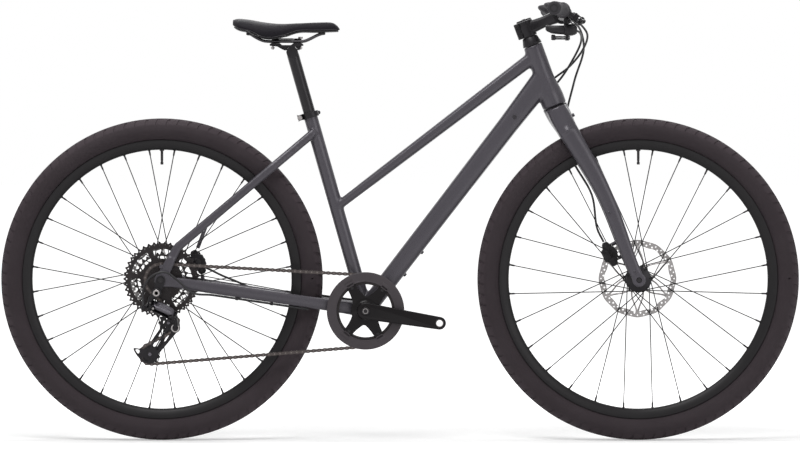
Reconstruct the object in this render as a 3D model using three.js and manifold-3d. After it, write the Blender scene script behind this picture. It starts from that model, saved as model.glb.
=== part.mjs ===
// Hybrid bicycle with a low, sloping top tube: one frame, two disc-braked wheels and a single-ring drivetrain.
// Millimetres. +X points forward, +Y to the rider's left, +Z up.
// The origin is on the floor, midway between the axles.
import * as THREE from "three";
import { mergeVertices } from "three/addons/utils/BufferGeometryUtils.js";
import Module from "manifold-3d";

const wasm = await Module();
wasm.setup();

// General
const GAP = 0.35; // clearance between pieces that touch
const OVERRUN = 4; // how far a cutting tool runs past what it cuts
const WELD = 0.001; // vertices closer than this are one vertex

// Wheels
const WHEELBASE = 1083.8;
const TYRE_RADIUS = 366;
const TYRE_WIDTH = 54;
const TYRE_WALL = 3.5;
const RIM_INNER_RADIUS = 294.5;
const RIM_BED_RADIUS = 309;
const RIM_FLANGE_RADIUS = 317;
const RIM_WIDTH = 30;
const RIM_MOUTH_WIDTH = 25;
const RIM_BED_WIDTH = 22;
const RIM_SPOKE_FACE_WIDTH = 14;
const SPOKE_RADIUS = 1;
const SPOKE_STAGGER = 1.6;
const SPOKE_RIM_OFFSET = 2.5;
const SPOKE_RIM_GAP = 1.7;
const FLANGE_RADIUS = 29;
const FLANGE_HOLE_RADIUS = 26;
const FLANGE_THICKNESS = 4.6;
const VALVE_RADIUS = 3;
const VALVE_END_RADIUS = 261;
const AXLE_RADIUS = 6;
const HUB_SHELL_RADIUS = 14;
const HUB_CAP_RADIUS = 10;
const HUB_CAP_LENGTH = 8;
const ROTOR_SEAT_RADIUS = 17;

// Front hub
const FRONT_HUB_WIDTH = 100;
const FRONT_LEFT_FLANGE = 22;
const FRONT_RIGHT_FLANGE = -34;
const FRONT_ROTOR_OFFSET = 38.5;
const FRONT_ROTOR_RADIUS = 88;
const FRONT_SPOKES = 28;

// Rear hub and cassette
const REAR_HUB_WIDTH = 142;
const REAR_LEFT_FLANGE = 34;
const REAR_RIGHT_FLANGE = -19;
const REAR_ROTOR_OFFSET = 56;
const REAR_ROTOR_RADIUS = 80;
const REAR_SPOKES = 32;
const FREEHUB_RADIUS = 17;
const COG_PITCH = 4.8;
const COG_THICKNESS = 1.8;
const COG_TEETH = [11, 13, 15, 18, 22, 27, 34, 42];
const CHAIN_COG = 3; // index of the cog that carries the chain
const TOOTHED_COGS = [3, 7]; // the others are plain discs at their pitch radius
const CASSETTE_CORE_RADIUS = 21;

// Rotors
const ROTOR_THICKNESS = 1.8;
const ROTOR_BAND = 14;
const ROTOR_WAVE = 1.6;
const ROTOR_CARRIER_RADIUS = 33;
const ROTOR_CARRIER_THICKNESS = 5;
const ROTOR_ARM_WIDTH = 7;
const ROTOR_ARMS = 6;

// Drivetrain
const CHAIN_PITCH = 12.7;
const CHAINLINE = 50;
const CHAIN_WIDTH = 7.3;
const CHAIN_PLATE_HEIGHT = 8.6;
const CHAIN_SLOT = 3;
const TOOTH_RISE = 2.2;
const RING_TEETH = 40;
const RING_THICKNESS = 2.2;
const RING_INNER_RADIUS = 52;
const GUARD_OUTER_RADIUS = 88;
const GUARD_INNER_RADIUS = 66;
const GUARD_THICKNESS = 3;
const SPIDER_ANGLES = [60, 130, 240, 308];
const SPIDER_ARM_WIDTH = 17;
const SPIDER_REACH = 70;
const SPIDER_THICKNESS = 4;
const CRANK_LENGTH = 170;
const CRANK_ANGLE = -9.3;
const CRANK_BOSS_RADIUS = 19;
const CRANK_TIP_RADIUS = 14.5;
const CRANK_THICKNESS = 13;
const CRANK_INNER_OFFSET = 61;
const CRANK_AXLE_RADIUS = 11;
const PEDAL_HOLE_RADIUS = 7;
const CRANK_BOLT_RADIUS = 9;

// Frame
const BB_TO_REAR_AXLE = 463.6;
const BB_DROP = 70;
const BB_SHELL_WIDTH = 73;
const BB_SHELL_RADIUS = 21.5;
const BB_BORE_RADIUS = 17.5;
const BB_FLANGE_RADIUS = 20.5;
const BB_FLANGE_THICKNESS = 4;
const SEAT_ANGLE = 74.1;
const SEAT_TUBE_LENGTH = 468;
const SEAT_TUBE_RADIUS = 15.9;
const SEATPOST_RADIUS = 13.6;
const HEAD_ANGLE = 70;
const AXLE_TO_CROWN = 432;
const FORK_RAKE = 44;
const HEAD_TUBE_LENGTH = 147;
const HEAD_TUBE_LOWER_RADIUS = 28;
const HEAD_TUBE_UPPER_RADIUS = 22;
const HEAD_TUBE_BORE = 17.8;
const LOWER_BEARING_RADIUS = 23.6;
const UPPER_BEARING_RADIUS = 19.6;
const BEARING_HEIGHT = 9;
const HEADSET_SEAL = 3;
const TUBE_WALL = 2;
const DOWN_TUBE_HIGH = 45;
const DOWN_TUBE_WIDE = 50;
const DOWN_TUBE_JOINT = 72;
const TOP_TUBE_HIGH = 31;
const TOP_TUBE_WIDE = 34;
const TOP_TUBE_HEAD_JOINT = 127;
const TOP_TUBE_SEAT_JOINT = 243;
const STAY_JOINT_BELOW_TOP = 46;
const SEAT_STAY_HIGH = 20;
const SEAT_STAY_THICK = 15;
const STAY_KNEE_AHEAD = 36;
const STAY_KNEE_ABOVE = 73;
const CHAIN_STAY_HIGH = 27;
const CHAIN_STAY_THICK = 17;
const DROPOUT_THICKNESS = 8;
const DROPOUT_RADIUS = 15;
const HANGER_THICKNESS = 7;
const HANGER_RADIUS = 14;
const HANGER_TIP_RADIUS = 9;
const CABLE_PORT_RADIUS = 4.5;

// Fork
const STEERER_RADIUS = 14.3;
const STEERER_ABOVE_CROWN = 204;
const LEG_HIGH = 44;
const LEG_THICK = 28;
const LEG_BOW = 14;
const CROWN_WIDTH = 122;
const WHEEL_CLEARANCE = 9;
const TYRE_CLEARANCE_WIDTH = 66;
const FORK_TIP_RADIUS = 16;
const FORK_TIP_THICKNESS = 12;

// Brakes
const CALIPER_LENGTH = 60;
const CALIPER_DEPTH = 34;
const CALIPER_WIDTH = 30;
const CALIPER_SLOT = 12;
const PAD_THICKNESS = 4;
const PAD_LENGTH = 24;
const PAD_DEPTH = 18;
const PAD_AIR = 0.6;
const HOSE_RADIUS = 2.5;
const ROTOR_ROOM = 4; // air between the rotor's edge and the bridge of a caliper
const POST_RADIUS = 4.5;
const POST_SPREAD = 17;
const FRONT_CALIPER_BEHIND_LEG = 37;
const REAR_CALIPER_AHEAD = 80;
const REAR_CALIPER_ABOVE = 37;

// Cockpit
const CONE_HEIGHT = 20.7;
const CONE_TOP_RADIUS = 16.5;
const STEM_CLAMP_HEIGHT = 37;
const STEM_CLAMP_RADIUS = 18.5;
const STEM_HIGH = 32;
const STEM_WIDE = 30;
const STEM_REACH = 80.65;
const STEM_RISE = 33.05;
const BAR_CLAMP_RADIUS = 15.9;
const BAR_CLAMP_HALF = 30;
const BAR_RADIUS = 11.1;
const BAR_HALF_WIDTH = 338;
const BAR_RISE = 11.4;
const BAR_SWEEP = 27;
const BAR_BEND_START = 150;
const FACEPLATE_RADIUS = 22;
const FACEPLATE_WIDTH = 46;
const GRIP_START = 206;
const GRIP_RADIUS = 15.5;
const GRIP_WING = 17;
const GRIP_WING_LENGTH = 96;
const GRIP_WING_RISE = 16;
const GRIP_END = 3;
const LEVER_CLAMP_AT = 190;
const SHIFTER_CLAMP_AT = 166;
const CLAMP_WIDTH = 11;
const CLAMP_WALL = 4;
const LEVER_REACH = 47;
const LEVER_DROP_ANGLE = -30;
const LEVER_LENGTH = 120;
const LEVER_HIGH = 11;
const LEVER_THICK = 6;
const RESERVOIR_RADIUS = 10;
const RESERVOIR_LENGTH = 62;
const POD_LENGTH = 48;
const POD_HIGH = 26;
const POD_DEEP = 30;
const POD_BELOW_BAR = 42;
const THUMB_SPLAY = 22;
const THUMB_LENGTH = 34;
const THUMB_WIDTH = 13;
const THUMB_THICKNESS = 4;

// Seat
const COLLAR_HEIGHT = 13;
const COLLAR_WALL = 3.5;
const COLLAR_SLOT = 2.5;
const COLLAR_EAR = 13;
const SKEWER_RADIUS = 3;
const QR_LEVER_LENGTH = 48;
const QR_LEVER_WIDTH = 10;
const QR_LEVER_THICKNESS = 5;
const QR_LEVER_SWEEP = 100;
const SEATPOST_HEAD_UP = 610;
const SEATPOST_INSERT = 110;
const POST_HEAD_RADIUS = 13;
const POST_HEAD_WIDTH = 34;
const POST_WALL = 2;
const SADDLE_REACH_BACK = 134;
const SADDLE_LENGTH = 242;
const SADDLE_WIDTH = 154;
const SADDLE_ABOVE_RAIL = 51.5;
const SADDLE_THICKNESS = 26;
const BASE_THICKNESS = 4;
const BASE_DROP = 5.4;
const RAIL_RADIUS = 3.5;
const RAIL_SPACING = 44;
const RAIL_ABOVE_POST = 24.3;
const RAIL_RUN = 83;
const RAIL_RISE = 17.5;
const CLAMP_BEHIND_POST = 12.6;
const CRADLE_LENGTH = 77;
const CRADLE_WIDTH = 56;
const CRADLE_HEIGHT = 10;
const JAW_LENGTH = 40;
const JAW_HEIGHT = 4;

// Derailleur
const HANGER_BOLT_BEHIND = 9.3;
const HANGER_BOLT_BELOW = 28.2;
const KNUCKLE_RADIUS = 11;
const KNUCKLE_LENGTH = 12;
const LINK_LENGTH = 44;
const LINK_SPAN = 15;
const LINK_THICKNESS = 4;
const LINK_SPACING = 11;
const LINK_BARREL_RADIUS = 4.5;
const LINK_PIN_RADIUS = 1.8;
const LUG_THICKNESS = 3;
const WEB_OFFSET = 9;
const LINK_PLANE = 84;
const LINK_PIN_BEHIND = 14.1;
const LINK_PIN_BELOW = 57;
const CAGE_PIVOT_AHEAD = 32.5;
const CAGE_PIVOT_BELOW = 108.6;
const GUIDE_PULLEY_AHEAD = 17.1;
const GUIDE_PULLEY_BELOW = 97.4;
const TENSION_PULLEY_BEHIND = 25.5;
const TENSION_PULLEY_BELOW = 168.7;
const PULLEY_TEETH = 11;
const PULLEY_THICKNESS = 2.2;
const PULLEY_BOLT_RADIUS = 2.5;
const PULLEY_BORE_RADIUS = 3;
const CAGE_HALF_WIDTH = 4.4;
const CAGE_PLATE = 1.8;
const CAGE_GUIDE_RADIUS = 10;
const CAGE_TENSION_RADIUS = 19;
const HOUSING_RADIUS = 2.5;
const CABLE_STOP_RADIUS = 4;

// Waypoints of hoses and housings
const FRONT_HOSE_POINTS = [
  [412, 92, 935],
  [420, 78, 890],
  [398, 76, 815],
];
const REAR_HOSE_POINTS = [
  [408, -96, 945],
  [424, -62, 922],
  [415, -12, 888],
  [386, 30, 850],
  [350, 44, 822],
  [312, 36, 790],
];
const SHIFT_HOUSING_POINTS = [
  [402, -116, 929],
  [410, -62, 908],
  [394, -8, 868],
  [364, 30, 820],
  [322, 52, 776],
  [285, 46, 745],
];
const REAR_STUB_POINTS = [
  [-448, 62, 392],
  [-425, 62, 388],
  [-398, 62, 372],
  [-383, 61, 359],
];
const TAIL_LOOP_POINTS = [
  [-470, -84, 338],
  [-505, -91, 368],
  [-532, -94, 385],
  [-562, -94, 376],
  [-581, -92, 346],
];
const CABLE_STOP = [-581, -89, 304];

// Facet counts
const WHEEL_SIDES = 36;
const HUB_SIDES = 12;
const BORE_SIDES = 12;
const TUBE_SIDES = 10;
const RING_SIDES = 16;
const DISC_SIDES = 24;
const HOSE_SIDES = 6;
const HOSE_STEPS = 22;
const RAIL_STEPS = 30;
const SMALL_SIDES = 8;

const V = (x, y, z) => new THREE.Vector3(x, y, z);
const LEFT = V(0, 1, 0);
const UP = V(0, 0, 1);
const degrees = THREE.MathUtils.degToRad;
const sum = (a, b, scale = 1) => a.clone().addScaledVector(b, scale);

// Main points
const REAR = V(-WHEELBASE / 2, 0, TYRE_RADIUS);
const FRONT = V(WHEELBASE / 2, 0, TYRE_RADIUS);
const BB = V(REAR.x + BB_TO_REAR_AXLE, 0, TYRE_RADIUS - BB_DROP);
const SEAT_AXIS = V(-Math.cos(degrees(SEAT_ANGLE)), 0, Math.sin(degrees(SEAT_ANGLE)));
const STEER_AXIS = V(-Math.cos(degrees(HEAD_ANGLE)), 0, Math.sin(degrees(HEAD_ANGLE)));
const STEER_NORMAL = V(STEER_AXIS.z, 0, -STEER_AXIS.x);
const CROWN = sum(sum(FRONT, STEER_AXIS, AXLE_TO_CROWN), STEER_NORMAL, -FORK_RAKE);
const steerer = (t) => sum(CROWN, STEER_AXIS, t);
const seatTube = (t) => sum(BB, SEAT_AXIS, t);
const HEAD_LOW = HEADSET_SEAL;
const HEAD_HIGH = HEADSET_SEAL + HEAD_TUBE_LENGTH;

// A closed three.js geometry as a solid with its faces pointing out.
function solid(geometry) {
  const bare = geometry.clone();
  bare.deleteAttribute("normal");
  bare.deleteAttribute("uv");
  const merged = mergeVertices(bare, WELD);
  const index = merged.index.array;
  const kept = [];
  for (let i = 0; i < index.length; i += 3) {
    const [a, b, c] = [index[i], index[i + 1], index[i + 2]];
    if (a !== b && b !== c && c !== a) kept.push(a, b, c);
  }
  const made = (triangles) =>
    new wasm.Manifold(
      new wasm.Mesh({
        numProp: 3,
        vertProperties: new Float32Array(merged.attributes.position.array),
        triVerts: new Uint32Array(triangles),
      }),
    );
  const first = made(kept);
  return first.volume() < 0 ? made(kept.reverse()) : first;
}

const join = (first, ...others) => others.reduce((whole, piece) => whole.add(piece), first);
const cut = (first, ...tools) => tools.reduce((whole, tool) => whole.subtract(tool), first);

const root = new THREE.Group();

// A named mesh of a solid, added to a group.
function add(group, name, shape, finish) {
  const data = shape.getMesh();
  const geometry = new THREE.BufferGeometry();
  geometry.setAttribute("position", new THREE.BufferAttribute(data.vertProperties, 3));
  geometry.setIndex(new THREE.BufferAttribute(data.triVerts, 1));
  geometry.computeVertexNormals();
  const mesh = new THREE.Mesh(geometry, finish);
  mesh.name = name;
  group.add(mesh);
  return mesh;
}

const finish = (color, roughness, metalness = 0) =>
  new THREE.MeshStandardMaterial({ color, roughness, metalness });
const framePaint = finish(0x49454d, 0.45, 0.3);
const blackAlloy = finish(0x1c1b1d, 0.45, 0.5);
const blackPlastic = finish(0x1a191b, 0.6);
const rubber = finish(0x1d1b1c, 0.85);
const tyreRubber = finish(0x2a2425, 0.9);
const steel = finish(0xa9a7a8, 0.35, 0.9);
const chainSteel = finish(0x6b625d, 0.4, 0.8);
const saddleCover = finish(0x1b1a1d, 0.7);

// A tapered round bar between two points.
function rod(from, to, radius, endRadius = radius, sides = BORE_SIDES) {
  const run = sum(to, from, -1);
  const geometry = new THREE.CylinderGeometry(endRadius, radius, run.length(), sides);
  geometry.applyQuaternion(new THREE.Quaternion().setFromUnitVectors(LEFT, run.clone().normalize()));
  const middle = sum(from, to).multiplyScalar(0.5);
  return solid(geometry.translate(middle.x, middle.y, middle.z));
}

// A bar along Y through the point, from one y to another.
const crossBar = (at, y0, y1, radius, sides = BORE_SIDES) =>
  rod(V(at.x, y0, at.z), V(at.x, y1, at.z), radius, radius, sides);

// A profile of [radius, height] pairs turned round an axis through the origin point.
function turned(profile, sides, origin = V(0, 0, 0), axis = LEFT) {
  const points = [...profile, profile[0]].map(([r, h]) => new THREE.Vector2(r, h));
  const geometry = new THREE.LatheGeometry(points, sides);
  geometry.applyQuaternion(new THREE.Quaternion().setFromUnitVectors(LEFT, axis));
  return solid(geometry.translate(origin.x, origin.y, origin.z));
}

// A block whose sides lie along two given directions and their cross product.
function block(centre, lengthAxis, widthAxis, length, width, height) {
  const x = lengthAxis.clone().normalize();
  const z = x.clone().cross(widthAxis).normalize();
  const y = z.clone().cross(x);
  const geometry = new THREE.BoxGeometry(length, width, height);
  return solid(geometry.applyMatrix4(new THREE.Matrix4().makeBasis(x, y, z).setPosition(centre)));
}

// A flat outline of [x, z] points with holes, standing in the XZ plane between two y values.
function plate(outline, y0, y1, holes = []) {
  const shape = new THREE.Shape(outline.map(([x, z]) => new THREE.Vector2(x, z)));
  holes.forEach((hole) => {
    shape.holes.push(new THREE.Path(hole.map(([x, z]) => new THREE.Vector2(x, z))));
  });
  const geometry = new THREE.ExtrudeGeometry(shape, { depth: y1 - y0, bevelEnabled: false });
  return solid(geometry.rotateX(Math.PI / 2).translate(0, y1, 0));
}

const circle = (at, radius, sides) =>
  Array.from({ length: sides }, (_, i) => {
    const angle = (2 * Math.PI * i) / sides;
    return [at.x + radius * Math.cos(angle), at.z + radius * Math.sin(angle)];
  });

// The outline that a band pulled round all the circles would take.
function wrapped(circles, sides = HUB_SIDES) {
  const points = circles.flatMap(([at, radius]) => circle(at, radius, sides));
  points.sort((a, b) => a[0] - b[0] || a[1] - b[1]);
  const turn = (o, a, b) => (a[0] - o[0]) * (b[1] - o[1]) - (a[1] - o[1]) * (b[0] - o[0]);
  const half = (list) => {
    const hull = [];
    list.forEach((p) => {
      while (hull.length > 1 && turn(hull.at(-2), hull.at(-1), p) <= WELD) hull.pop();
      hull.push(p);
    });
    return hull.slice(0, -1);
  };
  return [...half(points), ...half([...points].reverse())];
}

const oval = (power) => (angle) => {
  const bend = (v) => Math.sign(v) * Math.abs(v) ** (2 / power);
  return [bend(Math.cos(angle)), bend(Math.sin(angle))];
};

// A bar through stations { at, high, wide }, with its width towards Y and its height square to its run.
function loft(stations, section = oval(2), sides = TUBE_SIDES) {
  const last = stations.length - 1;
  const geometry = new THREE.CylinderGeometry(1, 1, 1, sides, last);
  const frames = stations.map(({ at }, i) => {
    const before = stations[Math.max(i - 1, 0)].at;
    const after = stations[Math.min(i + 1, last)].at;
    const run = sum(after, before, -1).normalize();
    const side = sum(LEFT, run, -LEFT.dot(run)).normalize();
    return { at, side, up: run.clone().cross(side) };
  });
  const position = geometry.attributes.position;
  for (let i = 0; i < position.count; i += 1) {
    const [x, y, z] = [position.getX(i), position.getY(i), position.getZ(i)];
    const ring = Math.round((0.5 - y) * last);
    const { at, side, up } = frames[ring];
    const [across, above] = Math.hypot(x, z) < 0.5 ? [0, 0] : section(Math.atan2(x, z));
    const point = sum(at, side, (across * stations[ring].wide) / 2);
    point.addScaledVector(up, (above * stations[ring].high) / 2);
    position.setXYZ(i, point.x, point.y, point.z);
  }
  return solid(geometry);
}

// A round cord or bar of one thickness along a smooth curve through the points.
function cord(points, radius, steps, sides = SMALL_SIDES) {
  const path = new THREE.CatmullRomCurve3(points, false, "centripetal");
  const ring = new THREE.Shape(circle(V(0, 0, 0), radius, sides).map(([x, y]) => new THREE.Vector2(x, y)));
  return solid(new THREE.ExtrudeGeometry(ring, { steps, extrudePath: path, bevelEnabled: false }));
}

const mirrored = (shape) => shape.mirror([0, 1, 0]);

// Outline of a toothed wheel round a centre: one root and one tip point for each tooth.
function toothed(at, teeth, pitchRadius) {
  const points = [];
  for (let i = 0; i < teeth; i += 1) {
    [
      [i, TOOTH_RISE],
      [i + 0.5, -TOOTH_RISE],
    ].forEach(([step, rise]) => {
      const angle = (2 * Math.PI * step) / teeth;
      points.push([
        at.x + (pitchRadius + rise) * Math.cos(angle),
        at.z + (pitchRadius + rise) * Math.sin(angle),
      ]);
    });
  }
  return points;
}
const pitchRadius = (teeth) => CHAIN_PITCH / 2 / Math.sin(Math.PI / teeth);

// A disc caliper: a block round the rotor's edge, the room it takes, two posts that carry it, and its two pads.
function discBrake(axle, rotorRadius, at, axis, anchors) {
  const inward = sum(axle, V(at.x, 0, at.z), -1).normalize();
  const body = (extra) =>
    block(at, axis, LEFT, CALIPER_LENGTH + extra, CALIPER_WIDTH + extra, CALIPER_DEPTH + extra);
  const slot = crossBar(
    axle,
    at.y - CALIPER_SLOT / 2,
    at.y + CALIPER_SLOT / 2,
    rotorRadius + ROTOR_ROOM,
    DISC_SIDES,
  );
  const room = body(2 * GAP);
  const spread = [POST_SPREAD, -POST_SPREAD];
  const posts = anchors.map((anchor, i) =>
    cut(rod(anchor, sum(at, axis, spread[i]).setY(anchor.y), POST_RADIUS, POST_RADIUS, SMALL_SIDES), room),
  );
  const padAt = sum(axle, inward, ROTOR_BAND / 2 - rotorRadius).setY(at.y);
  const padY = ROTOR_THICKNESS / 2 + PAD_AIR + PAD_THICKNESS / 2;
  const pads = [-padY, padY].map((y) =>
    block(sum(padAt, LEFT, y), inward.clone().cross(LEFT), LEFT, PAD_LENGTH, PAD_THICKNESS, PAD_DEPTH),
  );
  return { body: cut(body(0), slot), posts, pads };
}

// Frame: welded tubes, hollow where the real ones are, with bores for headset, seatpost and bottom bracket.
const downTubeShares = [
  [0, 0.93, 0.92],
  [0.4, 0.97, 1],
  [0.8, 1.03, 0.96],
  [1, 1.2, 0.8],
];
const topTubeShares = [
  [0, 0.66, 0.9],
  [0.5, 0.82, 1],
  [1, 1, 1],
];
function mainTube(from, to, shares, high, wide) {
  const stations = (inset) =>
    shares.map(([along, highShare, wideShare]) => ({
      at: from.clone().lerp(to, along),
      high: high * highShare - inset,
      wide: wide * wideShare - inset,
    }));
  return { outer: loft(stations(0), oval(2.5)), inner: loft(stations(2 * TUBE_WALL), oval(2.5)) };
}

// Stay stations: [share of the way, outward share, height share, thickness share]
const DROPOUT_MIDDLE = REAR_HUB_WIDTH / 2 + DROPOUT_THICKNESS / 2;
const seatStayShares = [
  [0, 0.19, 1, 1],
  [0.1, 0.3, 1, 1],
  [0.17, 0.42, 1, 0.95],
  [0.26, 0.56, 1, 0.9],
  [0.55, 0.74, 1, 0.9],
  [0.86, 0.93, 1.05, 0.75],
  [0.92, 1, 1.2, 0.53],
  [1, 1, 1.3, 0.53],
];
const chainStayShares = [
  [0, 0.27, 1.25, 1.3],
  [0.1, 0.42, 1.1, 0.85],
  [0.2, 0.515, 1.03, 0.72],
  [0.34, 0.6, 1, 1],
  [0.58, 0.75, 1, 1],
  [0.82, 0.9, 1, 0.8],
  [0.9, 1, 0.96, 0.47],
  [1, 1, 0.75, 0.47],
];
const rearCaliperAt = V(REAR.x + REAR_CALIPER_AHEAD, REAR_ROTOR_OFFSET, REAR.z + REAR_CALIPER_ABOVE);
const rearCaliperAxis = V(-REAR_CALIPER_ABOVE, 0, REAR_CALIPER_AHEAD).normalize();
const STAY_TOP = seatTube(SEAT_TUBE_LENGTH - STAY_JOINT_BELOW_TOP);
const STAY_KNEE = V(REAR.x + STAY_KNEE_AHEAD, 0, REAR.z + STAY_KNEE_ABOVE);
function stayStations(corners, shares, high, thick) {
  const path = new THREE.CurvePath();
  corners.slice(1).forEach((corner, i) => path.add(new THREE.LineCurve3(corners[i], corner)));
  return shares.map(([along, outward, highShare, thickShare]) => ({
    at: path.getPointAt(along).setY(-DROPOUT_MIDDLE * outward),
    high: high * highShare,
    wide: thick * thickShare,
  }));
}

// Cable ports on the left of the down tube, just behind the head tube.
const portShares = [0.83, 0.87];
const portPoints = portShares.map((share) =>
  BB.clone()
    .lerp(steerer(DOWN_TUBE_JOINT), share)
    .setY((DOWN_TUBE_WIDE / 2) * 1.08),
);

// A point just under the right chain stay.
function underStay(along) {
  const next = chainStayShares.findIndex(([share]) => share > along);
  const [a, b] = [chainStayShares[next - 1], chainStayShares[next]];
  const mix = (along - a[0]) / (b[0] - a[0]);
  const [outward, highShare] = [1, 2].map((i) => a[i] + (b[i] - a[i]) * mix);
  const centre = BB.clone().lerp(REAR, along);
  const below = (CHAIN_STAY_HIGH * highShare) / 2 + HOUSING_RADIUS + GAP;
  return V(centre.x, -DROPOUT_MIDDLE * outward, centre.z - below);
}

// The left stays carry the rear caliper on two posts.
const rearAnchorShares = { chainStay: 0.8, seatStay: 0.79, outward: 0.86 };
const rearAnchorY = DROPOUT_MIDDLE * rearAnchorShares.outward;
const rearBrake = discBrake(REAR, REAR_ROTOR_RADIUS, rearCaliperAt, rearCaliperAxis, [
  STAY_TOP.clone().lerp(STAY_KNEE, rearAnchorShares.seatStay * (1 / rearAnchorShares.outward)).setY(rearAnchorY),
  BB.clone().lerp(REAR, rearAnchorShares.chainStay).setY(rearAnchorY),
]);

function frameShape() {
  const down = mainTube(BB, steerer(DOWN_TUBE_JOINT), downTubeShares, DOWN_TUBE_HIGH, DOWN_TUBE_WIDE);
  const topStart = seatTube(TOP_TUBE_SEAT_JOINT);
  const top = mainTube(topStart, steerer(TOP_TUBE_HEAD_JOINT), topTubeShares, TOP_TUBE_HIGH, TOP_TUBE_WIDE);
  const seatTop = seatTube(SEAT_TUBE_LENGTH);
  const head = turned(
    [
      [0, HEAD_LOW],
      [HEAD_TUBE_LOWER_RADIUS, HEAD_LOW],
      [HEAD_TUBE_LOWER_RADIUS, HEAD_LOW + HEAD_TUBE_LENGTH / 8],
      [HEAD_TUBE_UPPER_RADIUS, HEAD_LOW + HEAD_TUBE_LENGTH / 2],
      [HEAD_TUBE_UPPER_RADIUS, HEAD_HIGH],
      [0, HEAD_HIGH],
    ],
    RING_SIDES,
    CROWN,
    STEER_AXIS,
  );
  const dropoutInner = REAR_HUB_WIDTH / 2;
  const dropoutOuter = dropoutInner + DROPOUT_THICKNESS;
  const dropout = crossBar(REAR, -dropoutOuter, -dropoutInner, DROPOUT_RADIUS);
  const chainStay = loft(
    stayStations([BB, REAR], chainStayShares, CHAIN_STAY_HIGH, CHAIN_STAY_THICK),
    oval(2.6),
    8,
  );
  const seatStay = loft(
    stayStations([STAY_TOP, STAY_KNEE, REAR], seatStayShares, SEAT_STAY_HIGH, SEAT_STAY_THICK),
    oval(2.6),
    8,
  );
  const stayLine = [STAY_TOP, STAY_KNEE, REAR];
  const bridge = stayStations(stayLine, [seatStayShares[2]], SEAT_STAY_HIGH, SEAT_STAY_THICK)[0];
  const bridgeBar = crossBar(bridge.at, bridge.at.y, -bridge.at.y, SEAT_STAY_THICK / 3, SMALL_SIDES);
  const shell = crossBar(BB, -BB_SHELL_WIDTH / 2, BB_SHELL_WIDTH / 2, BB_SHELL_RADIUS);
  const right = join(chainStay, seatStay, dropout);
  const whole = join(
    shell,
    down.outer,
    top.outer,
    head,
    rod(BB, seatTop, SEAT_TUBE_RADIUS),
    right,
    mirrored(right),
    bridgeBar,
    ...rearBrake.posts,
    ...portPoints.map((at) =>
      rod(at, sum(at, LEFT, -DOWN_TUBE_WIDE / 4), CABLE_PORT_RADIUS, CABLE_PORT_RADIUS * 1.4, SMALL_SIDES),
    ),
  );
  const steerBore = rod(
    steerer(HEAD_LOW - OVERRUN),
    steerer(HEAD_HIGH + OVERRUN),
    HEAD_TUBE_BORE,
    HEAD_TUBE_BORE,
    RING_SIDES,
  );
  const lowerSeat = rod(
    steerer(HEAD_LOW - OVERRUN),
    steerer(HEAD_LOW + BEARING_HEIGHT + GAP),
    LOWER_BEARING_RADIUS + GAP,
    LOWER_BEARING_RADIUS + GAP,
    RING_SIDES,
  );
  const upperSeat = rod(
    steerer(HEAD_HIGH - BEARING_HEIGHT - GAP),
    steerer(HEAD_HIGH + OVERRUN),
    UPPER_BEARING_RADIUS + GAP,
    UPPER_BEARING_RADIUS + GAP,
    RING_SIDES,
  );
  const postWidth = SEATPOST_RADIUS + GAP;
  const postBore = rod(BB, sum(seatTop, SEAT_AXIS, OVERRUN), postWidth, postWidth, RING_SIDES);
  const slotLength = COLLAR_HEIGHT * 1.5;
  const slot = block(
    sum(seatTube(SEAT_TUBE_LENGTH - slotLength / 2 + OVERRUN / 2), V(-SEAT_TUBE_RADIUS, 0, 0)),
    SEAT_AXIS,
    LEFT,
    slotLength + OVERRUN,
    COLLAR_SLOT,
    SEAT_TUBE_RADIUS,
  );
  const axleHole = crossBar(REAR, -dropoutOuter - OVERRUN, dropoutOuter + OVERRUN, AXLE_RADIUS + GAP);
  const shellBore = crossBar(BB, -BB_SHELL_WIDTH, BB_SHELL_WIDTH, BB_BORE_RADIUS + GAP, RING_SIDES);
  const hubSpace = crossBar(REAR, -dropoutInner, dropoutInner, 2 * DROPOUT_RADIUS);
  const holes = [steerBore, lowerSeat, upperSeat, postBore, slot, axleHole, shellBore, hubSpace];
  return cut(whole, down.inner, top.inner, ...holes);
}

add(root, "frame", frameShape(), framePaint);

// Hanger: a plate outside the right dropout that holds the derailleur below and behind the axle.
const DROPOUT_OUTER = REAR_HUB_WIDTH / 2 + DROPOUT_THICKNESS;
const HANGER_OUTER = DROPOUT_OUTER + GAP + HANGER_THICKNESS;
const HANGER_BOLT = V(REAR.x - HANGER_BOLT_BEHIND, 0, REAR.z - HANGER_BOLT_BELOW);
const hangerOutline = wrapped([
  [REAR, HANGER_RADIUS],
  [HANGER_BOLT, HANGER_TIP_RADIUS],
]);
add(
  root,
  "derailleur_hanger",
  cut(
    plate(hangerOutline, -HANGER_OUTER, -DROPOUT_OUTER - GAP),
    crossBar(REAR, -HANGER_OUTER - OVERRUN, -DROPOUT_OUTER, AXLE_RADIUS + GAP),
  ),
  blackAlloy,
);

// Bottom bracket: a cartridge with a flange outside each end of the shell and a bore for the crank axle.
const shellHalf = BB_SHELL_WIDTH / 2;
const flangeEnd = shellHalf + GAP + BB_FLANGE_THICKNESS;
const axleBore = CRANK_AXLE_RADIUS + 2 * GAP;
add(
  root,
  "bottom_bracket",
  join(
    turned(
      [
        [axleBore, -flangeEnd],
        [BB_FLANGE_RADIUS, -flangeEnd],
        [BB_FLANGE_RADIUS, -shellHalf - GAP],
        [BB_BORE_RADIUS, -shellHalf - GAP],
        [BB_BORE_RADIUS, shellHalf + GAP],
        [axleBore, shellHalf + GAP],
      ],
      RING_SIDES,
      BB,
    ),
    turned(
      [
        [axleBore, shellHalf + GAP],
        [BB_BORE_RADIUS - GAP, shellHalf + GAP],
        [BB_BORE_RADIUS - GAP, flangeEnd],
        [axleBore, flangeEnd],
      ],
      RING_SIDES,
      BB,
    ),
  ),
  blackAlloy,
);

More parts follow.
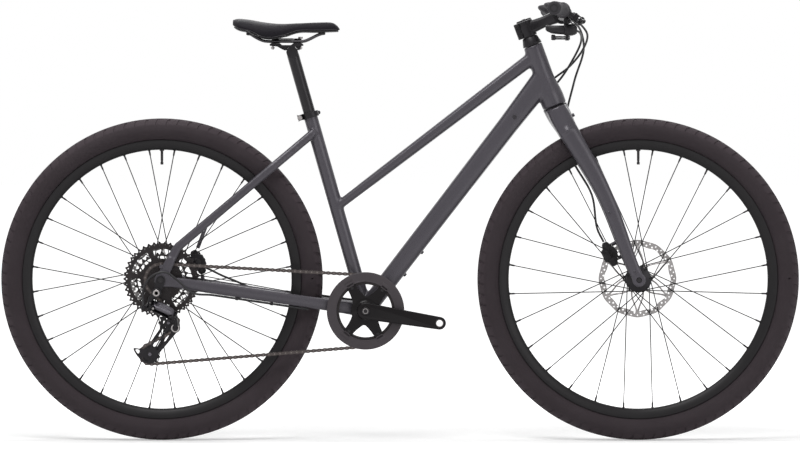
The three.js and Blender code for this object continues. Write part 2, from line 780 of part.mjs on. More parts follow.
// Headset: a sealed bearing at each end of the head tube, the upper one under a conical cover.
const steererBore = STEERER_RADIUS + GAP * 1.5;
add(
  root,
  "headset_lower",
  turned(
    [
      [steererBore, GAP],
      [HEAD_TUBE_LOWER_RADIUS, GAP],
      [HEAD_TUBE_LOWER_RADIUS, HEAD_LOW - GAP],
      [LOWER_BEARING_RADIUS, HEAD_LOW - GAP],
      [LOWER_BEARING_RADIUS, HEAD_LOW + BEARING_HEIGHT],
      [steererBore, HEAD_LOW + BEARING_HEIGHT],
    ],
    RING_SIDES,
    CROWN,
    STEER_AXIS,
  ),
  blackAlloy,
);
const CONE_LOW = HEAD_HIGH + GAP;
const CONE_HIGH = CONE_LOW + CONE_HEIGHT;
add(
  root,
  "headset_upper",
  turned(
    [
      [steererBore, HEAD_HIGH - BEARING_HEIGHT],
      [UPPER_BEARING_RADIUS, HEAD_HIGH - BEARING_HEIGHT],
      [UPPER_BEARING_RADIUS, CONE_LOW],
      [HEAD_TUBE_UPPER_RADIUS, CONE_LOW],
      [HEAD_TUBE_UPPER_RADIUS, CONE_LOW + CONE_HEIGHT / 6],
      [CONE_TOP_RADIUS, CONE_HIGH],
      [steererBore, CONE_HIGH],
    ],
    RING_SIDES,
    CROWN,
    STEER_AXIS,
  ),
  blackAlloy,
);

// Wheel pieces, each round its own axle.
const tyreShares = { bulgeRise: 0.49, shoulderRise: 0.85, shoulderWidth: 0.68 };
const tyreRise = TYRE_RADIUS - RIM_FLANGE_RADIUS;
const bulgeRadius = RIM_FLANGE_RADIUS + tyreRise * tyreShares.bulgeRise;
const bothSides = (half) => [...half, ...half.map(([r, y]) => [r, -y]).reverse()];
const footHalf = RIM_BED_WIDTH / 2 - GAP;
const mouthHalf = RIM_MOUTH_WIDTH / 2 - GAP;
const tyreHalf = TYRE_WIDTH / 2;
const innerFoot = footHalf - TYRE_WALL * 1.2;

function tyreShape() {
  const outer = [
    [RIM_BED_RADIUS + GAP, footHalf],
    [RIM_FLANGE_RADIUS + GAP, mouthHalf],
    [bulgeRadius, tyreHalf],
    [RIM_FLANGE_RADIUS + tyreRise * tyreShares.shoulderRise, tyreHalf * tyreShares.shoulderWidth],
    [TYRE_RADIUS, 0],
  ];
  const inner = [
    [TYRE_RADIUS - TYRE_WALL, 0],
    [bulgeRadius, tyreHalf - TYRE_WALL],
    [RIM_BED_RADIUS + GAP, innerFoot],
  ];
  const right = outer.slice(0, -1).map(([r, y]) => [r, -y]).reverse();
  const innerRight = inner.slice(1).map(([r, y]) => [r, -y]).reverse();
  return turned([...outer, ...right, ...innerRight, ...inner], WHEEL_SIDES);
}

function innerTubeShape() {
  const air = TYRE_WALL + 2 * GAP;
  const section = [
    [RIM_BED_RADIUS + 2 * GAP, innerFoot - GAP],
    [bulgeRadius, tyreHalf - air],
    [TYRE_RADIUS - air, 0],
    [bulgeRadius, air - tyreHalf],
    [RIM_BED_RADIUS + 2 * GAP, GAP - innerFoot],
  ];
  const valve = rod(V(0, 0, VALVE_END_RADIUS), V(0, 0, bulgeRadius), VALVE_RADIUS, VALVE_RADIUS, SMALL_SIDES);
  return join(turned(section, WHEEL_SIDES), valve);
}

function rimShape() {
  const half = [
    [RIM_INNER_RADIUS, RIM_SPOKE_FACE_WIDTH / 2],
    [RIM_FLANGE_RADIUS, RIM_WIDTH / 2],
    [RIM_FLANGE_RADIUS, RIM_MOUTH_WIDTH / 2],
    [RIM_BED_RADIUS, RIM_BED_WIDTH / 2],
  ];
  const valveHole = rod(
    V(0, 0, VALVE_END_RADIUS),
    V(0, 0, bulgeRadius),
    VALVE_RADIUS + GAP,
    VALVE_RADIUS + GAP,
    SMALL_SIDES,
  );
  return cut(turned(bothSides(half), WHEEL_SIDES), valveHole);
}

// Spokes cross three others on their side, and leave the flange in turn from its inner and its outer face.
function spokes(count, leftFlange, rightFlange) {
  const step = (2 * Math.PI) / count;
  const lacing = 6 * step;
  const tip = RIM_INNER_RADIUS - SPOKE_RIM_GAP;
  return Array.from({ length: count }, (_, k) => {
    const onLeft = k % 2 === 1;
    const trailing = Math.floor(k / 2) % 2 === 0;
    const rimAngle = (k + 0.5) * step;
    const hubAngle = rimAngle + (trailing ? -lacing : lacing);
    const stagger = trailing ? SPOKE_STAGGER : -SPOKE_STAGGER;
    const from = V(
      FLANGE_HOLE_RADIUS * Math.sin(hubAngle),
      (onLeft ? leftFlange : rightFlange) + stagger,
      FLANGE_HOLE_RADIUS * Math.cos(hubAngle),
    );
    const to = V(
      tip * Math.sin(rimAngle),
      onLeft ? SPOKE_RIM_OFFSET : -SPOKE_RIM_OFFSET,
      tip * Math.cos(rimAngle),
    );
    return rod(from, to, SPOKE_RADIUS, SPOKE_RADIUS, 3);
  });
}

// Hub outline from the right end cap to the left one; shellRight is the radius outside the right flange.
function hubShape(width, leftFlange, rightFlange, rotorOffset, shellRight, spokeCount) {
  const end = width / 2 - GAP;
  const bore = AXLE_RADIUS + GAP;
  const flange = (y) => [
    [HUB_SHELL_RADIUS, y - FLANGE_THICKNESS],
    [FLANGE_RADIUS, y - FLANGE_THICKNESS / 2],
    [FLANGE_RADIUS, y + FLANGE_THICKNESS / 2],
    [HUB_SHELL_RADIUS, y + FLANGE_THICKNESS],
  ];
  const seatEnd = rotorOffset + ROTOR_CARRIER_THICKNESS / 2;
  const profile = [
    [bore, -end],
    [HUB_CAP_RADIUS, -end],
    [HUB_CAP_RADIUS, HUB_CAP_LENGTH / 2 - end],
    [shellRight, HUB_CAP_LENGTH / 2 - end],
    [shellRight, rightFlange - FLANGE_THICKNESS],
    ...flange(rightFlange),
    ...flange(leftFlange),
    [ROTOR_SEAT_RADIUS, leftFlange + FLANGE_THICKNESS],
    [ROTOR_SEAT_RADIUS, seatEnd],
    [HUB_CAP_RADIUS, seatEnd],
    [HUB_CAP_RADIUS, end],
    [bore, end],
  ];
  return join(turned(profile, HUB_SIDES), ...spokes(spokeCount, leftFlange, rightFlange));
}

function rotorShape(offset, radius) {
  const half = ROTOR_THICKNESS / 2;
  const waves = Array.from({ length: WHEEL_SIDES }, (_, i) => {
    const angle = (2 * Math.PI * i) / WHEEL_SIDES;
    const r = radius + (i % 4 < 2 ? ROTOR_WAVE : -ROTOR_WAVE) / 2;
    return [r * Math.cos(angle), r * Math.sin(angle)];
  });
  const centre = V(0, 0, 0);
  const band = plate(waves, offset - half, offset + half, [circle(centre, radius - ROTOR_BAND, DISC_SIDES)]);
  const carrierHalf = ROTOR_CARRIER_THICKNESS / 2;
  const carrier = turned(
    [
      [ROTOR_SEAT_RADIUS + GAP, offset - carrierHalf],
      [ROTOR_CARRIER_RADIUS, offset - carrierHalf],
      [ROTOR_CARRIER_RADIUS, offset + carrierHalf],
      [ROTOR_SEAT_RADIUS + GAP, offset + carrierHalf],
    ],
    HUB_SIDES,
  );
  const arms = Array.from({ length: ROTOR_ARMS }, (_, i) => {
    const from = (2 * Math.PI * i) / ROTOR_ARMS;
    const to = from + Math.PI / ROTOR_ARMS;
    const start = ROTOR_CARRIER_RADIUS - ROTOR_ARM_WIDTH / 2;
    const a = V(start * Math.cos(from), offset, start * Math.sin(from));
    const reach = radius - ROTOR_BAND / 2;
    const b = V(reach * Math.cos(to), offset, reach * Math.sin(to));
    const run = sum(b, a, -1);
    const middle = sum(a, b).multiplyScalar(0.5);
    return block(middle, run, LEFT, run.length(), ROTOR_THICKNESS, ROTOR_ARM_WIDTH);
  });
  return join(band, carrier, ...arms);
}

function addWheel(side, at, hub) {
  const wheel = new THREE.Group();
  wheel.position.copy(at);
  root.add(wheel);
  add(wheel, `${side}_tyre`, tyreShape(), tyreRubber);
  add(wheel, `${side}_inner_tube`, innerTubeShape(), rubber);
  add(wheel, `${side}_rim`, rimShape(), blackAlloy);
  add(
    wheel,
    `${side}_hub_and_spokes`,
    hubShape(hub.width, hub.left, hub.right, hub.rotor, hub.shellRight, hub.spokes),
    blackAlloy,
  );
  add(wheel, `${side}_rotor`, rotorShape(hub.rotor, hub.rotorRadius), steel);
  return wheel;
}
addWheel("front", FRONT, {
  width: FRONT_HUB_WIDTH,
  left: FRONT_LEFT_FLANGE,
  right: FRONT_RIGHT_FLANGE,
  rotor: FRONT_ROTOR_OFFSET,
  rotorRadius: FRONT_ROTOR_RADIUS,
  shellRight: HUB_SHELL_RADIUS,
  spokes: FRONT_SPOKES,
});
const rearWheel = addWheel("rear", REAR, {
  width: REAR_HUB_WIDTH,
  left: REAR_LEFT_FLANGE,
  right: REAR_RIGHT_FLANGE,
  rotor: REAR_ROTOR_OFFSET,
  rotorRadius: REAR_ROTOR_RADIUS,
  shellRight: FREEHUB_RADIUS,
  spokes: REAR_SPOKES,
});

// Cassette: eight cogs on one core that slides over the freehub.
const cogOffset = (index) => -CHAINLINE + (index - CHAIN_COG) * COG_PITCH;
const origin = V(0, 0, 0);
const cogs = COG_TEETH.map((teeth, index) => {
  const y = cogOffset(index);
  const radius = pitchRadius(teeth);
  const sides = index < CHAIN_COG ? RING_SIDES : DISC_SIDES;
  const outline = TOOTHED_COGS.includes(index) ? toothed(origin, teeth, radius) : circle(origin, radius, sides);
  return plate(outline, y - COG_THICKNESS / 2, y + COG_THICKNESS / 2);
});
const coreLow = cogOffset(1);
const coreHigh = cogOffset(COG_TEETH.length - 1);
const cassetteLow = cogOffset(0) - COG_THICKNESS;
add(
  rearWheel,
  "cassette",
  cut(
    join(
      crossBar(origin, coreLow, coreHigh, CASSETTE_CORE_RADIUS),
      crossBar(origin, cassetteLow, coreLow, FREEHUB_RADIUS + COG_THICKNESS),
      ...cogs,
    ),
    crossBar(origin, cassetteLow - OVERRUN, coreHigh + OVERRUN, FREEHUB_RADIUS + 2 * GAP),
  ),
  chainSteel,
);

// Axles: each passes through the wheel and both dropouts, with a head outside the left one.
function throughAxle(at, right, left) {
  return join(
    crossBar(at, -right, left + GAP, AXLE_RADIUS),
    crossBar(at, left + GAP, left + GAP + AXLE_RADIUS, AXLE_RADIUS * 1.6),
  );
}
add(root, "rear_axle", throughAxle(REAR, HANGER_OUTER, DROPOUT_OUTER), blackAlloy);
const forkTipOuter = FRONT_HUB_WIDTH / 2 + FORK_TIP_THICKNESS;
add(root, "front_axle", throughAxle(FRONT, forkTipOuter, forkTipOuter), blackAlloy);

// Crankset, drawn with the right arm pointing forward and then turned to its rest angle.
const crankset = new THREE.Group();
crankset.position.copy(BB);
crankset.rotation.y = -degrees(CRANK_ANGLE);
root.add(crankset);
const RING_OUTER = CHAINLINE + RING_THICKNESS / 2;
const SPIDER_INNER = RING_OUTER + GAP;
const SPIDER_OUTER = SPIDER_INNER + SPIDER_THICKNESS;
const armTip = V(CRANK_LENGTH, 0, 0);
function armOutline(direction) {
  return wrapped([
    [origin, CRANK_BOSS_RADIUS],
    [armTip.clone().multiplyScalar(direction), CRANK_TIP_RADIUS],
  ]);
}
const spiderArms = SPIDER_ANGLES.map((angle) => {
  const run = V(Math.cos(degrees(angle)), 0, Math.sin(degrees(angle)));
  const middle = run.clone().multiplyScalar(SPIDER_REACH / 2);
  middle.y = -(SPIDER_INNER + SPIDER_OUTER) / 2;
  return block(middle, run, LEFT, SPIDER_REACH, SPIDER_THICKNESS, SPIDER_ARM_WIDTH);
});
const CRANK_OUTER = CRANK_INNER_OFFSET + CRANK_THICKNESS;
const axleSocket = crossBar(origin, -CRANK_OUTER, CRANK_OUTER, CRANK_AXLE_RADIUS + GAP);
const pedalHole = (direction) =>
  crossBar(
    armTip.clone().multiplyScalar(direction),
    -CRANK_OUTER - OVERRUN,
    CRANK_OUTER + OVERRUN,
    PEDAL_HOLE_RADIUS,
    12,
  );
const boltRecess = crossBar(origin, -CRANK_OUTER - OVERRUN, -CRANK_OUTER + CRANK_THICKNESS / 3, CRANK_BOLT_RADIUS);
add(
  crankset,
  "right_crank_arm",
  cut(
    join(
      plate(armOutline(1), -CRANK_OUTER, -CRANK_INNER_OFFSET),
      crossBar(origin, -CRANK_INNER_OFFSET - GAP, -SPIDER_INNER, CRANK_BOSS_RADIUS),
      ...spiderArms,
    ),
    crossBar(origin, -CRANK_OUTER + CRANK_THICKNESS / 2, -SPIDER_INNER + OVERRUN, CRANK_AXLE_RADIUS + GAP),
    pedalHole(1),
    boltRecess,
  ),
  blackAlloy,
);
add(
  crankset,
  "left_crank_arm",
  cut(
    join(
      plate(armOutline(-1), CRANK_INNER_OFFSET, CRANK_OUTER),
      crossBar(origin, -CRANK_OUTER + CRANK_THICKNESS / 2 + GAP, CRANK_OUTER, CRANK_AXLE_RADIUS),
    ),
    pedalHole(-1),
  ),
  blackAlloy,
);
add(
  crankset,
  "chainring",
  plate(toothed(origin, RING_TEETH, pitchRadius(RING_TEETH)), -RING_OUTER, RING_THICKNESS - RING_OUTER, [
    circle(origin, RING_INNER_RADIUS, DISC_SIDES),
  ]),
  blackAlloy,
);
add(
  crankset,
  "chain_guard",
  plate(
    circle(origin, GUARD_OUTER_RADIUS, WHEEL_SIDES),
    -SPIDER_OUTER - GAP - GUARD_THICKNESS,
    -SPIDER_OUTER - GAP,
    [circle(origin, GUARD_INNER_RADIUS, DISC_SIDES)],
  ),
  blackPlastic,
);

// Chain: one loop of links over the chainring, the derailleur pulleys and the cog. Clockwise wheels have sense 1.
const GUIDE = V(REAR.x + GUIDE_PULLEY_AHEAD, 0, REAR.z - GUIDE_PULLEY_BELOW);
const TENSION = V(REAR.x - TENSION_PULLEY_BEHIND, 0, REAR.z - TENSION_PULLEY_BELOW);
const PULLEY_RADIUS = pitchRadius(PULLEY_TEETH);
const COG_RADIUS = pitchRadius(COG_TEETH[CHAIN_COG]);
const RING_RADIUS = pitchRadius(RING_TEETH);
const chainWheels = [
  { at: BB, radius: RING_RADIUS, sense: 1 },
  { at: TENSION, radius: PULLEY_RADIUS, sense: 1 },
  { at: GUIDE, radius: PULLEY_RADIUS, sense: -1 },
  { at: REAR, radius: COG_RADIUS, sense: 1 },
];

function chainPath() {
  const count = chainWheels.length;
  const runs = chainWheels.map((a, i) => {
    const b = chainWheels[(i + 1) % count];
    const across = sum(b.at, a.at, -1);
    const shift = a.sense * a.radius - b.sense * b.radius;
    const along = Math.sqrt(across.lengthSq() - shift * shift);
    const angle = Math.atan2(across.z, across.x) - Math.atan2(shift, along);
    const normal = V(-Math.sin(angle), 0, Math.cos(angle));
    return { from: sum(a.at, normal, a.sense * a.radius), to: sum(b.at, normal, b.sense * b.radius) };
  });
  const path = new THREE.CurvePath();
  runs.forEach((run, i) => {
    path.add(new THREE.LineCurve3(run.from, run.to));
    const wheel = chainWheels[(i + 1) % count];
    const next = runs[(i + 1) % count].from;
    const angleOf = (p) => Math.atan2(p.z - wheel.at.z, p.x - wheel.at.x);
    const start = angleOf(run.to);
    const turn = THREE.MathUtils.euclideanModulo(wheel.sense * (start - angleOf(next)), 2 * Math.PI);
    const steps = Math.ceil(turn * HUB_SIDES);
    let last = run.to;
    for (let k = 1; k <= steps; k += 1) {
      const angle = start - (wheel.sense * turn * k) / steps;
      const point = sum(wheel.at, V(Math.cos(angle), 0, Math.sin(angle)), wheel.radius);
      path.add(new THREE.LineCurve3(last, point));
      last = point;
    }
  });
  return path;
}

function chainShape() {
  const path = chainPath();
  const links = 2 * Math.round(path.getLength() / CHAIN_PITCH / 2);
  const points = Array.from({ length: links }, (_, i) => path.getPoint(i / links));
  const edge = (side) =>
    points.map((point, i) => {
      const run = sum(points[(i + 1) % links], points.at(i - 1), -1).normalize();
      const half = CHAIN_PLATE_HEIGHT / 2;
      return [point.x - run.z * half * side, point.z + run.x * half * side];
    });
  const low = -CHAINLINE - CHAIN_WIDTH / 2;
  const high = -CHAINLINE + CHAIN_WIDTH / 2;
  const slots = chainWheels.map(({ at, radius }) =>
    crossBar(
      at,
      -CHAINLINE - CHAIN_SLOT / 2,
      -CHAINLINE + CHAIN_SLOT / 2,
      radius + TOOTH_RISE + 2 * GAP,
      WHEEL_SIDES,
    ),
  );
  return cut(plate(edge(1), low, high), plate(edge(-1), low - OVERRUN, high + OVERRUN), ...slots);
}
add(root, "chain", chainShape(), chainSteel);

// Rear derailleur: a slanted parallelogram hangs a sprung cage with two pulleys below the cassette.
const LINK_RUN = V(2, 0, -1).normalize();
const linkSwingShares = [0.76, 0.65];
const LINK_SWING = V(-Math.sqrt(1 / 5), 0, -Math.sqrt(4 / 5))
  .multiplyScalar(linkSwingShares[0])
  .add(V(0, linkSwingShares[1], 0))
  .normalize();
const PIN_AXIS = LINK_RUN.clone().cross(LINK_SWING).normalize();
const BASE_PIN = V(REAR.x - LINK_PIN_BEHIND, -LINK_PLANE, REAR.z - LINK_PIN_BELOW);
const CAGE_PIN = sum(BASE_PIN, LINK_RUN, LINK_LENGTH);
const CAGE_PIVOT = V(REAR.x + CAGE_PIVOT_AHEAD, 0, REAR.z - CAGE_PIVOT_BELOW);
const LINK_REST = LINK_SPAN / 2;
const LUG_MIDDLE = LINK_REST + GAP + LUG_THICKNESS / 2;

// Lugs and pins for both links at one end of the parallelogram; the web that joins them lies away from the links.
function linkCarrier(pin, awayFromLinks) {
  const inner = sum(pin, LINK_SWING, LINK_SPACING);
  const away = LINK_RUN.clone().multiplyScalar(awayFromLinks);
  const middle = sum(sum(pin, LINK_SWING, LINK_SPACING / 2), away, WEB_OFFSET);
  const span = 2 * LUG_MIDDLE + LUG_THICKNESS;
  const web = block(middle, PIN_AXIS, LINK_SWING, span, LINK_SPACING + 2 * LINK_BARREL_RADIUS, LINK_THICKNESS);
  const lugs = [pin, inner].flatMap((at) =>
    [-1, 1].map((end) => {
      const centre = sum(sum(at, PIN_AXIS, end * LUG_MIDDLE), away, WEB_OFFSET / 2 - LINK_PIN_RADIUS);
      const reach = WEB_OFFSET + 2 * LINK_PIN_RADIUS;
      return block(centre, PIN_AXIS, LINK_SWING, LUG_THICKNESS, 2 * LINK_BARREL_RADIUS, reach);
    }),
  );
  const pins = [pin, inner].map((at) =>
    rod(sum(at, PIN_AXIS, -LUG_MIDDLE), sum(at, PIN_AXIS, LUG_MIDDLE), LINK_PIN_RADIUS, LINK_PIN_RADIUS, SMALL_SIDES),
  );
  return join(web, ...lugs, ...pins);
}
function linkShape(from) {
  const to = sum(from, LINK_RUN, LINK_LENGTH);
  const middle = sum(from, to).multiplyScalar(0.5);
  const barrel = (at, radius, span) =>
    rod(sum(at, PIN_AXIS, -span / 2), sum(at, PIN_AXIS, span / 2), radius, radius, SMALL_SIDES);
  const blade = block(middle, LINK_RUN, PIN_AXIS, LINK_LENGTH, LINK_SPAN, LINK_THICKNESS);
  const holeRadius = LINK_PIN_RADIUS + GAP;
  return cut(
    join(blade, barrel(from, LINK_BARREL_RADIUS, LINK_SPAN), barrel(to, LINK_BARREL_RADIUS, LINK_SPAN)),
    barrel(from, holeRadius, LINK_SPAN + OVERRUN),
    barrel(to, holeRadius, LINK_SPAN + OVERRUN),
  );
}
const knuckleInner = HANGER_OUTER + GAP;
const knuckleOuter = knuckleInner + KNUCKLE_LENGTH;
const baseWeb = sum(sum(BASE_PIN, LINK_SWING, LINK_SPACING / 2), LINK_RUN, -WEB_OFFSET - LINK_THICKNESS / 2);
const baseArm = V(HANGER_BOLT.x, -(knuckleInner + knuckleOuter) / 2, HANGER_BOLT.z);
const hangerRoom = plate(
  wrapped([
    [REAR, HANGER_RADIUS + GAP],
    [HANGER_BOLT, HANGER_TIP_RADIUS + GAP],
  ]),
  -HANGER_OUTER - GAP,
  -DROPOUT_OUTER,
);
const cableStop = V(...CABLE_STOP);
add(
  root,
  "derailleur_base",
  cut(
    join(
      crossBar(HANGER_BOLT, -knuckleOuter, -knuckleInner, KNUCKLE_RADIUS),
      rod(baseArm, baseWeb, KNUCKLE_RADIUS / 2, KNUCKLE_RADIUS / 3, SMALL_SIDES),
      rod(baseWeb, cableStop, CABLE_STOP_RADIUS, CABLE_STOP_RADIUS, SMALL_SIDES),
      linkCarrier(BASE_PIN, -1),
    ),
    hangerRoom,
  ),
  blackAlloy,
);
add(root, "derailleur_outer_link", linkShape(BASE_PIN), blackAlloy);
add(root, "derailleur_inner_link", linkShape(sum(BASE_PIN, LINK_SWING, LINK_SPACING)), blackAlloy);
const cageOuter = CHAINLINE + CAGE_HALF_WIDTH + CAGE_PLATE;
const pivotInner = cageOuter + GAP;
const cageWeb = sum(sum(CAGE_PIN, LINK_SWING, LINK_SPACING / 2), LINK_RUN, WEB_OFFSET);
add(
  root,
  "derailleur_cage_knuckle",
  join(
    crossBar(CAGE_PIVOT, -pivotInner - KNUCKLE_LENGTH, -pivotInner, KNUCKLE_RADIUS),
    rod(
      V(CAGE_PIVOT.x, -pivotInner - KNUCKLE_LENGTH / 2, CAGE_PIVOT.z),
      cageWeb,
      KNUCKLE_RADIUS / 2,
      KNUCKLE_RADIUS / 2,
      SMALL_SIDES,
    ),
    linkCarrier(CAGE_PIN, 1),
  ),
  blackAlloy,
);
const outerPlate = wrapped([
  [CAGE_PIVOT, CAGE_GUIDE_RADIUS],
  [GUIDE, CAGE_GUIDE_RADIUS],
  [TENSION, CAGE_TENSION_RADIUS],
]);
const innerPlate = wrapped([
  [GUIDE, CAGE_GUIDE_RADIUS],
  [TENSION, CAGE_TENSION_RADIUS],
]);
const cageInner = CHAINLINE - CAGE_HALF_WIDTH - CAGE_PLATE;
add(
  root,
  "derailleur_cage",
  join(
    plate(outerPlate, -cageOuter, CAGE_PLATE - cageOuter),
    plate(innerPlate, -cageInner - CAGE_PLATE, -cageInner),
    crossBar(GUIDE, -cageOuter, -cageInner, PULLEY_BOLT_RADIUS, 10),
    crossBar(TENSION, -cageOuter, -cageInner, PULLEY_BOLT_RADIUS, 10),
  ),
  blackAlloy,
);
[
  ["guide_pulley", GUIDE],
  ["tension_pulley", TENSION],
].forEach(([name, at]) => {
  const outline = toothed(origin, PULLEY_TEETH, PULLEY_RADIUS);
  const bore = circle(origin, PULLEY_BORE_RADIUS, 10).reverse();
  const half = PULLEY_THICKNESS / 2;
  const pulley = add(root, name, plate(outline, -CHAINLINE - half, half - CHAINLINE, [bore]), blackPlastic);
  pulley.position.copy(at);
});

// Fork: steerer, crown and two curved legs around the wheel, with a round tip at each end of the axle.
const legShares = [
  [0, 1.05, 0.34, 1.75],
  [0.06, 1.12, 0.5, 1.5],
  [0.135, 1.06, 0.74, 1.12],
  [0.29, 0.97, 0.82, 0.95],
  [0.5, 0.82, 0.9, 0.8],
  [0.75, 0.74, 0.96, 0.62],
  [0.93, 0.64, 1, 0.43],
  [1, 0.6, 1, 0.43],
];
const legEnd = FRONT_HUB_WIDTH / 2 + FORK_TIP_THICKNESS / 2;
const legRun = sum(FRONT, CROWN, -1);
const legNormal = V(legRun.z, 0, -legRun.x).normalize();
const legPoint = (along, outward) => {
  const bow = -LEG_BOW * Math.sin(Math.PI * along) ** 2;
  return sum(sum(CROWN, legRun, along), legNormal, bow).setY(legEnd * outward);
};
const leg = loft(
  legShares.map(([along, highShare, outward, thickShare]) => ({
    at: legPoint(along, outward),
    high: LEG_HIGH * highShare,
    wide: LEG_THICK * thickShare,
  })),
  oval(2.5),
);
const crownShares = [
  [0, 1.27, 0.46],
  [0.05, 1.25, 0.62],
  [0.1, 1.15, 0.86],
  [0.14, 1.05, 1],
];
const crown = loft(
  crownShares.map(([along, highShare, wideShare]) => ({
    at: sum(CROWN, legRun, along),
    high: LEG_HIGH * highShare,
    wide: CROWN_WIDTH * wideShare,
  })),
  oval(2.5),
);
const rearward = legNormal;
const caliperShares = { along: 0.82, spread: 0.0395 };
const legUp = legRun.clone().normalize().multiplyScalar(-1);
const caliperLeg = legPoint(caliperShares.along, 0);
const frontCaliperAt = sum(caliperLeg, rearward, FRONT_CALIPER_BEHIND_LEG).setY(FRONT_ROTOR_OFFSET);
const frontPostY = FRONT_ROTOR_OFFSET + CALIPER_WIDTH / 2 - POST_RADIUS - GAP;
const frontBrake = discBrake(
  FRONT,
  FRONT_ROTOR_RADIUS,
  frontCaliperAt,
  legUp,
  [-1, 1].map((side) => legPoint(caliperShares.along + side * caliperShares.spread, 0).setY(frontPostY)),
);
const tip = crossBar(FRONT, FRONT_HUB_WIDTH / 2, FRONT_HUB_WIDTH / 2 + FORK_TIP_THICKNESS, FORK_TIP_RADIUS);
const sideLeg = join(leg, tip);
const crownTop = block(
  sum(CROWN, STEER_AXIS, CROWN_WIDTH / 2),
  STEER_AXIS,
  LEFT,
  CROWN_WIDTH,
  2 * CROWN_WIDTH,
  2 * CROWN_WIDTH,
);
const wheelSpace = crossBar(
  FRONT,
  -TYRE_CLEARANCE_WIDTH / 2,
  TYRE_CLEARANCE_WIDTH / 2,
  TYRE_RADIUS + WHEEL_CLEARANCE,
  WHEEL_SIDES,
);
const forkAxleHole = crossBar(FRONT, -forkTipOuter - OVERRUN, forkTipOuter + OVERRUN, AXLE_RADIUS + GAP);
add(
  root,
  "fork",
  cut(
    join(
      cut(join(crown, sideLeg, mirrored(sideLeg)), crownTop, wheelSpace),
      rod(steerer(-OVERRUN), steerer(STEERER_ABOVE_CROWN), STEERER_RADIUS, STEERER_RADIUS, RING_SIDES),
      ...frontBrake.posts,
    ),
    forkAxleHole,
  ),
  framePaint,
);

// Disc brakes: calipers, pads and the hose that leaves the rear caliper along the left stay.
const points = (table) => table.map(([x, y, z]) => V(x, y, z));
add(root, "front_caliper", frontBrake.body, blackAlloy);
add(
  root,
  "rear_caliper",
  join(rearBrake.body, cord(points(REAR_STUB_POINTS), HOSE_RADIUS, HOSE_SIDES, HOSE_SIDES)),
  blackAlloy,
);
[
  ["front_pad_right", frontBrake.pads[0]],
  ["front_pad_left", frontBrake.pads[1]],
  ["rear_pad_right", rearBrake.pads[0]],
  ["rear_pad_left", rearBrake.pads[1]],
].forEach(([name, shape]) => add(root, name, shape, steel));

// Stem: a clamp on the steerer and a half clamp round the bar, closed by its faceplate.
const stemLow = CONE_HIGH + GAP;
const stemMiddle = steerer(stemLow + STEM_CLAMP_HEIGHT / 2);
const BAR = sum(stemMiddle, V(STEM_REACH, 0, STEM_RISE));
const stemRun = sum(BAR, stemMiddle, -1).normalize();
const faceBar = crossBar(BAR, -FACEPLATE_WIDTH / 2, FACEPLATE_WIDTH / 2, FACEPLATE_RADIUS, RING_SIDES);
const barHole = crossBar(BAR, -BAR_CLAMP_HALF, BAR_CLAMP_HALF, BAR_CLAMP_RADIUS + GAP, RING_SIDES);
const halfSpace = (side) =>
  block(
    sum(BAR, stemRun, side * (FACEPLATE_WIDTH - GAP / 2)),
    stemRun,
    LEFT,
    2 * FACEPLATE_WIDTH,
    2 * FACEPLATE_WIDTH,
    2 * FACEPLATE_WIDTH,
  );
const stemBody = loft(
  [
    { at: stemMiddle, high: STEM_HIGH, wide: STEM_WIDE },
    { at: sum(BAR, stemRun, -FACEPLATE_RADIUS / 2), high: STEM_HIGH, wide: FACEPLATE_WIDTH },
  ],
  oval(4),
);
add(
  root,
  "stem",
  cut(
    join(
      rod(steerer(stemLow), steerer(stemLow + STEM_CLAMP_HEIGHT), STEM_CLAMP_RADIUS, STEM_CLAMP_RADIUS, RING_SIDES),
      stemBody,
      faceBar,
    ),
    halfSpace(1),
    barHole,
    rod(
      steerer(stemLow - OVERRUN),
      steerer(stemLow + STEM_CLAMP_HEIGHT + OVERRUN),
      STEERER_RADIUS + GAP,
      STEERER_RADIUS + GAP,
      RING_SIDES,
    ),
  ),
  blackAlloy,
);
add(root, "stem_faceplate", cut(faceBar, halfSpace(-1), barHole), blackAlloy);

// Handlebar: nearly straight, thicker at the stem, bending back and up a little towards the grips.
function barPoint(y) {
  const past = Math.max(0, Math.abs(y) - BAR_BEND_START) / (BAR_HALF_WIDTH - BAR_BEND_START);
  const share = Math.min(1, Math.abs(y) / BAR_HALF_WIDTH);
  return sum(BAR, V(-BAR_SWEEP * past ** 1.5, y, BAR_RISE * share * share * (3 - 2 * share)));
}
const barStep = BAR_HALF_WIDTH / 8;

// A sleeve of one radius along the bar from one y to another; its rings stand in planes square to Y.
function barSleeve(from, to, radius, sides = TUBE_SIDES) {
  const [low, high] = [Math.min(from, to), Math.max(from, to)];
  const inside = [];
  for (let k = Math.ceil(low / barStep + WELD); k * barStep < high - WELD; k += 1) inside.push(k * barStep);
  const ys = [low, ...inside, high];
  const last = ys.length - 1;
  const geometry = new THREE.CylinderGeometry(radius, radius, last, sides, last);
  const position = geometry.attributes.position;
  for (let i = 0; i < position.count; i += 1) {
    const at = barPoint(ys[Math.round(position.getY(i) + last / 2)]);
    position.setXYZ(i, at.x + position.getX(i), at.y, at.z + position.getZ(i));
  }
  return solid(geometry);
}
const taper = BAR_CLAMP_HALF * 1.7;
add(
  root,
  "handlebar",
  join(
    barSleeve(-BAR_HALF_WIDTH, BAR_HALF_WIDTH, BAR_RADIUS),
    turned(
      [
        [0, -taper],
        [BAR_RADIUS, -taper],
        [BAR_CLAMP_RADIUS, -BAR_CLAMP_HALF],
        [BAR_CLAMP_RADIUS, BAR_CLAMP_HALF],
        [BAR_RADIUS, taper],
        [0, taper],
      ],
      RING_SIDES,
      BAR,
    ),
  ),
  blackAlloy,
);

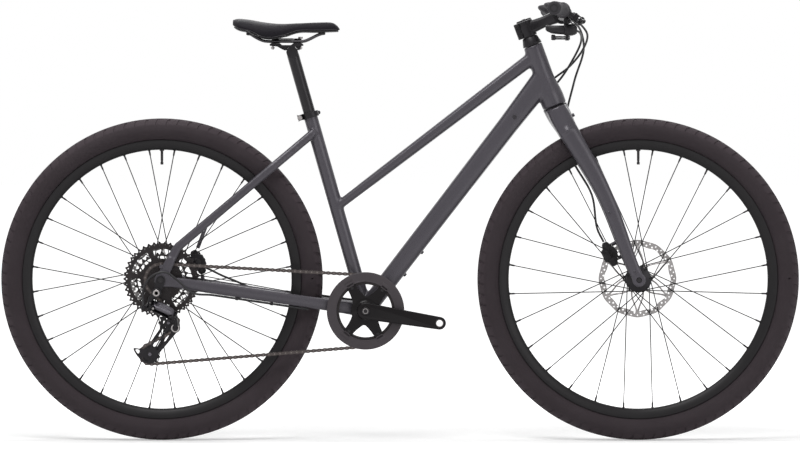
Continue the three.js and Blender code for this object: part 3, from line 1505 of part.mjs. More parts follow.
// Grips with a wing for the palm behind the bar.
const wingShares = [
  [0.1, 0.9, 0.85],
  [0.62, 0.84, 0.6],
  [1, 0.55, 0.25],
];
function gripShape(side) {
  const start = barPoint(side * GRIP_START);
  const endY = side * (BAR_HALF_WIDTH + GRIP_END);
  const flange = barSleeve(side * GRIP_START, side * (GRIP_START + 2 * GRIP_END), GRIP_RADIUS * 1.2);
  const sleeve = barSleeve(side * GRIP_START, endY, GRIP_RADIUS);
  const wingRoot = barPoint(side * (BAR_HALF_WIDTH - GRIP_WING_LENGTH / 2));
  const reach = V(-Math.cos(degrees(GRIP_WING_RISE)), 0, Math.sin(degrees(GRIP_WING_RISE)));
  const wing = loft(
    wingShares.map(([out, wideShare, highShare]) => ({
      at: sum(wingRoot, reach, (GRIP_RADIUS + GRIP_WING) * out),
      high: 2 * GRIP_RADIUS * highShare,
      wide: GRIP_WING_LENGTH * wideShare,
    })),
    oval(3),
  );
  const bore = barSleeve(start.y - side * OVERRUN, side * (BAR_HALF_WIDTH + GAP), BAR_RADIUS + GAP);
  return cut(join(sleeve, flange, wing), bore);
}
add(root, "left_grip", gripShape(1), rubber);
add(root, "right_grip", gripShape(-1), rubber);

// Brake levers: a clamp and a reservoir on the bar, and a blade on a pin between two lugs.
const leverDirection = V(Math.cos(degrees(LEVER_DROP_ANGLE)), 0, Math.sin(degrees(LEVER_DROP_ANGLE)));
const leverNormal = V(-leverDirection.z, 0, leverDirection.x);
const leverAt = (side, y, reach) => sum(barPoint(side * LEVER_CLAMP_AT), leverDirection, reach).setY(side * y);
const RESERVOIR_OUTER_END = LEVER_CLAMP_AT - CLAMP_WIDTH * 0.7;
const RESERVOIR_INNER_END = RESERVOIR_OUTER_END - RESERVOIR_LENGTH;
const RESERVOIR_REACH = LEVER_REACH - 1.8 * RESERVOIR_RADIUS;
const PIVOT_AT = RESERVOIR_OUTER_END - RESERVOIR_RADIUS;
const lugOffset = LEVER_HIGH / 2 + GAP + LUG_THICKNESS / 2;
function clampRing(y) {
  const [from, to] = [y - CLAMP_WIDTH / 2, y + CLAMP_WIDTH / 2];
  return barSleeve(from, to, BAR_RADIUS + GAP + CLAMP_WALL);
}
const clampBore = (y) => barSleeve(y - CLAMP_WIDTH, y + CLAMP_WIDTH, BAR_RADIUS + GAP);
function brakeMount(side) {
  const pivot = leverAt(side, PIVOT_AT, LEVER_REACH);
  const neck = leverAt(side, LEVER_CLAMP_AT - CLAMP_WIDTH / 4, RESERVOIR_REACH / 2);
  const lugs = [-lugOffset, lugOffset].map((n) =>
    block(
      sum(leverAt(side, PIVOT_AT, (LEVER_REACH + RESERVOIR_REACH) / 2), leverNormal, n),
      leverDirection,
      LEFT,
      LEVER_REACH - RESERVOIR_REACH + RESERVOIR_RADIUS,
      1.4 * RESERVOIR_RADIUS,
      LUG_THICKNESS,
    ),
  );
  return cut(
    join(
      clampRing(side * LEVER_CLAMP_AT),
      block(neck, leverDirection, LEFT, RESERVOIR_REACH, CLAMP_WIDTH * 1.5, 1.4 * RESERVOIR_RADIUS),
      rod(
        leverAt(side, RESERVOIR_INNER_END, RESERVOIR_REACH),
        leverAt(side, RESERVOIR_OUTER_END, RESERVOIR_REACH),
        RESERVOIR_RADIUS,
        RESERVOIR_RADIUS,
        TUBE_SIDES,
      ),
      ...lugs,
      rod(
        sum(pivot, leverNormal, -lugOffset),
        sum(pivot, leverNormal, lugOffset),
        LINK_PIN_RADIUS,
        LINK_PIN_RADIUS,
        SMALL_SIDES,
      ),
    ),
    clampBore(side * LEVER_CLAMP_AT),
  );
}
function leverShape(side) {
  const pivot = leverAt(side, PIVOT_AT, LEVER_REACH);
  const tip = leverAt(side, PIVOT_AT + LEVER_LENGTH, LEVER_REACH + LEVER_THICK / 2);
  const run = sum(tip, pivot, -1);
  const middle = sum(tip, pivot).multiplyScalar(0.5);
  const pin = (radius, half) =>
    rod(sum(pivot, leverNormal, -half), sum(pivot, leverNormal, half), radius, radius, SMALL_SIDES);
  return cut(
    join(
      pin(LEVER_THICK, LEVER_HIGH / 2),
      block(middle, run, leverDirection, run.length(), LEVER_THICK, LEVER_HIGH),
      rod(
        sum(tip, leverNormal, -LEVER_HIGH / 2),
        sum(tip, leverNormal, LEVER_HIGH / 2),
        LEVER_THICK * 0.7,
        LEVER_THICK * 0.7,
        SMALL_SIDES,
      ),
    ),
    pin(LINK_PIN_RADIUS + GAP, LEVER_HIGH),
  );
}
[
  ["left", 1],
  ["right", -1],
].forEach(([name, side]) => {
  add(root, `${name}_brake_mount`, brakeMount(side), blackAlloy);
  add(root, `${name}_brake_lever`, leverShape(side), blackAlloy);
});

// Shifter: a pod under the bar, with two thumb levers on one pin below it.
const shifterBar = barPoint(-SHIFTER_CLAMP_AT);
const podAt = V(shifterBar.x + POD_DEEP / 2, -SHIFTER_CLAMP_AT, shifterBar.z - POD_BELOW_BAR);
const podNeck = sum(podAt, shifterBar).multiplyScalar(0.5).setX(shifterBar.x + CLAMP_WALL);
const shiftPin = V(podAt.x - POD_DEEP / 4, podAt.y, podAt.z - POD_HIGH / 2);
const below = (drop) => sum(shiftPin, UP, -drop);
const thumbDrops = [GAP, 2 * GAP + THUMB_THICKNESS];
const pinDrop = 2 * GAP + 2 * THUMB_THICKNESS;
add(
  root,
  "shifter_pod",
  cut(
    join(
      clampRing(-SHIFTER_CLAMP_AT),
      block(podNeck, UP, LEFT, POD_BELOW_BAR, CLAMP_WIDTH, POD_DEEP / 4),
      loft(
        [
          { at: sum(podAt, V(-POD_DEEP / 2, 0, 0)), high: POD_HIGH, wide: POD_LENGTH * 0.8 },
          { at: podAt, high: POD_HIGH, wide: POD_LENGTH },
          { at: sum(podAt, V(POD_DEEP / 2, 0, 0)), high: POD_HIGH * 0.7, wide: POD_LENGTH * 0.8 },
        ],
        oval(3),
      ),
      rod(sum(shiftPin, UP, OVERRUN), below(pinDrop), SKEWER_RADIUS, SKEWER_RADIUS, SMALL_SIDES),
    ),
    clampBore(-SHIFTER_CLAMP_AT),
  ),
  blackPlastic,
);
[
  ["main_shift_lever", 0, THUMB_SPLAY],
  ["release_shift_lever", 1, -THUMB_SPLAY],
].forEach(([name, index, splay]) => {
  const hub = below(thumbDrops[index]);
  const hubEnd = below(thumbDrops[index] + THUMB_THICKNESS);
  const middle = below(thumbDrops[index] + THUMB_THICKNESS / 2);
  const run = V(-Math.cos(degrees(splay)), Math.sin(degrees(splay)), 0);
  const across = run.clone().cross(UP);
  const tip = sum(middle, run, THUMB_LENGTH);
  const pad = sum(tip, UP, THUMB_WIDTH / 2 - THUMB_THICKNESS / 2);
  add(
    root,
    name,
    cut(
      join(
        rod(hub, hubEnd, THUMB_WIDTH / 2, THUMB_WIDTH / 2, TUBE_SIDES),
        block(sum(middle, run, THUMB_LENGTH / 2), run, across, THUMB_LENGTH, THUMB_WIDTH * 0.6, THUMB_THICKNESS),
        block(pad, UP, across, THUMB_WIDTH, THUMB_WIDTH, THUMB_THICKNESS),
      ),
      rod(sum(hub, UP, GAP / 2), sum(hubEnd, UP, -OVERRUN), SKEWER_RADIUS + GAP, SKEWER_RADIUS + GAP, SMALL_SIDES),
    ),
    blackPlastic,
  );
});

// Hoses and housings outside the frame.
const reservoirEnd = (side) =>
  [GAP, OVERRUN].map((past) => leverAt(side, RESERVOIR_INNER_END - past, RESERVOIR_REACH));
const legHoseTurns = [10, 60, 90];
const alongLeg = legHoseTurns.map((turn, i) => {
  const [along, highShare, outward, thickShare] = legShares[i + 2];
  const air = HOSE_RADIUS * 2.6;
  const out = sum(legPoint(along, outward), LEFT, Math.cos(degrees(turn)) * ((LEG_THICK * thickShare) / 2 + air));
  return sum(out, rearward, Math.sin(degrees(turn)) * ((LEG_HIGH * highShare) / 2 + air));
});
const caliperTop = sum(frontCaliperAt, legUp, CALIPER_LENGTH / 2 + GAP);
add(
  root,
  "front_brake_hose",
  cord(
    [
      ...reservoirEnd(1),
      ...points(FRONT_HOSE_POINTS),
      ...alongLeg,
      sum(caliperTop, legUp, CALIPER_DEPTH).setY(frontPostY),
      caliperTop.clone().setY(frontPostY),
    ],
    HOSE_RADIUS,
    HOSE_STEPS,
    HOSE_SIDES,
  ),
  rubber,
);
const portMouths = portPoints.map((at) => [2 * OVERRUN, 2 * GAP].map((past) => sum(at, LEFT, past)));
add(
  root,
  "rear_brake_hose",
  cord([...reservoirEnd(-1), ...points(REAR_HOSE_POINTS), ...portMouths[1]], HOSE_RADIUS, HOSE_STEPS, HOSE_SIDES),
  rubber,
);
const podEnds = [GAP, 2 * OVERRUN].map((past) => V(podAt.x, podAt.y + POD_LENGTH / 2 + past, podAt.z));
add(
  root,
  "shift_housing_front",
  cord([...podEnds, ...points(SHIFT_HOUSING_POINTS), ...portMouths[0]], HOUSING_RADIUS, HOSE_STEPS, HOSE_SIDES),
  rubber,
);
const underStayShares = [0.28, 0.45, 0.62, 0.75];
add(
  root,
  "shift_housing_tail",
  cord(
    [
      ...underStayShares.map(underStay),
      ...points(TAIL_LOOP_POINTS),
      sum(cableStop, UP, CABLE_STOP_RADIUS + HOUSING_RADIUS),
    ],
    HOUSING_RADIUS,
    HOSE_STEPS,
    HOSE_SIDES,
  ),
  rubber,
);

// Seat collar with its cam lever on the left and a nut on the right.
const collarMiddle = SEAT_TUBE_LENGTH - COLLAR_HEIGHT / 2;
const collarAt = seatTube(collarMiddle);
const collarOuter = SEAT_TUBE_RADIUS + GAP + COLLAR_WALL;
const seatBehind = V(-SEAT_AXIS.z, 0, SEAT_AXIS.x);
const collarEnd = (half) => sum(collarAt, SEAT_AXIS, half * COLLAR_HEIGHT);
const skewerAt = sum(collarAt, seatBehind, collarOuter + COLLAR_EAR / 3);
const earHalf = COLLAR_EAR;
const ears = block(
  sum(collarAt, seatBehind, collarOuter),
  seatBehind,
  LEFT,
  1.2 * COLLAR_EAR,
  2 * earHalf,
  COLLAR_HEIGHT,
);
const skewer = (y0, y1, radius, sides) => crossBar(skewerAt, y0, y1, radius, sides);
const camAt = earHalf + QR_LEVER_WIDTH * 0.6 + GAP;
const camPin = (extra, radius) =>
  rod(
    sum(skewerAt, SEAT_AXIS, -QR_LEVER_WIDTH / 2 - extra).setY(camAt),
    sum(skewerAt, SEAT_AXIS, QR_LEVER_WIDTH / 2 + extra).setY(camAt),
    radius,
    radius,
    TUBE_SIDES,
  );
add(
  root,
  "seat_collar",
  join(
    cut(
      join(rod(collarEnd(-0.5), collarEnd(0.5), collarOuter, collarOuter, RING_SIDES), ears),
      rod(collarEnd(-1), collarEnd(1), SEAT_TUBE_RADIUS + GAP, SEAT_TUBE_RADIUS + GAP, RING_SIDES),
      block(sum(collarAt, seatBehind, collarOuter), seatBehind, LEFT, 2 * COLLAR_EAR, COLLAR_SLOT, 2 * COLLAR_HEIGHT),
    ),
    skewer(-earHalf - COLLAR_WALL, camAt, SKEWER_RADIUS, SMALL_SIDES),
    skewer(-earHalf - 2 * COLLAR_WALL, -earHalf, COLLAR_HEIGHT * 0.6, TUBE_SIDES),
    camPin(OVERRUN / 2, SKEWER_RADIUS),
  ),
  blackAlloy,
);
// The cam is forked, so the skewer passes between its cheeks while the lever swings open.
const camSlotHalf = SKEWER_RADIUS + 2 * GAP;
const leverTurn = (share) => {
  const angle = degrees(QR_LEVER_SWEEP * share);
  const forward = V(-seatBehind.x, 0, -seatBehind.z);
  const reach = QR_LEVER_LENGTH * share;
  return sum(sum(V(skewerAt.x, camAt, skewerAt.z), forward, reach), LEFT, QR_LEVER_THICKNESS * 2 * Math.sin(angle));
};
const leverSteps = [0.12, 0.3, 0.55, 0.8, 1].map((share) => leverTurn(share));
const leverBlade = leverSteps.slice(1).map((to, i) => {
  const run = sum(to, leverSteps[i], -1);
  const middle = sum(to, leverSteps[i]).multiplyScalar(0.5);
  return block(middle, run, SEAT_AXIS, run.length() * 1.15, QR_LEVER_WIDTH, QR_LEVER_THICKNESS);
});
add(
  root,
  "seat_clamp_lever",
  cut(
    join(camPin(0, QR_LEVER_WIDTH * 0.6), ...leverBlade),
    camPin(OVERRUN, SKEWER_RADIUS + GAP),
    block(
      sum(skewerAt, seatBehind, QR_LEVER_WIDTH - camSlotHalf).setY(camAt),
      seatBehind,
      SEAT_AXIS,
      2 * QR_LEVER_WIDTH,
      2 * camSlotHalf,
      2 * QR_LEVER_WIDTH,
    ),
  ),
  blackAlloy,
);

// Seatpost: a tube with a cross barrel at its top, open at its foot.
const postFoot = SEAT_TUBE_LENGTH - SEATPOST_INSERT;
const POST_HEAD = seatTube(SEATPOST_HEAD_UP);
add(
  root,
  "seatpost",
  cut(
    join(
      rod(seatTube(postFoot), POST_HEAD, SEATPOST_RADIUS, SEATPOST_RADIUS, RING_SIDES),
      crossBar(POST_HEAD, -POST_HEAD_WIDTH / 2, POST_HEAD_WIDTH / 2, POST_HEAD_RADIUS),
    ),
    rod(
      seatTube(postFoot - OVERRUN),
      seatTube(SEATPOST_HEAD_UP - 2 * POST_HEAD_RADIUS),
      SEATPOST_RADIUS - POST_WALL,
      SEATPOST_RADIUS - POST_WALL,
      TUBE_SIDES,
    ),
  ),
  blackAlloy,
);

// Saddle clamp: a cradle on the post head and a jaw over the rails, drawn together by two bolts.
const railHeight = POST_HEAD.z + RAIL_ABOVE_POST;
const clampMiddle = POST_HEAD.x - CLAMP_BEHIND_POST;
const railLow = railHeight - RAIL_RADIUS - GAP;
const railHigh = railHeight + RAIL_RADIUS + GAP;
const clampX = (share) => clampMiddle + (CRADLE_LENGTH / 2) * share;
const flatBlock = (x, low, high, length, width) =>
  block(V(x, 0, (low + high) / 2), V(1, 0, 0), LEFT, length, width, high - low);
const webWidth = RAIL_SPACING - 2 * RAIL_RADIUS - 2 * GAP;
const boltShares = [-0.82, 0.82];
const cradleBolts = boltShares.map((share) =>
  rod(
    V(clampX(share), 0, railLow - CRADLE_HEIGHT - OVERRUN),
    V(clampX(share), 0, railHigh),
    SKEWER_RADIUS,
    SKEWER_RADIUS,
    SMALL_SIDES,
  ),
);
add(
  root,
  "saddle_clamp",
  join(
    cut(
      join(
        flatBlock(clampMiddle, railLow - CRADLE_HEIGHT, railLow, CRADLE_LENGTH, CRADLE_WIDTH),
        flatBlock(clampMiddle, railLow, railHigh + JAW_HEIGHT, JAW_LENGTH, webWidth),
        flatBlock(clampMiddle, railHigh, railHigh + JAW_HEIGHT, JAW_LENGTH, CRADLE_WIDTH),
      ),
      crossBar(POST_HEAD, -CRADLE_WIDTH, CRADLE_WIDTH, POST_HEAD_RADIUS + GAP, RING_SIDES),
    ),
    ...cradleBolts,
  ),
  blackAlloy,
);

// Saddle: rails, a stiff base that holds them, and a formed cushion on the base.
const saddleTop = railHeight + SADDLE_ABOVE_RAIL;
const saddleRear = POST_HEAD.x - SADDLE_REACH_BACK;
// Rail points: [share of the run from the clamp, share of half the spacing, share of the rise]
const railShares = [
  [-1, 1.5, 1],
  [-0.771, 1.182, 0.343],
  [-0.614, 1.027, 0.057],
  [-0.506, 1, 0],
  [-0.048, 1, 0],
  [0.41, 1, 0],
  [0.506, 0.977, 0.057],
  [0.663, 0.841, 0.371],
  [0.843, 0.591, 0.8],
  [0.952, 0.341, 0.971],
  [0.994, 0, 1],
];
const railHalf = railShares.map(([run, side, rise]) => [
  clampMiddle + RAIL_RUN * run,
  (RAIL_SPACING / 2) * side,
  railHeight + RAIL_RISE * rise,
]);
const railLine = [...railHalf, ...railHalf.slice(0, -1).reverse().map(([x, y, z]) => [x, -y, z])];
const railShape = (radius) => cord(points(railLine), radius, RAIL_STEPS, SMALL_SIDES);
add(root, "saddle_rails", railShape(RAIL_RADIUS), steel);

// Saddle stations: [share of the length from the rear, half width share, top drop share, bottom drop share]
const saddleShares = [
  [0, 0.55, 0.1, 0.56],
  [0.05, 0.84, 0, 0.86],
  [0.16, 0.97, 0.08, 1.1],
  [0.3, 0.95, 0.3, 1.45],
  [0.45, 0.7, 0.42, 1.4],
  [0.61, 0.42, 0.36, 1.08],
  [0.78, 0.31, 0.32, 1.05],
  [0.93, 0.25, 0.32, 1],
  [1, 0.14, 0.6, 0.92],
];
const dome = (angle) => {
  const [across, above] = oval(2.4)(angle);
  return [across, Math.max(above, 0)];
};
const saddleStations = (inset, spans) =>
  saddleShares.map(([along, wideShare, topShare, lowShare]) => {
    const [low, high] = spans(saddleTop - SADDLE_THICKNESS * lowShare, saddleTop - SADDLE_THICKNESS * topShare);
    const at = V(saddleRear + SADDLE_LENGTH * along, 0, low);
    return { at, high: 2 * (high - low), wide: SADDLE_WIDTH * wideShare - 2 * inset };
  });
const cushionStations = saddleStations(0, (low, high) => [low, high]);
const baseStations = saddleStations(BASE_THICKNESS / 2, (low) => [low - BASE_DROP, low - BASE_DROP + BASE_THICKNESS]);
add(root, "saddle_cushion", loft(cushionStations, dome, 20), saddleCover);
add(
  root,
  "saddle_base",
  cut(loft(baseStations, dome, BORE_SIDES), railShape(RAIL_RADIUS + GAP)),
  blackPlastic,
);

export default root;
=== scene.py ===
"""Looks for a low-framed hybrid bicycle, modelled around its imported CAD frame.

Shapes are drawn in millimetres in the CAD frame, +X forward, +Y to the rider's left, +Z up.
They are turned to metres when a piece is finished.
"""

from math import atan2, copysign, cos, exp, hypot, pi, radians, sin, sqrt

import bmesh
import bpy
from mathutils import Matrix, Vector


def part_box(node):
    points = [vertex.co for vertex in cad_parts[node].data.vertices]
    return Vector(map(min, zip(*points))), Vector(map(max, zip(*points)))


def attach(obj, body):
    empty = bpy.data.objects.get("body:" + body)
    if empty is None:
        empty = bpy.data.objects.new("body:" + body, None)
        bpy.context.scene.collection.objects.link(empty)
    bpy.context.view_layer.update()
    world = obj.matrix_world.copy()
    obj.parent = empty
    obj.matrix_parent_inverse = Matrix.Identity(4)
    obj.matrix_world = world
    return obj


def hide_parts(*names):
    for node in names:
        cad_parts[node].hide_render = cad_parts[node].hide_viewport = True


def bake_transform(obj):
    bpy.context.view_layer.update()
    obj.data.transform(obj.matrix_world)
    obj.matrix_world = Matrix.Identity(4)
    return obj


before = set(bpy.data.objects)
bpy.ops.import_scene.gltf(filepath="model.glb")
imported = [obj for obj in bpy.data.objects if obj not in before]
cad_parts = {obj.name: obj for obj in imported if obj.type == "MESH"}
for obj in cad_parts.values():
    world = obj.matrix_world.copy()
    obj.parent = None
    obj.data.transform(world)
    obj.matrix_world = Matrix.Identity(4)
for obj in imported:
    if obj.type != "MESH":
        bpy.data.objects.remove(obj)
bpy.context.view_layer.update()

MM = 0.001
FORWARD = Vector((1, 0, 0))
LEFT = Vector((0, 1, 0))
UP = Vector((0, 0, 1))
scene = bpy.context.scene


# Camera and studio
PHOTO_WIDTH = 800
MM_PER_PIXEL = 2.276
CAMERA_DISTANCE = 14.0
CAMERA_ELEVATION = radians(1.5)
VIEW_CENTRE = Vector((-0.0002, 0, 0.4837))

camera_data = bpy.data.cameras.new("camera")
camera = bpy.data.objects.new("camera", camera_data)
scene.collection.objects.link(camera)
camera_data.sensor_width = 36
camera_data.lens = 36 * CAMERA_DISTANCE / (PHOTO_WIDTH * MM_PER_PIXEL * MM)
camera_data.clip_end = 100
camera.location = VIEW_CENTRE + Vector((0, -cos(CAMERA_ELEVATION), sin(CAMERA_ELEVATION))) * CAMERA_DISTANCE
camera.rotation_euler = (pi / 2 - CAMERA_ELEVATION, 0, 0)
scene.camera = camera


def lamp(name, size, power, at, aim):
    """An area lamp that looks at a point."""
    data = bpy.data.lights.new(name, "AREA")
    data.shape = "RECTANGLE"
    data.size, data.size_y = size
    data.energy = power
    obj = bpy.data.objects.new(name, data)
    scene.collection.objects.link(obj)
    obj.location = at
    obj.rotation_euler = (Vector(aim) - Vector(at)).to_track_quat("-Z", "Y").to_euler()


lamp("key_lamp", (2.4, 1.6), 100, (-1.0, -2.2, 3.8), (0, 0, 0.45))
lamp("front_lamp", (2.0, 2.0), 26, (2.6, -3.0, 1.5), (0, 0, 0.5))
lamp("top_lamp", (3.4, 0.8), 48, (0, 0.1, 3.6), (0, 0, 0.4))
lamp("back_lamp", (3.0, 2.0), 34, (0.6, 3.2, 2.4), (0, 0, 0.5))


# Materials
def new_material(name):
    """A material with an empty tree that ends in a Principled BSDF."""
    material = bpy.data.materials.new(name)
    material.use_nodes = True
    tree = material.node_tree
    return material, tree, tree.nodes["Principled BSDF"]


def new_group(name, inputs, outputs):
    """A shader node group with float, colour or vector sockets."""
    group = bpy.data.node_groups.new(name, "ShaderNodeTree")
    for socket, kind, value in inputs:
        made = group.interface.new_socket(name=socket, in_out="INPUT", socket_type="NodeSocket" + kind)
        if value is not None:
            made.default_value = value
    for socket, kind in outputs:
        group.interface.new_socket(name=socket, in_out="OUTPUT", socket_type="NodeSocket" + kind)
    return group, group.nodes.new("NodeGroupInput"), group.nodes.new("NodeGroupOutput")


def node(tree, kind, **values):
    """A node with some properties and inputs set."""
    made = tree.nodes.new("ShaderNode" + kind)
    for key, value in values.items():
        if hasattr(made, key):
            setattr(made, key, value)
        else:
            made.inputs[key.replace("_", " ")].default_value = value
    return made


def wire(tree, *links):
    """Joins sockets: each link names a node and its output, then a node and its input."""
    for source, output, target, entry in links:
        tree.links.new(source.outputs[output], target.inputs[entry])


def build_mottle():
    """Fine grain and broad cloudiness on a base colour: gives colour, roughness and height."""
    group, given, out = new_group(
        "mottle",
        [
            ("Color", "Color", (0.1, 0.1, 0.1, 1)),
            ("Tint", "Color", (0.1, 0.1, 0.1, 1)),
            ("Roughness", "Float", 0.5),
            ("Spread", "Float", 0.1),
            ("Grain Scale", "Float", 900.0),
            ("Cloud Scale", "Float", 14.0),
        ],
        [("Color", "Color"), ("Roughness", "Float"), ("Height", "Float")],
    )
    place = node(group, "TexCoord")
    cloud = node(group, "TexNoise", Detail=3.0)
    grain = node(group, "TexNoise", Detail=2.0)
    mix = node(group, "Mix", data_type="RGBA")
    shift = node(group, "MapRange", To_Min=-1.0, To_Max=1.0)
    scaled = node(group, "Math", operation="MULTIPLY")
    added = node(group, "Math", operation="ADD")
    wire(
        group,
        (place, "Object", cloud, "Vector"),
        (given, "Cloud Scale", cloud, "Scale"),
        (place, "Object", grain, "Vector"),
        (given, "Grain Scale", grain, "Scale"),
        (cloud, "Fac", mix, "Factor"),
        (given, "Color", mix, "A"),
        (given, "Tint", mix, "B"),
        (grain, "Fac", shift, "Value"),
        (shift, "Result", scaled, 0),
        (given, "Spread", scaled, 1),
        (given, "Roughness", added, 0),
        (scaled, "Value", added, 1),
        (mix, "Result", out, "Color"),
        (added, "Value", out, "Roughness"),
        (grain, "Fac", out, "Height"),
    )
    return group


MOTTLE = build_mottle()


def mottled(tree, *values):
    """The mottle group, given colour, tint, roughness, its spread, and the scales of grain and clouds."""
    group = tree.nodes.new("ShaderNodeGroup")
    group.node_tree = MOTTLE
    for socket, value in zip(group.inputs, values):
        socket.default_value = (*value, 1) if socket.type == "RGBA" else value
    return group


def surface(name, color, tint, roughness, spread, grain, cloud, bump=0.0, metallic=0.0, shine=0.5):
    """A material whose colour, roughness and fine bump come from the mottle group."""
    material, tree, shader = new_material(name)
    mottle = mottled(tree, color, tint, roughness, spread, grain, cloud)
    wire(tree, (mottle, "Color", shader, "Base Color"), (mottle, "Roughness", shader, "Roughness"))
    shader.inputs["Metallic"].default_value = metallic
    shader.inputs["Specular IOR Level"].default_value = shine
    if bump:
        raised = node(tree, "Bump", Strength=bump, Distance=0.0006)
        wire(tree, (mottle, "Height", raised, "Height"), (raised, "Normal", shader, "Normal"))
    return material


# The numbers of a finish stand in the order of the function's own values.
PAINT = surface(
    "satin_grey_paint", (0.060, 0.0545, 0.066), (0.070, 0.064, 0.076), 0.28, 0.05, 1500, 9, 0.012, 0.15,
    0.32,
)
ALLOY = surface(
    "black_anodised_alloy", (0.0095, 0.0085, 0.0100), (0.016, 0.0145, 0.017), 0.34, 0.08, 1500, 30, 0.02,
    0.30, 0.26,
)
RIM_BLACK = surface(
    "black_rim", (0.0085, 0.0075, 0.0085), (0.013, 0.012, 0.013), 0.40, 0.06, 1200, 22, 0.02, 0.2, 0.22
)
# Satin grey alloy of the outer derailleur link and the pulley bolts. Its base colour is partly the part's
# real grey and partly a painted highlight: it is lifted lighter to stand in for the light stripe on the
# outer link.
GREY_ALLOY_PAINTED_HIGHLIGHT = surface(
    "satin_grey_alloy_painted_highlight", (0.085, 0.080, 0.093), (0.120, 0.113, 0.130), 0.28, 0.08, 1800, 40, 0.02, 0.5, 0.4
)
PLASTIC = surface(
    "black_moulded_plastic", (0.010, 0.009, 0.0105), (0.016, 0.015, 0.017), 0.48, 0.10, 2200, 35, 0.15, 0.0,
    0.25,
)
RUBBER = surface(
    "grip_rubber", (0.030, 0.0275, 0.032), (0.042, 0.039, 0.044), 0.72, 0.10, 1400, 45, 0.35, 0.0, 0.25
)
HOSE_BLACK = surface(
    "hose_jacket", (0.010, 0.0095, 0.011), (0.016, 0.015, 0.017), 0.42, 0.08, 900, 30, 0.05, 0.0, 0.35
)
BRIGHT = surface("bright_steel", (0.26, 0.245, 0.245), (0.36, 0.34, 0.335), 0.24, 0.08, 1600, 60, 0.04, 1.0)
BOLT_STEEL = surface(
    "black_bolt_steel", (0.018, 0.0165, 0.018), (0.034, 0.032, 0.034), 0.30, 0.08, 1600, 60, 0.04, 0.6, 0.3
)
CHAIN_STEEL = surface(
    "oiled_chain_steel", (0.046, 0.039, 0.038), (0.086, 0.074, 0.071), 0.34, 0.12, 700, 80, 0.05, 0.85, 0.3
)
ROLLER_STEEL = surface(
    "chain_roller_steel", (0.11, 0.095, 0.09), (0.17, 0.15, 0.145), 0.30, 0.10, 700, 80, 0.03, 1.0
)
COG_STEEL = surface(
    "dark_cog_steel", (0.015, 0.0125, 0.013), (0.030, 0.026, 0.027), 0.34, 0.10, 1100, 50, 0.04, 0.6, 0.3
)
SPOKE_STEEL = surface(
    "black_spoke_steel", (0.007, 0.0065, 0.007), (0.011, 0.010, 0.011), 0.40, 0.06, 900, 40, 0.0, 0.2, 0.2
)


# Shape helpers
def loop_edges(ring):
    """Edges of a closed ring of vertices."""
    found = []
    for i, vert in enumerate(ring):
        other = ring[(i + 1) % len(ring)]
        found += [e for e in vert.link_edges if e.other_vert(vert) is other]
    return found


def bent(value, power):
    return copysign(abs(value) ** (2 / power), value)


def runs_along(points):
    """The heading of a line of points at each of them."""
    last = len(points) - 1
    return [(points[min(i + 1, last)] - points[max(i - 1, 0)]).normalized() for i in range(last + 1)]


def frames_along(points):
    """Side and up directions along a line of points, turned as little as possible from one to the next."""
    runs = runs_along(points)
    side = LEFT - runs[0] * LEFT.dot(runs[0])
    if side.length < 0.2:
        side = FORWARD - runs[0] * FORWARD.dot(runs[0])
    side.normalize()
    frames = []
    for run in runs:
        side = (side - run * side.dot(run)).normalized()
        frames.append((side, run.cross(side)))
    return frames


def sweep(bm, points, wides, highs, sides, power=2.0, frames=None):
    """A bar through points, wide along its side direction and high along its up direction."""
    frames = frames or frames_along(points)
    previous = None
    last = len(points) - 1
    for i, point in enumerate(points):
        ring = bmesh.ops.create_circle(bm, cap_ends=i in (0, last), radius=1, segments=sides)["verts"]
        side, up = frames[i]
        for vert in ring:
            across, above = bent(vert.co.x, power), bent(vert.co.y, power)
            vert.co = point + side * (across * wides[i] / 2) + up * (above * highs[i] / 2)
        edges = loop_edges(ring)
        if previous:
            bmesh.ops.bridge_loops(bm, edges=previous + edges)
        previous = edges
    return bm


def loft(bm, start, run, across, above, stations, sides, power, shifts=None):
    """A bar along a straight run, from stations of distance, width across and height, some shifted aside."""
    shifts = shifts or [Vector()] * len(stations)
    points = [start + run * reach + shift for (reach, _, _), shift in zip(stations, shifts)]
    wides = [wide for _, wide, _ in stations]
    highs = [high for _, _, high in stations]
    return sweep(bm, points, wides, highs, sides, power, [(across, above)] * len(stations))


def tube(bm, points, radius, sides):
    """A round tube along points, with one radius or a list of them."""
    radii = radius if isinstance(radius, list) else [radius] * len(points)
    return sweep(bm, points, [2 * r for r in radii], [2 * r for r in radii], sides)


def smooth_path(points, per_span):
    """Points on a centripetal Catmull-Rom curve, with its ends reflected."""
    points = [Vector(p) for p in points]
    line = [2 * points[0] - points[1], *points, 2 * points[-1] - points[-2]]
    found = []
    for i in range(len(points) - 1):
        p0, p1, p2, p3 = line[i : i + 4]
        t1 = max((p1 - p0).length, 1e-6) ** 0.5
        t2 = t1 + max((p2 - p1).length, 1e-6) ** 0.5
        t3 = t2 + max((p3 - p2).length, 1e-6) ** 0.5
        for k in range(per_span):
            t = t1 + (t2 - t1) * k / per_span
            a1 = p0 * ((t1 - t) / t1) + p1 * (t / t1)
            a2 = p1 * ((t2 - t) / (t2 - t1)) + p2 * ((t - t1) / (t2 - t1))
            a3 = p2 * ((t3 - t) / (t3 - t2)) + p3 * ((t - t2) / (t3 - t2))
            b1 = a1 * ((t2 - t) / t2) + a2 * (t / t2)
            b2 = a2 * ((t3 - t) / (t3 - t1)) + a3 * ((t - t1) / (t3 - t1))
            found.append(b1 * ((t2 - t) / (t2 - t1)) + b2 * ((t - t1) / (t2 - t1)))
    return [*found, points[-1]]


def blended(table, share):
    """A row of a table of shares at a place between its rows, eased between them."""
    for low, high in zip(table, table[1:]):
        if share <= high[0]:
            mix = (share - low[0]) / (high[0] - low[0])
            return [a + (b - a) * mix for a, b in zip(low[1:], high[1:])]
    return list(table[-1][1:])


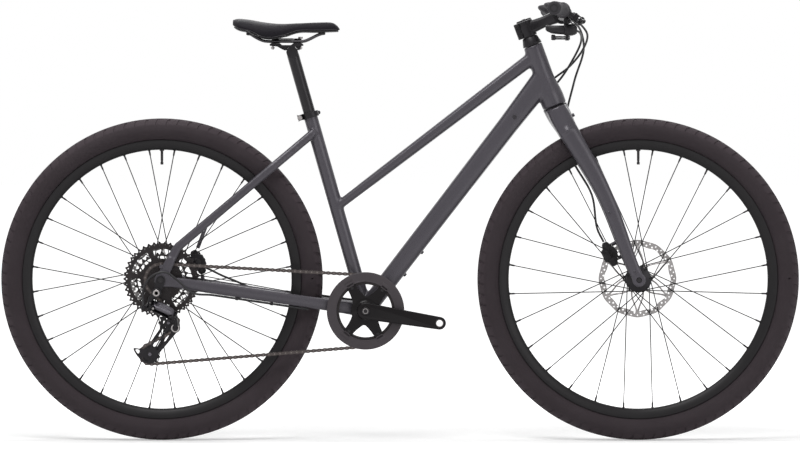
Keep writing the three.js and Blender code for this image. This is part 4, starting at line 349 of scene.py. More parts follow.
def turned(bm, profile, at, axis=LEFT, sides=48, closed=None):
    """A profile of (radius, height) pairs spun round an axis, closed unless an end lies on the axis."""
    out = UP.rotation_difference(axis).to_matrix() @ FORWARD
    at = Vector(at)
    verts = [bm.verts.new(at + out * r + axis * h) for r, h in profile]
    pairs = list(zip(verts, verts[1:]))
    if closed is None:
        closed = profile[0][0] > 0 and profile[-1][0] > 0
    if closed:
        pairs.append((verts[-1], verts[0]))
    edges = [bm.edges.new(pair) for pair in pairs]
    bmesh.ops.spin(bm, geom=verts + edges, cent=at, axis=axis, angle=2 * pi, steps=sides, use_merge=True)
    return bm


def sleeve(inner, outer, low, high):
    """Profile of a tube, or of a solid cylinder where its inner radius is zero."""
    return [(inner, low), (outer, low), (outer, high), (inner, high)]


def at_angle(radius, angle, y=0):
    """A step of a radius at an angle round the Y axis, with its own Y."""
    return Vector((radius * cos(angle), y, radius * sin(angle)))


def flat_spot(x, z, radius, angle):
    """A point of an outline, at a radius and an angle from its centre."""
    return x + radius * cos(angle), z + radius * sin(angle)


def ring_edges(bm, points):
    """Edges of a new closed ring through points."""
    verts = [bm.verts.new(point) for point in points]
    return [bm.edges.new((a, b)) for a, b in zip(verts, verts[1:] + verts[:1])]


def skinned(bm, rings):
    """A closed skin over rings that have the same number of points."""
    previous = None
    for ring in rings:
        edges = ring_edges(bm, ring)
        if previous:
            bmesh.ops.bridge_loops(bm, edges=previous + edges)
        else:
            bmesh.ops.holes_fill(bm, edges=edges, sides=0)
        previous = edges
    bmesh.ops.holes_fill(bm, edges=previous, sides=0)


def plate(bm, outline, y0, y1, holes=()):
    """A flat plate standing in the XZ plane between two y values, with holes."""
    edges = []
    for loop in (outline, *holes):
        edges += ring_edges(bm, [(x, y0, z) for x, z in loop])
    filled = bmesh.ops.triangle_fill(bm, use_beauty=True, edges=edges)
    faces = [f for f in filled["geom"] if isinstance(f, bmesh.types.BMFace)]
    raise_faces(bm, faces, (0, y1 - y0, 0))
    return bm


def raise_faces(bm, faces, step):
    """Gives faces a thickness by a copy of them moved by a step."""
    grown = bmesh.ops.extrude_face_region(bm, geom=faces, use_keep_orig=True)
    moved = [v for v in grown["geom"] if isinstance(v, bmesh.types.BMVert)]
    bmesh.ops.translate(bm, verts=moved, vec=step)


def ring_points(x, z, radius, sides):
    return [flat_spot(x, z, radius, 2 * pi * i / sides) for i in range(sides)]


def toothed_points(centre, teeth, rise, fall, start=0.0):
    """Outline of a sprocket: each tooth has a narrow tip and a round root."""
    steps = [(0.0, -fall), (0.2, -fall * 0.62), (0.38, rise * 0.62)]
    steps += [(0.5, rise), (0.62, rise * 0.62), (0.8, -fall * 0.62)]
    found = []
    for i in range(teeth):
        for share, step in steps:
            angle = start + 2 * pi * (i + share) / teeth
            found.append(flat_spot(centre.x, centre.z, pitch_radius(teeth) + step, angle))
    return found


def hull(circles, sides=40):
    """The outline that a band pulled round all the circles would take; a circle is (x, z, radius)."""
    points = sorted(p for x, z, r in circles for p in ring_points(x, z, r, sides))

    def half(listed):
        kept = []
        for p in listed:
            while len(kept) > 1:
                (ax, az), (bx, bz) = kept[-2], kept[-1]
                if (bx - ax) * (p[1] - az) - (bz - az) * (p[0] - ax) > 1e-6:
                    break
                kept.pop()
            kept.append(p)
        return kept[:-1]

    return half(points) + half(points[::-1])


def box(bm, centre, along, across, length, width, height, rounding=0.0, segments=2):
    """A block on given directions, with its edges rounded."""
    x = Vector(along).normalized()
    z = x.cross(Vector(across)).normalized()
    y = z.cross(x)
    made = bmesh.ops.create_cube(bm, size=1)["verts"]
    turn = Matrix((x, y, z)).transposed()
    for vert in made:
        local = Vector((vert.co.x * length, vert.co.y * width, vert.co.z * height))
        vert.co = Vector(centre) + turn @ local
    if rounding:
        edges = list({e for v in made for e in v.link_edges})
        bmesh.ops.bevel(
            bm, geom=edges, offset=rounding, segments=segments, affect="EDGES", profile=0.5, material=-1
        )
    return bm


def bolt(bm, at, axis, radius, height):
    """A round bolt head standing on a point, with a hexagonal socket."""
    at, axis = Vector(at), Vector(axis).normalized()
    rim, bottom = radius * 0.55, height * 0.35
    head = [(0, 0), (radius, 0), (radius, height * 0.75), (radius * 0.86, height), (rim, height)]
    turned(bm, head, at, axis, 24)
    turned(bm, [(rim, height), (radius * 0.52, bottom), (0, bottom)], at, axis, 6)
    return bm


def clean(bm, merge=0.002):
    bmesh.ops.remove_doubles(bm, verts=bm.verts, dist=merge)
    bmesh.ops.dissolve_degenerate(bm, dist=merge / 4, edges=bm.edges)
    bmesh.ops.recalc_face_normals(bm, faces=bm.faces)


def mesh_object(name, bm):
    """A new object in the scene that takes over the shape."""
    mesh = bpy.data.meshes.new(name)
    bm.to_mesh(mesh)
    bm.free()
    obj = bpy.data.objects.new(name, mesh)
    scene.collection.objects.link(obj)
    return obj


def shaded(name, bm, material, crease, merge=0.002):
    """Turns a shape from millimetres to metres and makes it an object with smooth faces and creases."""
    clean(bm, merge)
    bmesh.ops.scale(bm, vec=(MM, MM, MM), verts=bm.verts)
    obj = mesh_object(name, bm)
    obj.data.polygons.foreach_set("use_smooth", [True] * len(obj.data.polygons))
    obj.data.set_sharp_from_angle(angle=radians(crease))
    obj.data.materials.append(material)
    return obj


def finished(name, bm, material, body, replaces=(), edge=0.0, crease=38.0, merge=0.002, segments=2):
    """Makes a shape a piece that rides on a body, with its edges rounded where that is asked."""
    obj = shaded(name, bm, material, crease, merge)
    if edge:
        softened = obj.modifiers.new("softened_edges", "BEVEL")
        softened.width = edge * MM
        softened.segments = segments
        softened.limit_method = "ANGLE"
        softened.angle_limit = radians(40)
    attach(obj, body)
    if replaces:
        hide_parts(*replaces)
    return obj


def worked_shape(holder, *tools):
    """The shape of a helper object after its modifiers; the helpers are removed."""
    bpy.context.view_layer.update()
    evaluated = holder.evaluated_get(bpy.context.evaluated_depsgraph_get())
    result = bmesh.new()
    result.from_mesh(evaluated.to_mesh())
    evaluated.to_mesh_clear()
    for obj in (holder, *tools):
        mesh = obj.data
        bpy.data.objects.remove(obj)
        bpy.data.meshes.remove(mesh)
    return result


def carved(bm, *cutters):
    """The shape with other closed shapes taken away."""
    for shape in (bm, *cutters):
        clean(shape)
    holder = mesh_object("carving", bm)
    tools = [mesh_object("carving_tool", cutter) for cutter in cutters]
    for tool in tools:
        taken = holder.modifiers.new("taken", "BOOLEAN")
        taken.operation = "DIFFERENCE"
        taken.solver = "EXACT"
        taken.object = tool
    return worked_shape(holder, *tools)


def fused(bm, voxel, smoothing):
    """Closed shapes melted into one skin, with small fillets where they met."""
    clean(bm)
    holder = mesh_object("melting", bm)
    remesh = holder.modifiers.new("melted", "REMESH")
    remesh.mode = "VOXEL"
    remesh.voxel_size = voxel
    result = worked_shape(holder)
    axes = {"use_axis_x": True, "use_axis_y": True, "use_axis_z": True}
    for _ in range(smoothing):
        bmesh.ops.smooth_vert(result, verts=result.verts, factor=0.5, **axes)
    return result


# Main points of the bicycle, in millimetres
REAR = Vector((-541.9, 0, 366))
FRONT = Vector((541.9, 0, 366))
BB = Vector((-78.3, 0, 296))
SEAT_ANGLE, STEER_ANGLE = 74.1, 70
SEAT_AXIS = Vector((-cos(radians(SEAT_ANGLE)), 0, sin(radians(SEAT_ANGLE))))
STEER_AXIS = Vector((-cos(radians(STEER_ANGLE)), 0, sin(radians(STEER_ANGLE))))
STEER_NORMAL = Vector((STEER_AXIS.z, 0, -STEER_AXIS.x))
CROWN = FRONT + STEER_AXIS * 432 - STEER_NORMAL * 44


def steerer(t):
    return CROWN + STEER_AXIS * t


def seat_tube(t):
    return BB + SEAT_AXIS * t


DOWN_TUBE_TOP = steerer(72)
POST_HEAD = seat_tube(610)
PHOTO_MIDDLE_X = 400.1
PHOTO_AXLE_Y = 279.2


def from_photo(px, py):
    """A point in the bicycle's middle plane, from its pixel in the photograph."""
    return Vector(((px - PHOTO_MIDDLE_X) * MM_PER_PIXEL, 0, (PHOTO_AXLE_Y - py) * MM_PER_PIXEL + REAR.z))


# Tyres
TYRE_RADIUS = 366
RIM_EDGE = 317
TREAD_CUTS = 92
RIB_PITCH = 1.1


def centred_on(tree, axle):
    """Object coordinates measured from an axle, at the Vector output of the node that is returned."""
    place = node(tree, "TexCoord")
    centred = node(tree, "Mapping", Location=tuple(-c * MM for c in axle))
    wire(tree, (place, "Object", centred, "Vector"))
    return centred


def tyre_rubber(axle, name):
    """Matt tread over a smoother side wall, told apart by the distance from the axle."""
    material, tree, shader = new_material(name)
    mottle = mottled(tree, (0.036, 0.0265, 0.031), (0.053, 0.041, 0.047), 0.72, 0.12, 800, 16)
    centred = centred_on(tree, axle)
    flat = node(tree, "VectorMath", operation="MULTIPLY")
    flat.inputs[1].default_value = (1, 0, 1)
    reach = node(tree, "VectorMath", operation="LENGTH")
    ribs = node(tree, "Math", operation="SINE")
    pitch = node(tree, "Math", operation="MULTIPLY")
    pitch.inputs[1].default_value = 2 * pi / (RIB_PITCH * MM)
    wall = node(tree, "MapRange", From_Min=(TYRE_RADIUS - 12) * MM, From_Max=(TYRE_RADIUS - 16) * MM)
    rib_height = node(tree, "Math", operation="MULTIPLY")
    height = node(tree, "Math", operation="ADD")
    shade = node(tree, "Mix", data_type="RGBA")
    lighter = node(tree, "Mix", data_type="RGBA", blend_type="MULTIPLY")
    lighter.inputs["Factor"].default_value = 1
    lighter.inputs["B"].default_value = (0.82, 0.82, 0.82, 1)
    raised = node(tree, "Bump", Strength=0.5, Distance=0.0004)
    wire(
        tree,
        (centred, "Vector", flat, 0),
        (flat, "Vector", reach, 0),
        (reach, "Value", pitch, 0),
        (pitch, "Value", ribs, 0),
        (reach, "Value", wall, "Value"),
        (ribs, "Value", rib_height, 0),
        (wall, "Result", rib_height, 1),
        (rib_height, "Value", height, 0),
        (mottle, "Height", height, 1),
        (height, "Value", raised, "Height"),
        (mottle, "Color", lighter, "A"),
        (wall, "Result", shade, "Factor"),
        (mottle, "Color", shade, "A"),
        (lighter, "Result", shade, "B"),
        (shade, "Result", shader, "Base Color"),
        (mottle, "Roughness", shader, "Roughness"),
        (raised, "Normal", shader, "Normal"),
    )
    shader.inputs["Specular IOR Level"].default_value = 0.22
    return material


def tyre_profile():
    """Half section of the tyre from the rim to the middle of the tread, as (radius, offset)."""
    half = [(RIM_EDGE - 6, 11.4), (RIM_EDGE + 0.6, 12.1)]
    for i in range(1, 8):
        share = i / 7
        half.append((RIM_EDGE + 24 * share, 12.1 + 14.9 * sin(pi / 2 * share) ** 0.8))
    for turn in (14, 27, 34, 42, 50, 58, 66, 72, 75, 78, 84, 90):
        dip = 1.3 if turn == 75 else 0
        angle = radians(turn)
        half.append((341 + (25 - dip) * sin(angle), (27 - dip) * cos(angle)))
    return half


def tyre(side, axle):
    bm = bmesh.new()
    half = tyre_profile()
    profile = half + [(r, -y) for r, y in reversed(half[:-1])]
    steps = TREAD_CUTS * 4
    turned(bm, profile, axle, LEFT, steps)
    bmesh.ops.remove_doubles(bm, verts=bm.verts, dist=0.002)
    bmesh.ops.recalc_face_normals(bm, faces=bm.faces)

    def polar(point):
        out = point - axle
        return hypot(out.x, out.z), atan2(out.z, out.x), out.y

    cuts = []
    for face in bm.faces:
        radius, angle, across = polar(face.calc_center_median())
        column = int((angle / (2 * pi) % 1) * steps)
        shoulder = 11.5 < abs(across) < 23.4 and radius > 352
        middle = 7.0 < abs(across) < 10.6 and radius > 360
        if (shoulder and column % 4 == 0) or (middle and column % 8 == 4):
            cuts.append(face)
    bmesh.ops.inset_region(
        bm, faces=cuts, thickness=0.35, depth=-1.7, use_boundary=True, use_even_offset=True
    )
    for vert in bm.verts:
        radius, angle, across = polar(vert.co)
        if radius > 341:
            lean = 0.00115 * max(0, abs(across) - 2)
            angle += lean
            vert.co = axle + at_angle(radius, angle, across)
    material = tyre_rubber(axle, side + "_tyre_rubber")
    return finished(
        side + "_tyre_tread", bm, material, side + "_wheel", [side + "_tyre"], crease=32,
        merge=0.001,
    )


# Rims, spokes and hubs
RIM_INNER = 294.5
SPOKE_CIRCLE = 26


def rim(side, axle, nipples):
    bm = bmesh.new()
    half = [
        (RIM_INNER, 3.5), (RIM_INNER + 0.4, 6.2), (RIM_INNER + 2.2, 8.6), (302, 11.6), (309, 14.0),
        (313, 14.9),
    ]
    half += [
        (RIM_EDGE - 0.6, 15), (RIM_EDGE, 14.4), (RIM_EDGE, 13.2), (RIM_EDGE - 1, 12.6), (310, 11.4),
        (309, 9.5),
    ]
    turned(bm, half + [(r, -y) for r, y in reversed(half)], axle, LEFT, 216)
    clean(bm)
    for foot, direction in nipples:
        turned(bm, [(0, -1), (3.2, -1), (3.2, 0.6), (2.6, 1.1), (0, 1.1)], foot, direction, 12)
    return finished(
        side + "_rim_band", bm, RIM_BLACK, side + "_wheel", [side + "_rim"], crease=30
    )


def spoke_lines(axle, count, left_flange, right_flange):
    step = 2 * pi / count
    found = []
    for k in range(count):
        on_left = k % 2 == 1
        trailing = (k // 2) % 2 == 0
        rim_angle = (k + 0.5) * step
        hub_angle = rim_angle + (-6 * step if trailing else 6 * step)
        offset = (left_flange if on_left else right_flange) + (1.6 if trailing else -1.6)
        start = axle + Vector((SPOKE_CIRCLE * sin(hub_angle), offset, SPOKE_CIRCLE * cos(hub_angle)))
        end_y = 2.5 if on_left else -2.5
        end = axle + Vector((RIM_INNER * sin(rim_angle), end_y, RIM_INNER * cos(rim_angle)))
        found.append((start, end, 1 if trailing else -1))
    return found


def wheel(side, axle, width, left_flange, right_flange, rotor_at, shell_right, count):
    body = side + "_wheel"
    tyre(side, axle)
    lines = spoke_lines(axle, count, left_flange, right_flange)
    nipples = [(end, (start - end).normalized()) for start, end, _ in lines]
    rim(side, axle, nipples)

    bm = bmesh.new()
    for start, end, face in lines:
        run = (end - start).normalized()
        bend = start + Vector((0, -face * 4.2, 0))
        elbow = [bend, start + Vector((0, -face * 1.2, 0)), start + run * 2.6]
        tube(bm, [*smooth_path(elbow, 3), start.lerp(end, 0.5), end - run * 13], 1.15, 8)
        turned(bm, [(0, -0.6), (2.1, -0.6), (1.8, 0.4), (0, 0.9)], bend, LEFT * -face, 10)
    finished(side + "_spokes", bm, SPOKE_STEEL, body, crease=50)

    bm = bmesh.new()
    for start, end, _ in lines:
        run = (start - end).normalized()
        turned(bm, [(0, 0.4), (2.1, 0.4), (2.1, 9.5), (1.5, 12.5), (1.1, 13.6), (0, 13.6)], end, run, 10)
    finished(side + "_spoke_nipples", bm, BOLT_STEEL, body, crease=50)

    bm = bmesh.new()
    end = width / 2 - 0.4

    def flange(y, sign):
        half = [(15.5, 5.2), (19, 3.2), (27.5, 2.2), (29, 1.2)]
        return [(r, y - sign * h) for r, h in half] + [(r, y + sign * h) for r, h in reversed(half)]

    middle = (left_flange + right_flange) / 2
    profile = [
        (6.4, -end),
        (9.4, -end),
        (10, -end + 0.6),
        (10, -end + 5),
        (shell_right, -end + 5.6),
        (shell_right, right_flange - 6),
        *flange(right_flange, 1),
        (12.5, right_flange + 12),
        (12, middle),
        (12.5, left_flange - 12),
        *flange(left_flange, 1),
        (17, left_flange + 6),
        (17, rotor_at + 2.5),
        (13, rotor_at + 3.5),
        (12, rotor_at + 5),
        (10, min(rotor_at + 6, end - 1)),
        (10, end - 0.6),
        (9.4, end),
        (6.4, end),
    ]
    turned(bm, profile, axle, LEFT, 64)
    finished(side + "_hub_shell", bm, ALLOY, body, [side + "_hub_and_spokes"], crease=32)

    valve = bmesh.new()
    foot = axle + UP * (RIM_INNER - 0.2)
    profile = [(0, -1), (5.2, -1), (5.2, 2.2), (3.1, 2.6), (3.1, 3), (3, 24), (2.6, 24.6), (2.6, 27)]
    profile += [(3.4, 27.4), (3.4, 33), (2.4, 33.4), (0, 33.4)]
    turned(valve, profile, foot, -UP, 20)
    finished(side + "_valve", valve, BOLT_STEEL, body, [side + "_inner_tube"], crease=35)


# Brake rotors
def brushed_steel(axle, name):
    """Bright steel with fine turning lines round the axle."""
    material, tree, shader = new_material(name)
    mottle = mottled(tree, (0.215, 0.205, 0.206), (0.30, 0.288, 0.285), 0.30, 0.08, 1200, 45)
    centred = centred_on(tree, axle)
    reach = node(tree, "VectorMath", operation="LENGTH")
    lines = node(tree, "TexNoise", noise_dimensions="1D", Scale=2600.0, Detail=2.0)
    raised = node(tree, "Bump", Strength=0.35, Distance=0.0002)
    wire(
        tree,
        (centred, "Vector", reach, 0),
        (reach, "Value", lines, "W"),
        (lines, "Fac", raised, "Height"),
        (raised, "Normal", shader, "Normal"),
        (mottle, "Color", shader, "Base Color"),
        (mottle, "Roughness", shader, "Roughness"),
    )
    shader.inputs["Metallic"].default_value = 1.0
    return material


def rotor(side, axle, y, radius):
    body = side + "_wheel"
    band, lobes, holes = 14, 12, 36
    cx, cz = axle.x, axle.z

    def wavy(middle, depth, phase):
        """A ring whose radius swells and shrinks once for each lobe."""
        found = []
        for i in range(180):
            angle = 2 * pi * i / 180
            found.append(flat_spot(cx, cz, middle + depth * cos(lobes * angle + phase), angle))
        return found

    bm = bmesh.new()
    openings = [wavy(radius - band + 0.4, 1.6, 0.6)]
    for i in range(holes):
        turn = 2 * pi * i / holes
        for row, size in ((radius - 4.6, 1.7), (radius - 9.8, 2.1)):
            angle = turn + (0 if row > radius - 6 else pi / holes)
            openings.append(ring_points(*flat_spot(cx, cz, row, angle), size, 10))
    plate(bm, wavy(radius, 0.8, 0), axle.y + y - 0.9, axle.y + y + 0.9, openings)
    foot, tip = 30.5, radius - band + 2.4
    for i in range(6):
        turn = 2 * pi * i / 6
        for lean in (-1, 1):
            a0 = turn + lean * 0.10
            a1 = turn + lean * 0.50
            line = []
            for k in range(9):
                angle = a0 + (a1 - a0) * sin(k / 8 * pi / 2) ** 1.3
                r = foot + (tip - foot) * (k / 8)
                line.append(Vector((cx + r * cos(angle), axle.y + y, cz + r * sin(angle))))
            frames = [(LEFT, run.cross(LEFT)) for run in runs_along(line)]
            sweep(bm, line, [1.8] * 9, [4.6, 4.2, 3.8, 3.6, 3.6, 3.6, 3.8, 4.2, 4.8], 4, frames=frames)
    finished(
        side + "_rotor_band", bm, brushed_steel(axle, side + "_rotor_steel"), body,
        [side + "_rotor"], crease=30,
    )

    bm = bmesh.new()
    outline = []
    for i in range(120):
        angle = 2 * pi * i / 120
        r = 29.5 + 4.2 * max(0, cos(6 * angle)) ** 0.7 - 1.6 * max(0, -cos(6 * angle))
        outline.append(flat_spot(cx, cz, r, angle))
    plate(bm, outline, axle.y + y - 2.4, axle.y + y + 2.4, [ring_points(cx, cz, 17.4, 48)])
    finished(side + "_rotor_carrier", bm, ALLOY, body, edge=0.5)

    bm = bmesh.new()
    for i in range(6):
        angle = 2 * pi * i / 6
        for sign in (-1, 1):
            at = Vector((cx + 28.6 * cos(angle), axle.y + y + sign * 2.2, cz + 28.6 * sin(angle)))
            bolt(bm, at, LEFT * sign, 3.0, 1.5)
    turned(bm, [
        (17.3, 1.6), (20, 1.6), (20.6, 2.4), (20.6, 3.4), (19.6, 4.2), (13, 4.2), (12.4, 3.4)
    ], axle + LEFT * y, LEFT, 48, closed=False)
    finished(side + "_rotor_rivets", bm, BRIGHT, body, crease=35)


wheel("front", FRONT, 100, 22, -34, 38.5, 14, 28)
wheel("rear", REAR, 142, 34, -19, 56, 17, 32)
rotor("front", FRONT, 38.5, 88)
rotor("rear", REAR, 56, 80)


# Cassette
CHAIN_PITCH = 12.7
CHAIN_Y = -50
COGS = [11, 13, 15, 18, 21, 24, 30, 42]
COG_STEP = 4.8
COG_ARMS = 6
CHAINRING_TEETH = 40
PULLEY_TEETH = 11
COG_WINDOWS = {24: (28, 40), 30: (38, 54), 42: (48, 70)}


def pitch_radius(teeth):
    return CHAIN_PITCH / 2 / sin(pi / teeth)


def window(centre, inner, outer, start, end, corner=2.0):
    """A window between two arms: two arcs about a centre, with its corners cut."""
    found = []
    middle = (inner + outer) / 2
    steps = 8
    for radius, a, b in ((outer, start, end), (inner, end, start)):
        cut = corner / radius * (1 if b > a else -1)
        for k in range(steps + 1):
            found.append(flat_spot(centre.x, centre.z, radius, a + cut + (b - a - 2 * cut) * k / steps))
        pull = radius + copysign(min(corner, abs(middle - radius) * 0.8), middle - radius)
        for reach in (pull, middle * 2 - pull):
            found.append(flat_spot(centre.x, centre.z, reach, b))
    return found


def cassette():
    bm = bmesh.new()
    spider = bmesh.new()
    for i, teeth in enumerate(COGS):
        y = CHAIN_Y + (i - 3) * COG_STEP
        holes = [ring_points(REAR.x, REAR.z, 17.5, 48)]
        if teeth >= 24:
            inner, outer = COG_WINDOWS[teeth]
            for k in range(COG_ARMS):
                start = 2 * pi * k / COG_ARMS + 0.13 * i
                holes.append(window(REAR, inner, outer, start + 0.10, start + 2 * pi / COG_ARMS - 0.10))
        if teeth == 42:
            for k in range(teeth):
                angle = 2 * pi * (k + 0.5) / teeth + 0.2 * i
                spot = pitch_radius(teeth) - 5.6
                holes.append(ring_points(*flat_spot(REAR.x, REAR.z, spot, angle), 1.6, 8))
        plate(bm, toothed_points(REAR, teeth, 2.0, 3.6, 0.2 * i), y - 0.9, y + 0.9, holes)
        if i:
            outer = 21 if teeth < 24 else 26
            turned(spider, sleeve(17.6, outer, y - 1.2, y - COG_STEP + 1.2), REAR, LEFT, 48)
            for k in range(COG_ARMS if teeth >= 24 else 0):
                angle = 2 * pi * k / COG_ARMS + 0.13 * i
                reach = pitch_radius(COGS[i - 1]) - 13
                at = REAR + at_angle(reach, angle, y - COG_STEP / 2)
                turned(spider, sleeve(0, 2.4, -1.5, 1.5), at, LEFT, 12)
    finished("cassette_cogs", bm, COG_STEEL, "cassette", ["cassette"], crease=30)
    finished("cassette_spacers", spider, ALLOY, "cassette", crease=30)

    bm = bmesh.new()
    face = CHAIN_Y - 3 * COG_STEP - 0.9
    turned(bm, [
        (17, face + 0.4), (17, face - 1.4), (16.4, face - 2.2), (11, face - 2.2), (10.4, face - 1.4),
        (10.4, face + 6), (17, face + 6),
    ], REAR, LEFT, 60)
    turned(bm, sleeve(10.8, 17.3, -34, face + 0.2), REAR, LEFT, 48)
    for k in range(24):
        angle = 2 * pi * k / 24
        at = REAR + at_angle(14.6, angle, face - 2.3)
        box(bm, at, at_angle(1, angle), LEFT, 2.2, 0.5, 0.8)
    finished("cassette_lockring", bm, BOLT_STEEL, "cassette", crease=30)


cassette()


# Chain
GUIDE = Vector((-524.8, 0, 268.6))
TENSION = Vector((-567.4, 0, 197.3))


def chain_route():
    """Wheels that the chain runs round, as centre, radius and turning sense."""
    small = pitch_radius(PULLEY_TEETH)
    wheels = [
        (BB, pitch_radius(CHAINRING_TEETH), 1), (TENSION, small, 1), (GUIDE, small, -1),
        (REAR, pitch_radius(18), 1),
    ]
    tangents = []
    for k, (at, r, sense) in enumerate(wheels):
        other, other_r, other_sense = wheels[(k + 1) % len(wheels)]
        dx, dz = other.x - at.x, other.z - at.z
        reach = hypot(dx, dz)
        shift = sense * r - other_sense * other_r
        angle = atan2(dz, dx) - atan2(shift, sqrt(reach * reach - shift * shift))
        out = Vector((-sin(angle), 0, cos(angle)))
        tangents.append((at + out * (sense * r), other + out * (other_sense * other_r)))
    line = []
    for k, (at, r, sense) in enumerate(wheels):
        entry, leave = tangents[k - 1][1], tangents[k][0]
        a0 = atan2(entry.z - at.z, entry.x - at.x)
        a1 = atan2(leave.z - at.z, leave.x - at.x)
        swing = (a0 - a1) * sense % (2 * pi)
        steps = max(2, int(swing * r / 1.5))
        for i in range(steps + 1):
            angle = a0 - sense * swing * i / steps
            line.append(Vector((at.x + r * cos(angle), 0, at.z + r * sin(angle))))
    return line


def chain_pins():
    """Places of the pins, evenly spaced along the closed route."""
    line = chain_route()
    closed = line + line[:1]
    lengths = [(b - a).length for a, b in zip(closed, closed[1:])]
    total = sum(lengths)
    count = 2 * round(total / CHAIN_PITCH / 2)
    pins, gone, k = [], 0.0, 0
    for i in range(count):
        target = total * i / count
        while gone + lengths[k] < target:
            gone += lengths[k]
            k += 1
        pins.append(closed[k].lerp(closed[k + 1], (target - gone) / max(lengths[k], 1e-6)))
    return pins


def link_outline(a, b, end, waist):
    """A link plate's outline: round ends and a narrower waist."""
    run = (b - a).normalized()
    found = []
    for centre, heading in ((b, run), (a, -run)):
        side = Vector((-heading.z, 0, heading.x))
        for k in range(7):
            angle = radians(-100 + 200 * k / 6)
            found.append(centre + heading * (end * cos(angle)) + side * (end * sin(angle)))
        found.append((a + b) / 2 + side * waist)
    return [(p.x, p.z) for p in found]


def chain():
    plates, rollers = bmesh.new(), bmesh.new()
    pins = chain_pins()
    for i, a in enumerate(pins):
        b = pins[(i + 1) % len(pins)]
        outer = i % 2
        y = 2.55 if outer else 1.45
        for sign in (-1, 1):
            low, high = sorted((CHAIN_Y + sign * y, CHAIN_Y + sign * (y + 0.95)))
            plate(plates, link_outline(a, b, 4.2 if outer else 4.1, 2.7 if outer else 3.0), low, high)
        at = Vector((a.x, CHAIN_Y, a.z))
        turned(rollers, sleeve(0, 1.7, -3.75, 3.75), at, LEFT, 10)
        turned(rollers, sleeve(1.8, 3.7, -1.3, 1.3), at, LEFT, 12)
    finished("chain_plates", plates, CHAIN_STEEL, "frame", ["chain"], crease=40)
    finished("chain_rollers", rollers, ROLLER_STEEL, "frame", crease=40)


chain()


# Crankset
CRANK_TILT = -9.3
CRANK_RUN = at_angle(1, radians(CRANK_TILT))
CRANK_LENGTH = 170
CRANK_IN, CRANK_OUT = 61, 74
SPIDER_ANGLES = [radians(degrees + CRANK_TILT) for degrees in (60, 130, 240, 308)]


def crank_arm(side):
    """One arm: a long tapering bar with rounded edges, a round boss and an eye for the pedal."""
    sign = 1 if side == "left" else -1
    run = CRANK_RUN * -sign
    tip = BB + run * CRANK_LENGTH
    y0, y1 = sorted((sign * CRANK_IN, sign * CRANK_OUT))
    bm = bmesh.new()
    outline = hull([(BB.x, BB.z, 19), (tip.x, tip.z, 14.5)], 56)
    plate(bm, outline, y0, y1)
    clean(bm)
    top = [e for e in bm.edges if len(e.link_faces) == 2 and e.calc_face_angle(0) > 1.2]
    bmesh.ops.bevel(bm, geom=top, offset=3.0, segments=4, affect="EDGES", profile=0.5, material=-1)
    eye = plate(bmesh.new(), ring_points(tip.x, tip.z, 7, 40), y0 - 3, y1 + 3)
    well = bmesh.new()
    face = sign * CRANK_OUT
    turned(well, sleeve(0, 10.2, -5, 4), BB + LEFT * face, LEFT * sign, 40)
    lip = turned(bmesh.new(), sleeve(0, 11.2, -0.7, 4), tip + LEFT * face, LEFT * sign, 40)
    bm = carved(bm, eye, well, lip)
    return bm, tip, sign, face


def spider():
    """Four arms in uneven pairs that carry the chainring, in one piece with the right arm's boss."""
    bm = bmesh.new()
    for angle in SPIDER_ANGLES:
        run = at_angle(1, angle)
        side = Vector((-run.z, 0, run.x))
        stations = [(10, 44), (24, 36), (36, 28), (48, 23), (60, 21), (69, 21)]
        outline = [BB + run * s + side * (w / 2) for s, w in stations]
        outline += [BB + run * s - side * (w / 2) for s, w in reversed(stations)]
        plate(bm, [(p.x, p.z) for p in outline], -55.4, -51.4)
    turned(bm, [
        (11.3, -60.6), (18.6, -60.6), (21, -57.5), (25, -55.6), (33, -55.2), (33, -51.4), (11.3, -51.4)
    ], BB, LEFT, 56)
    return bm


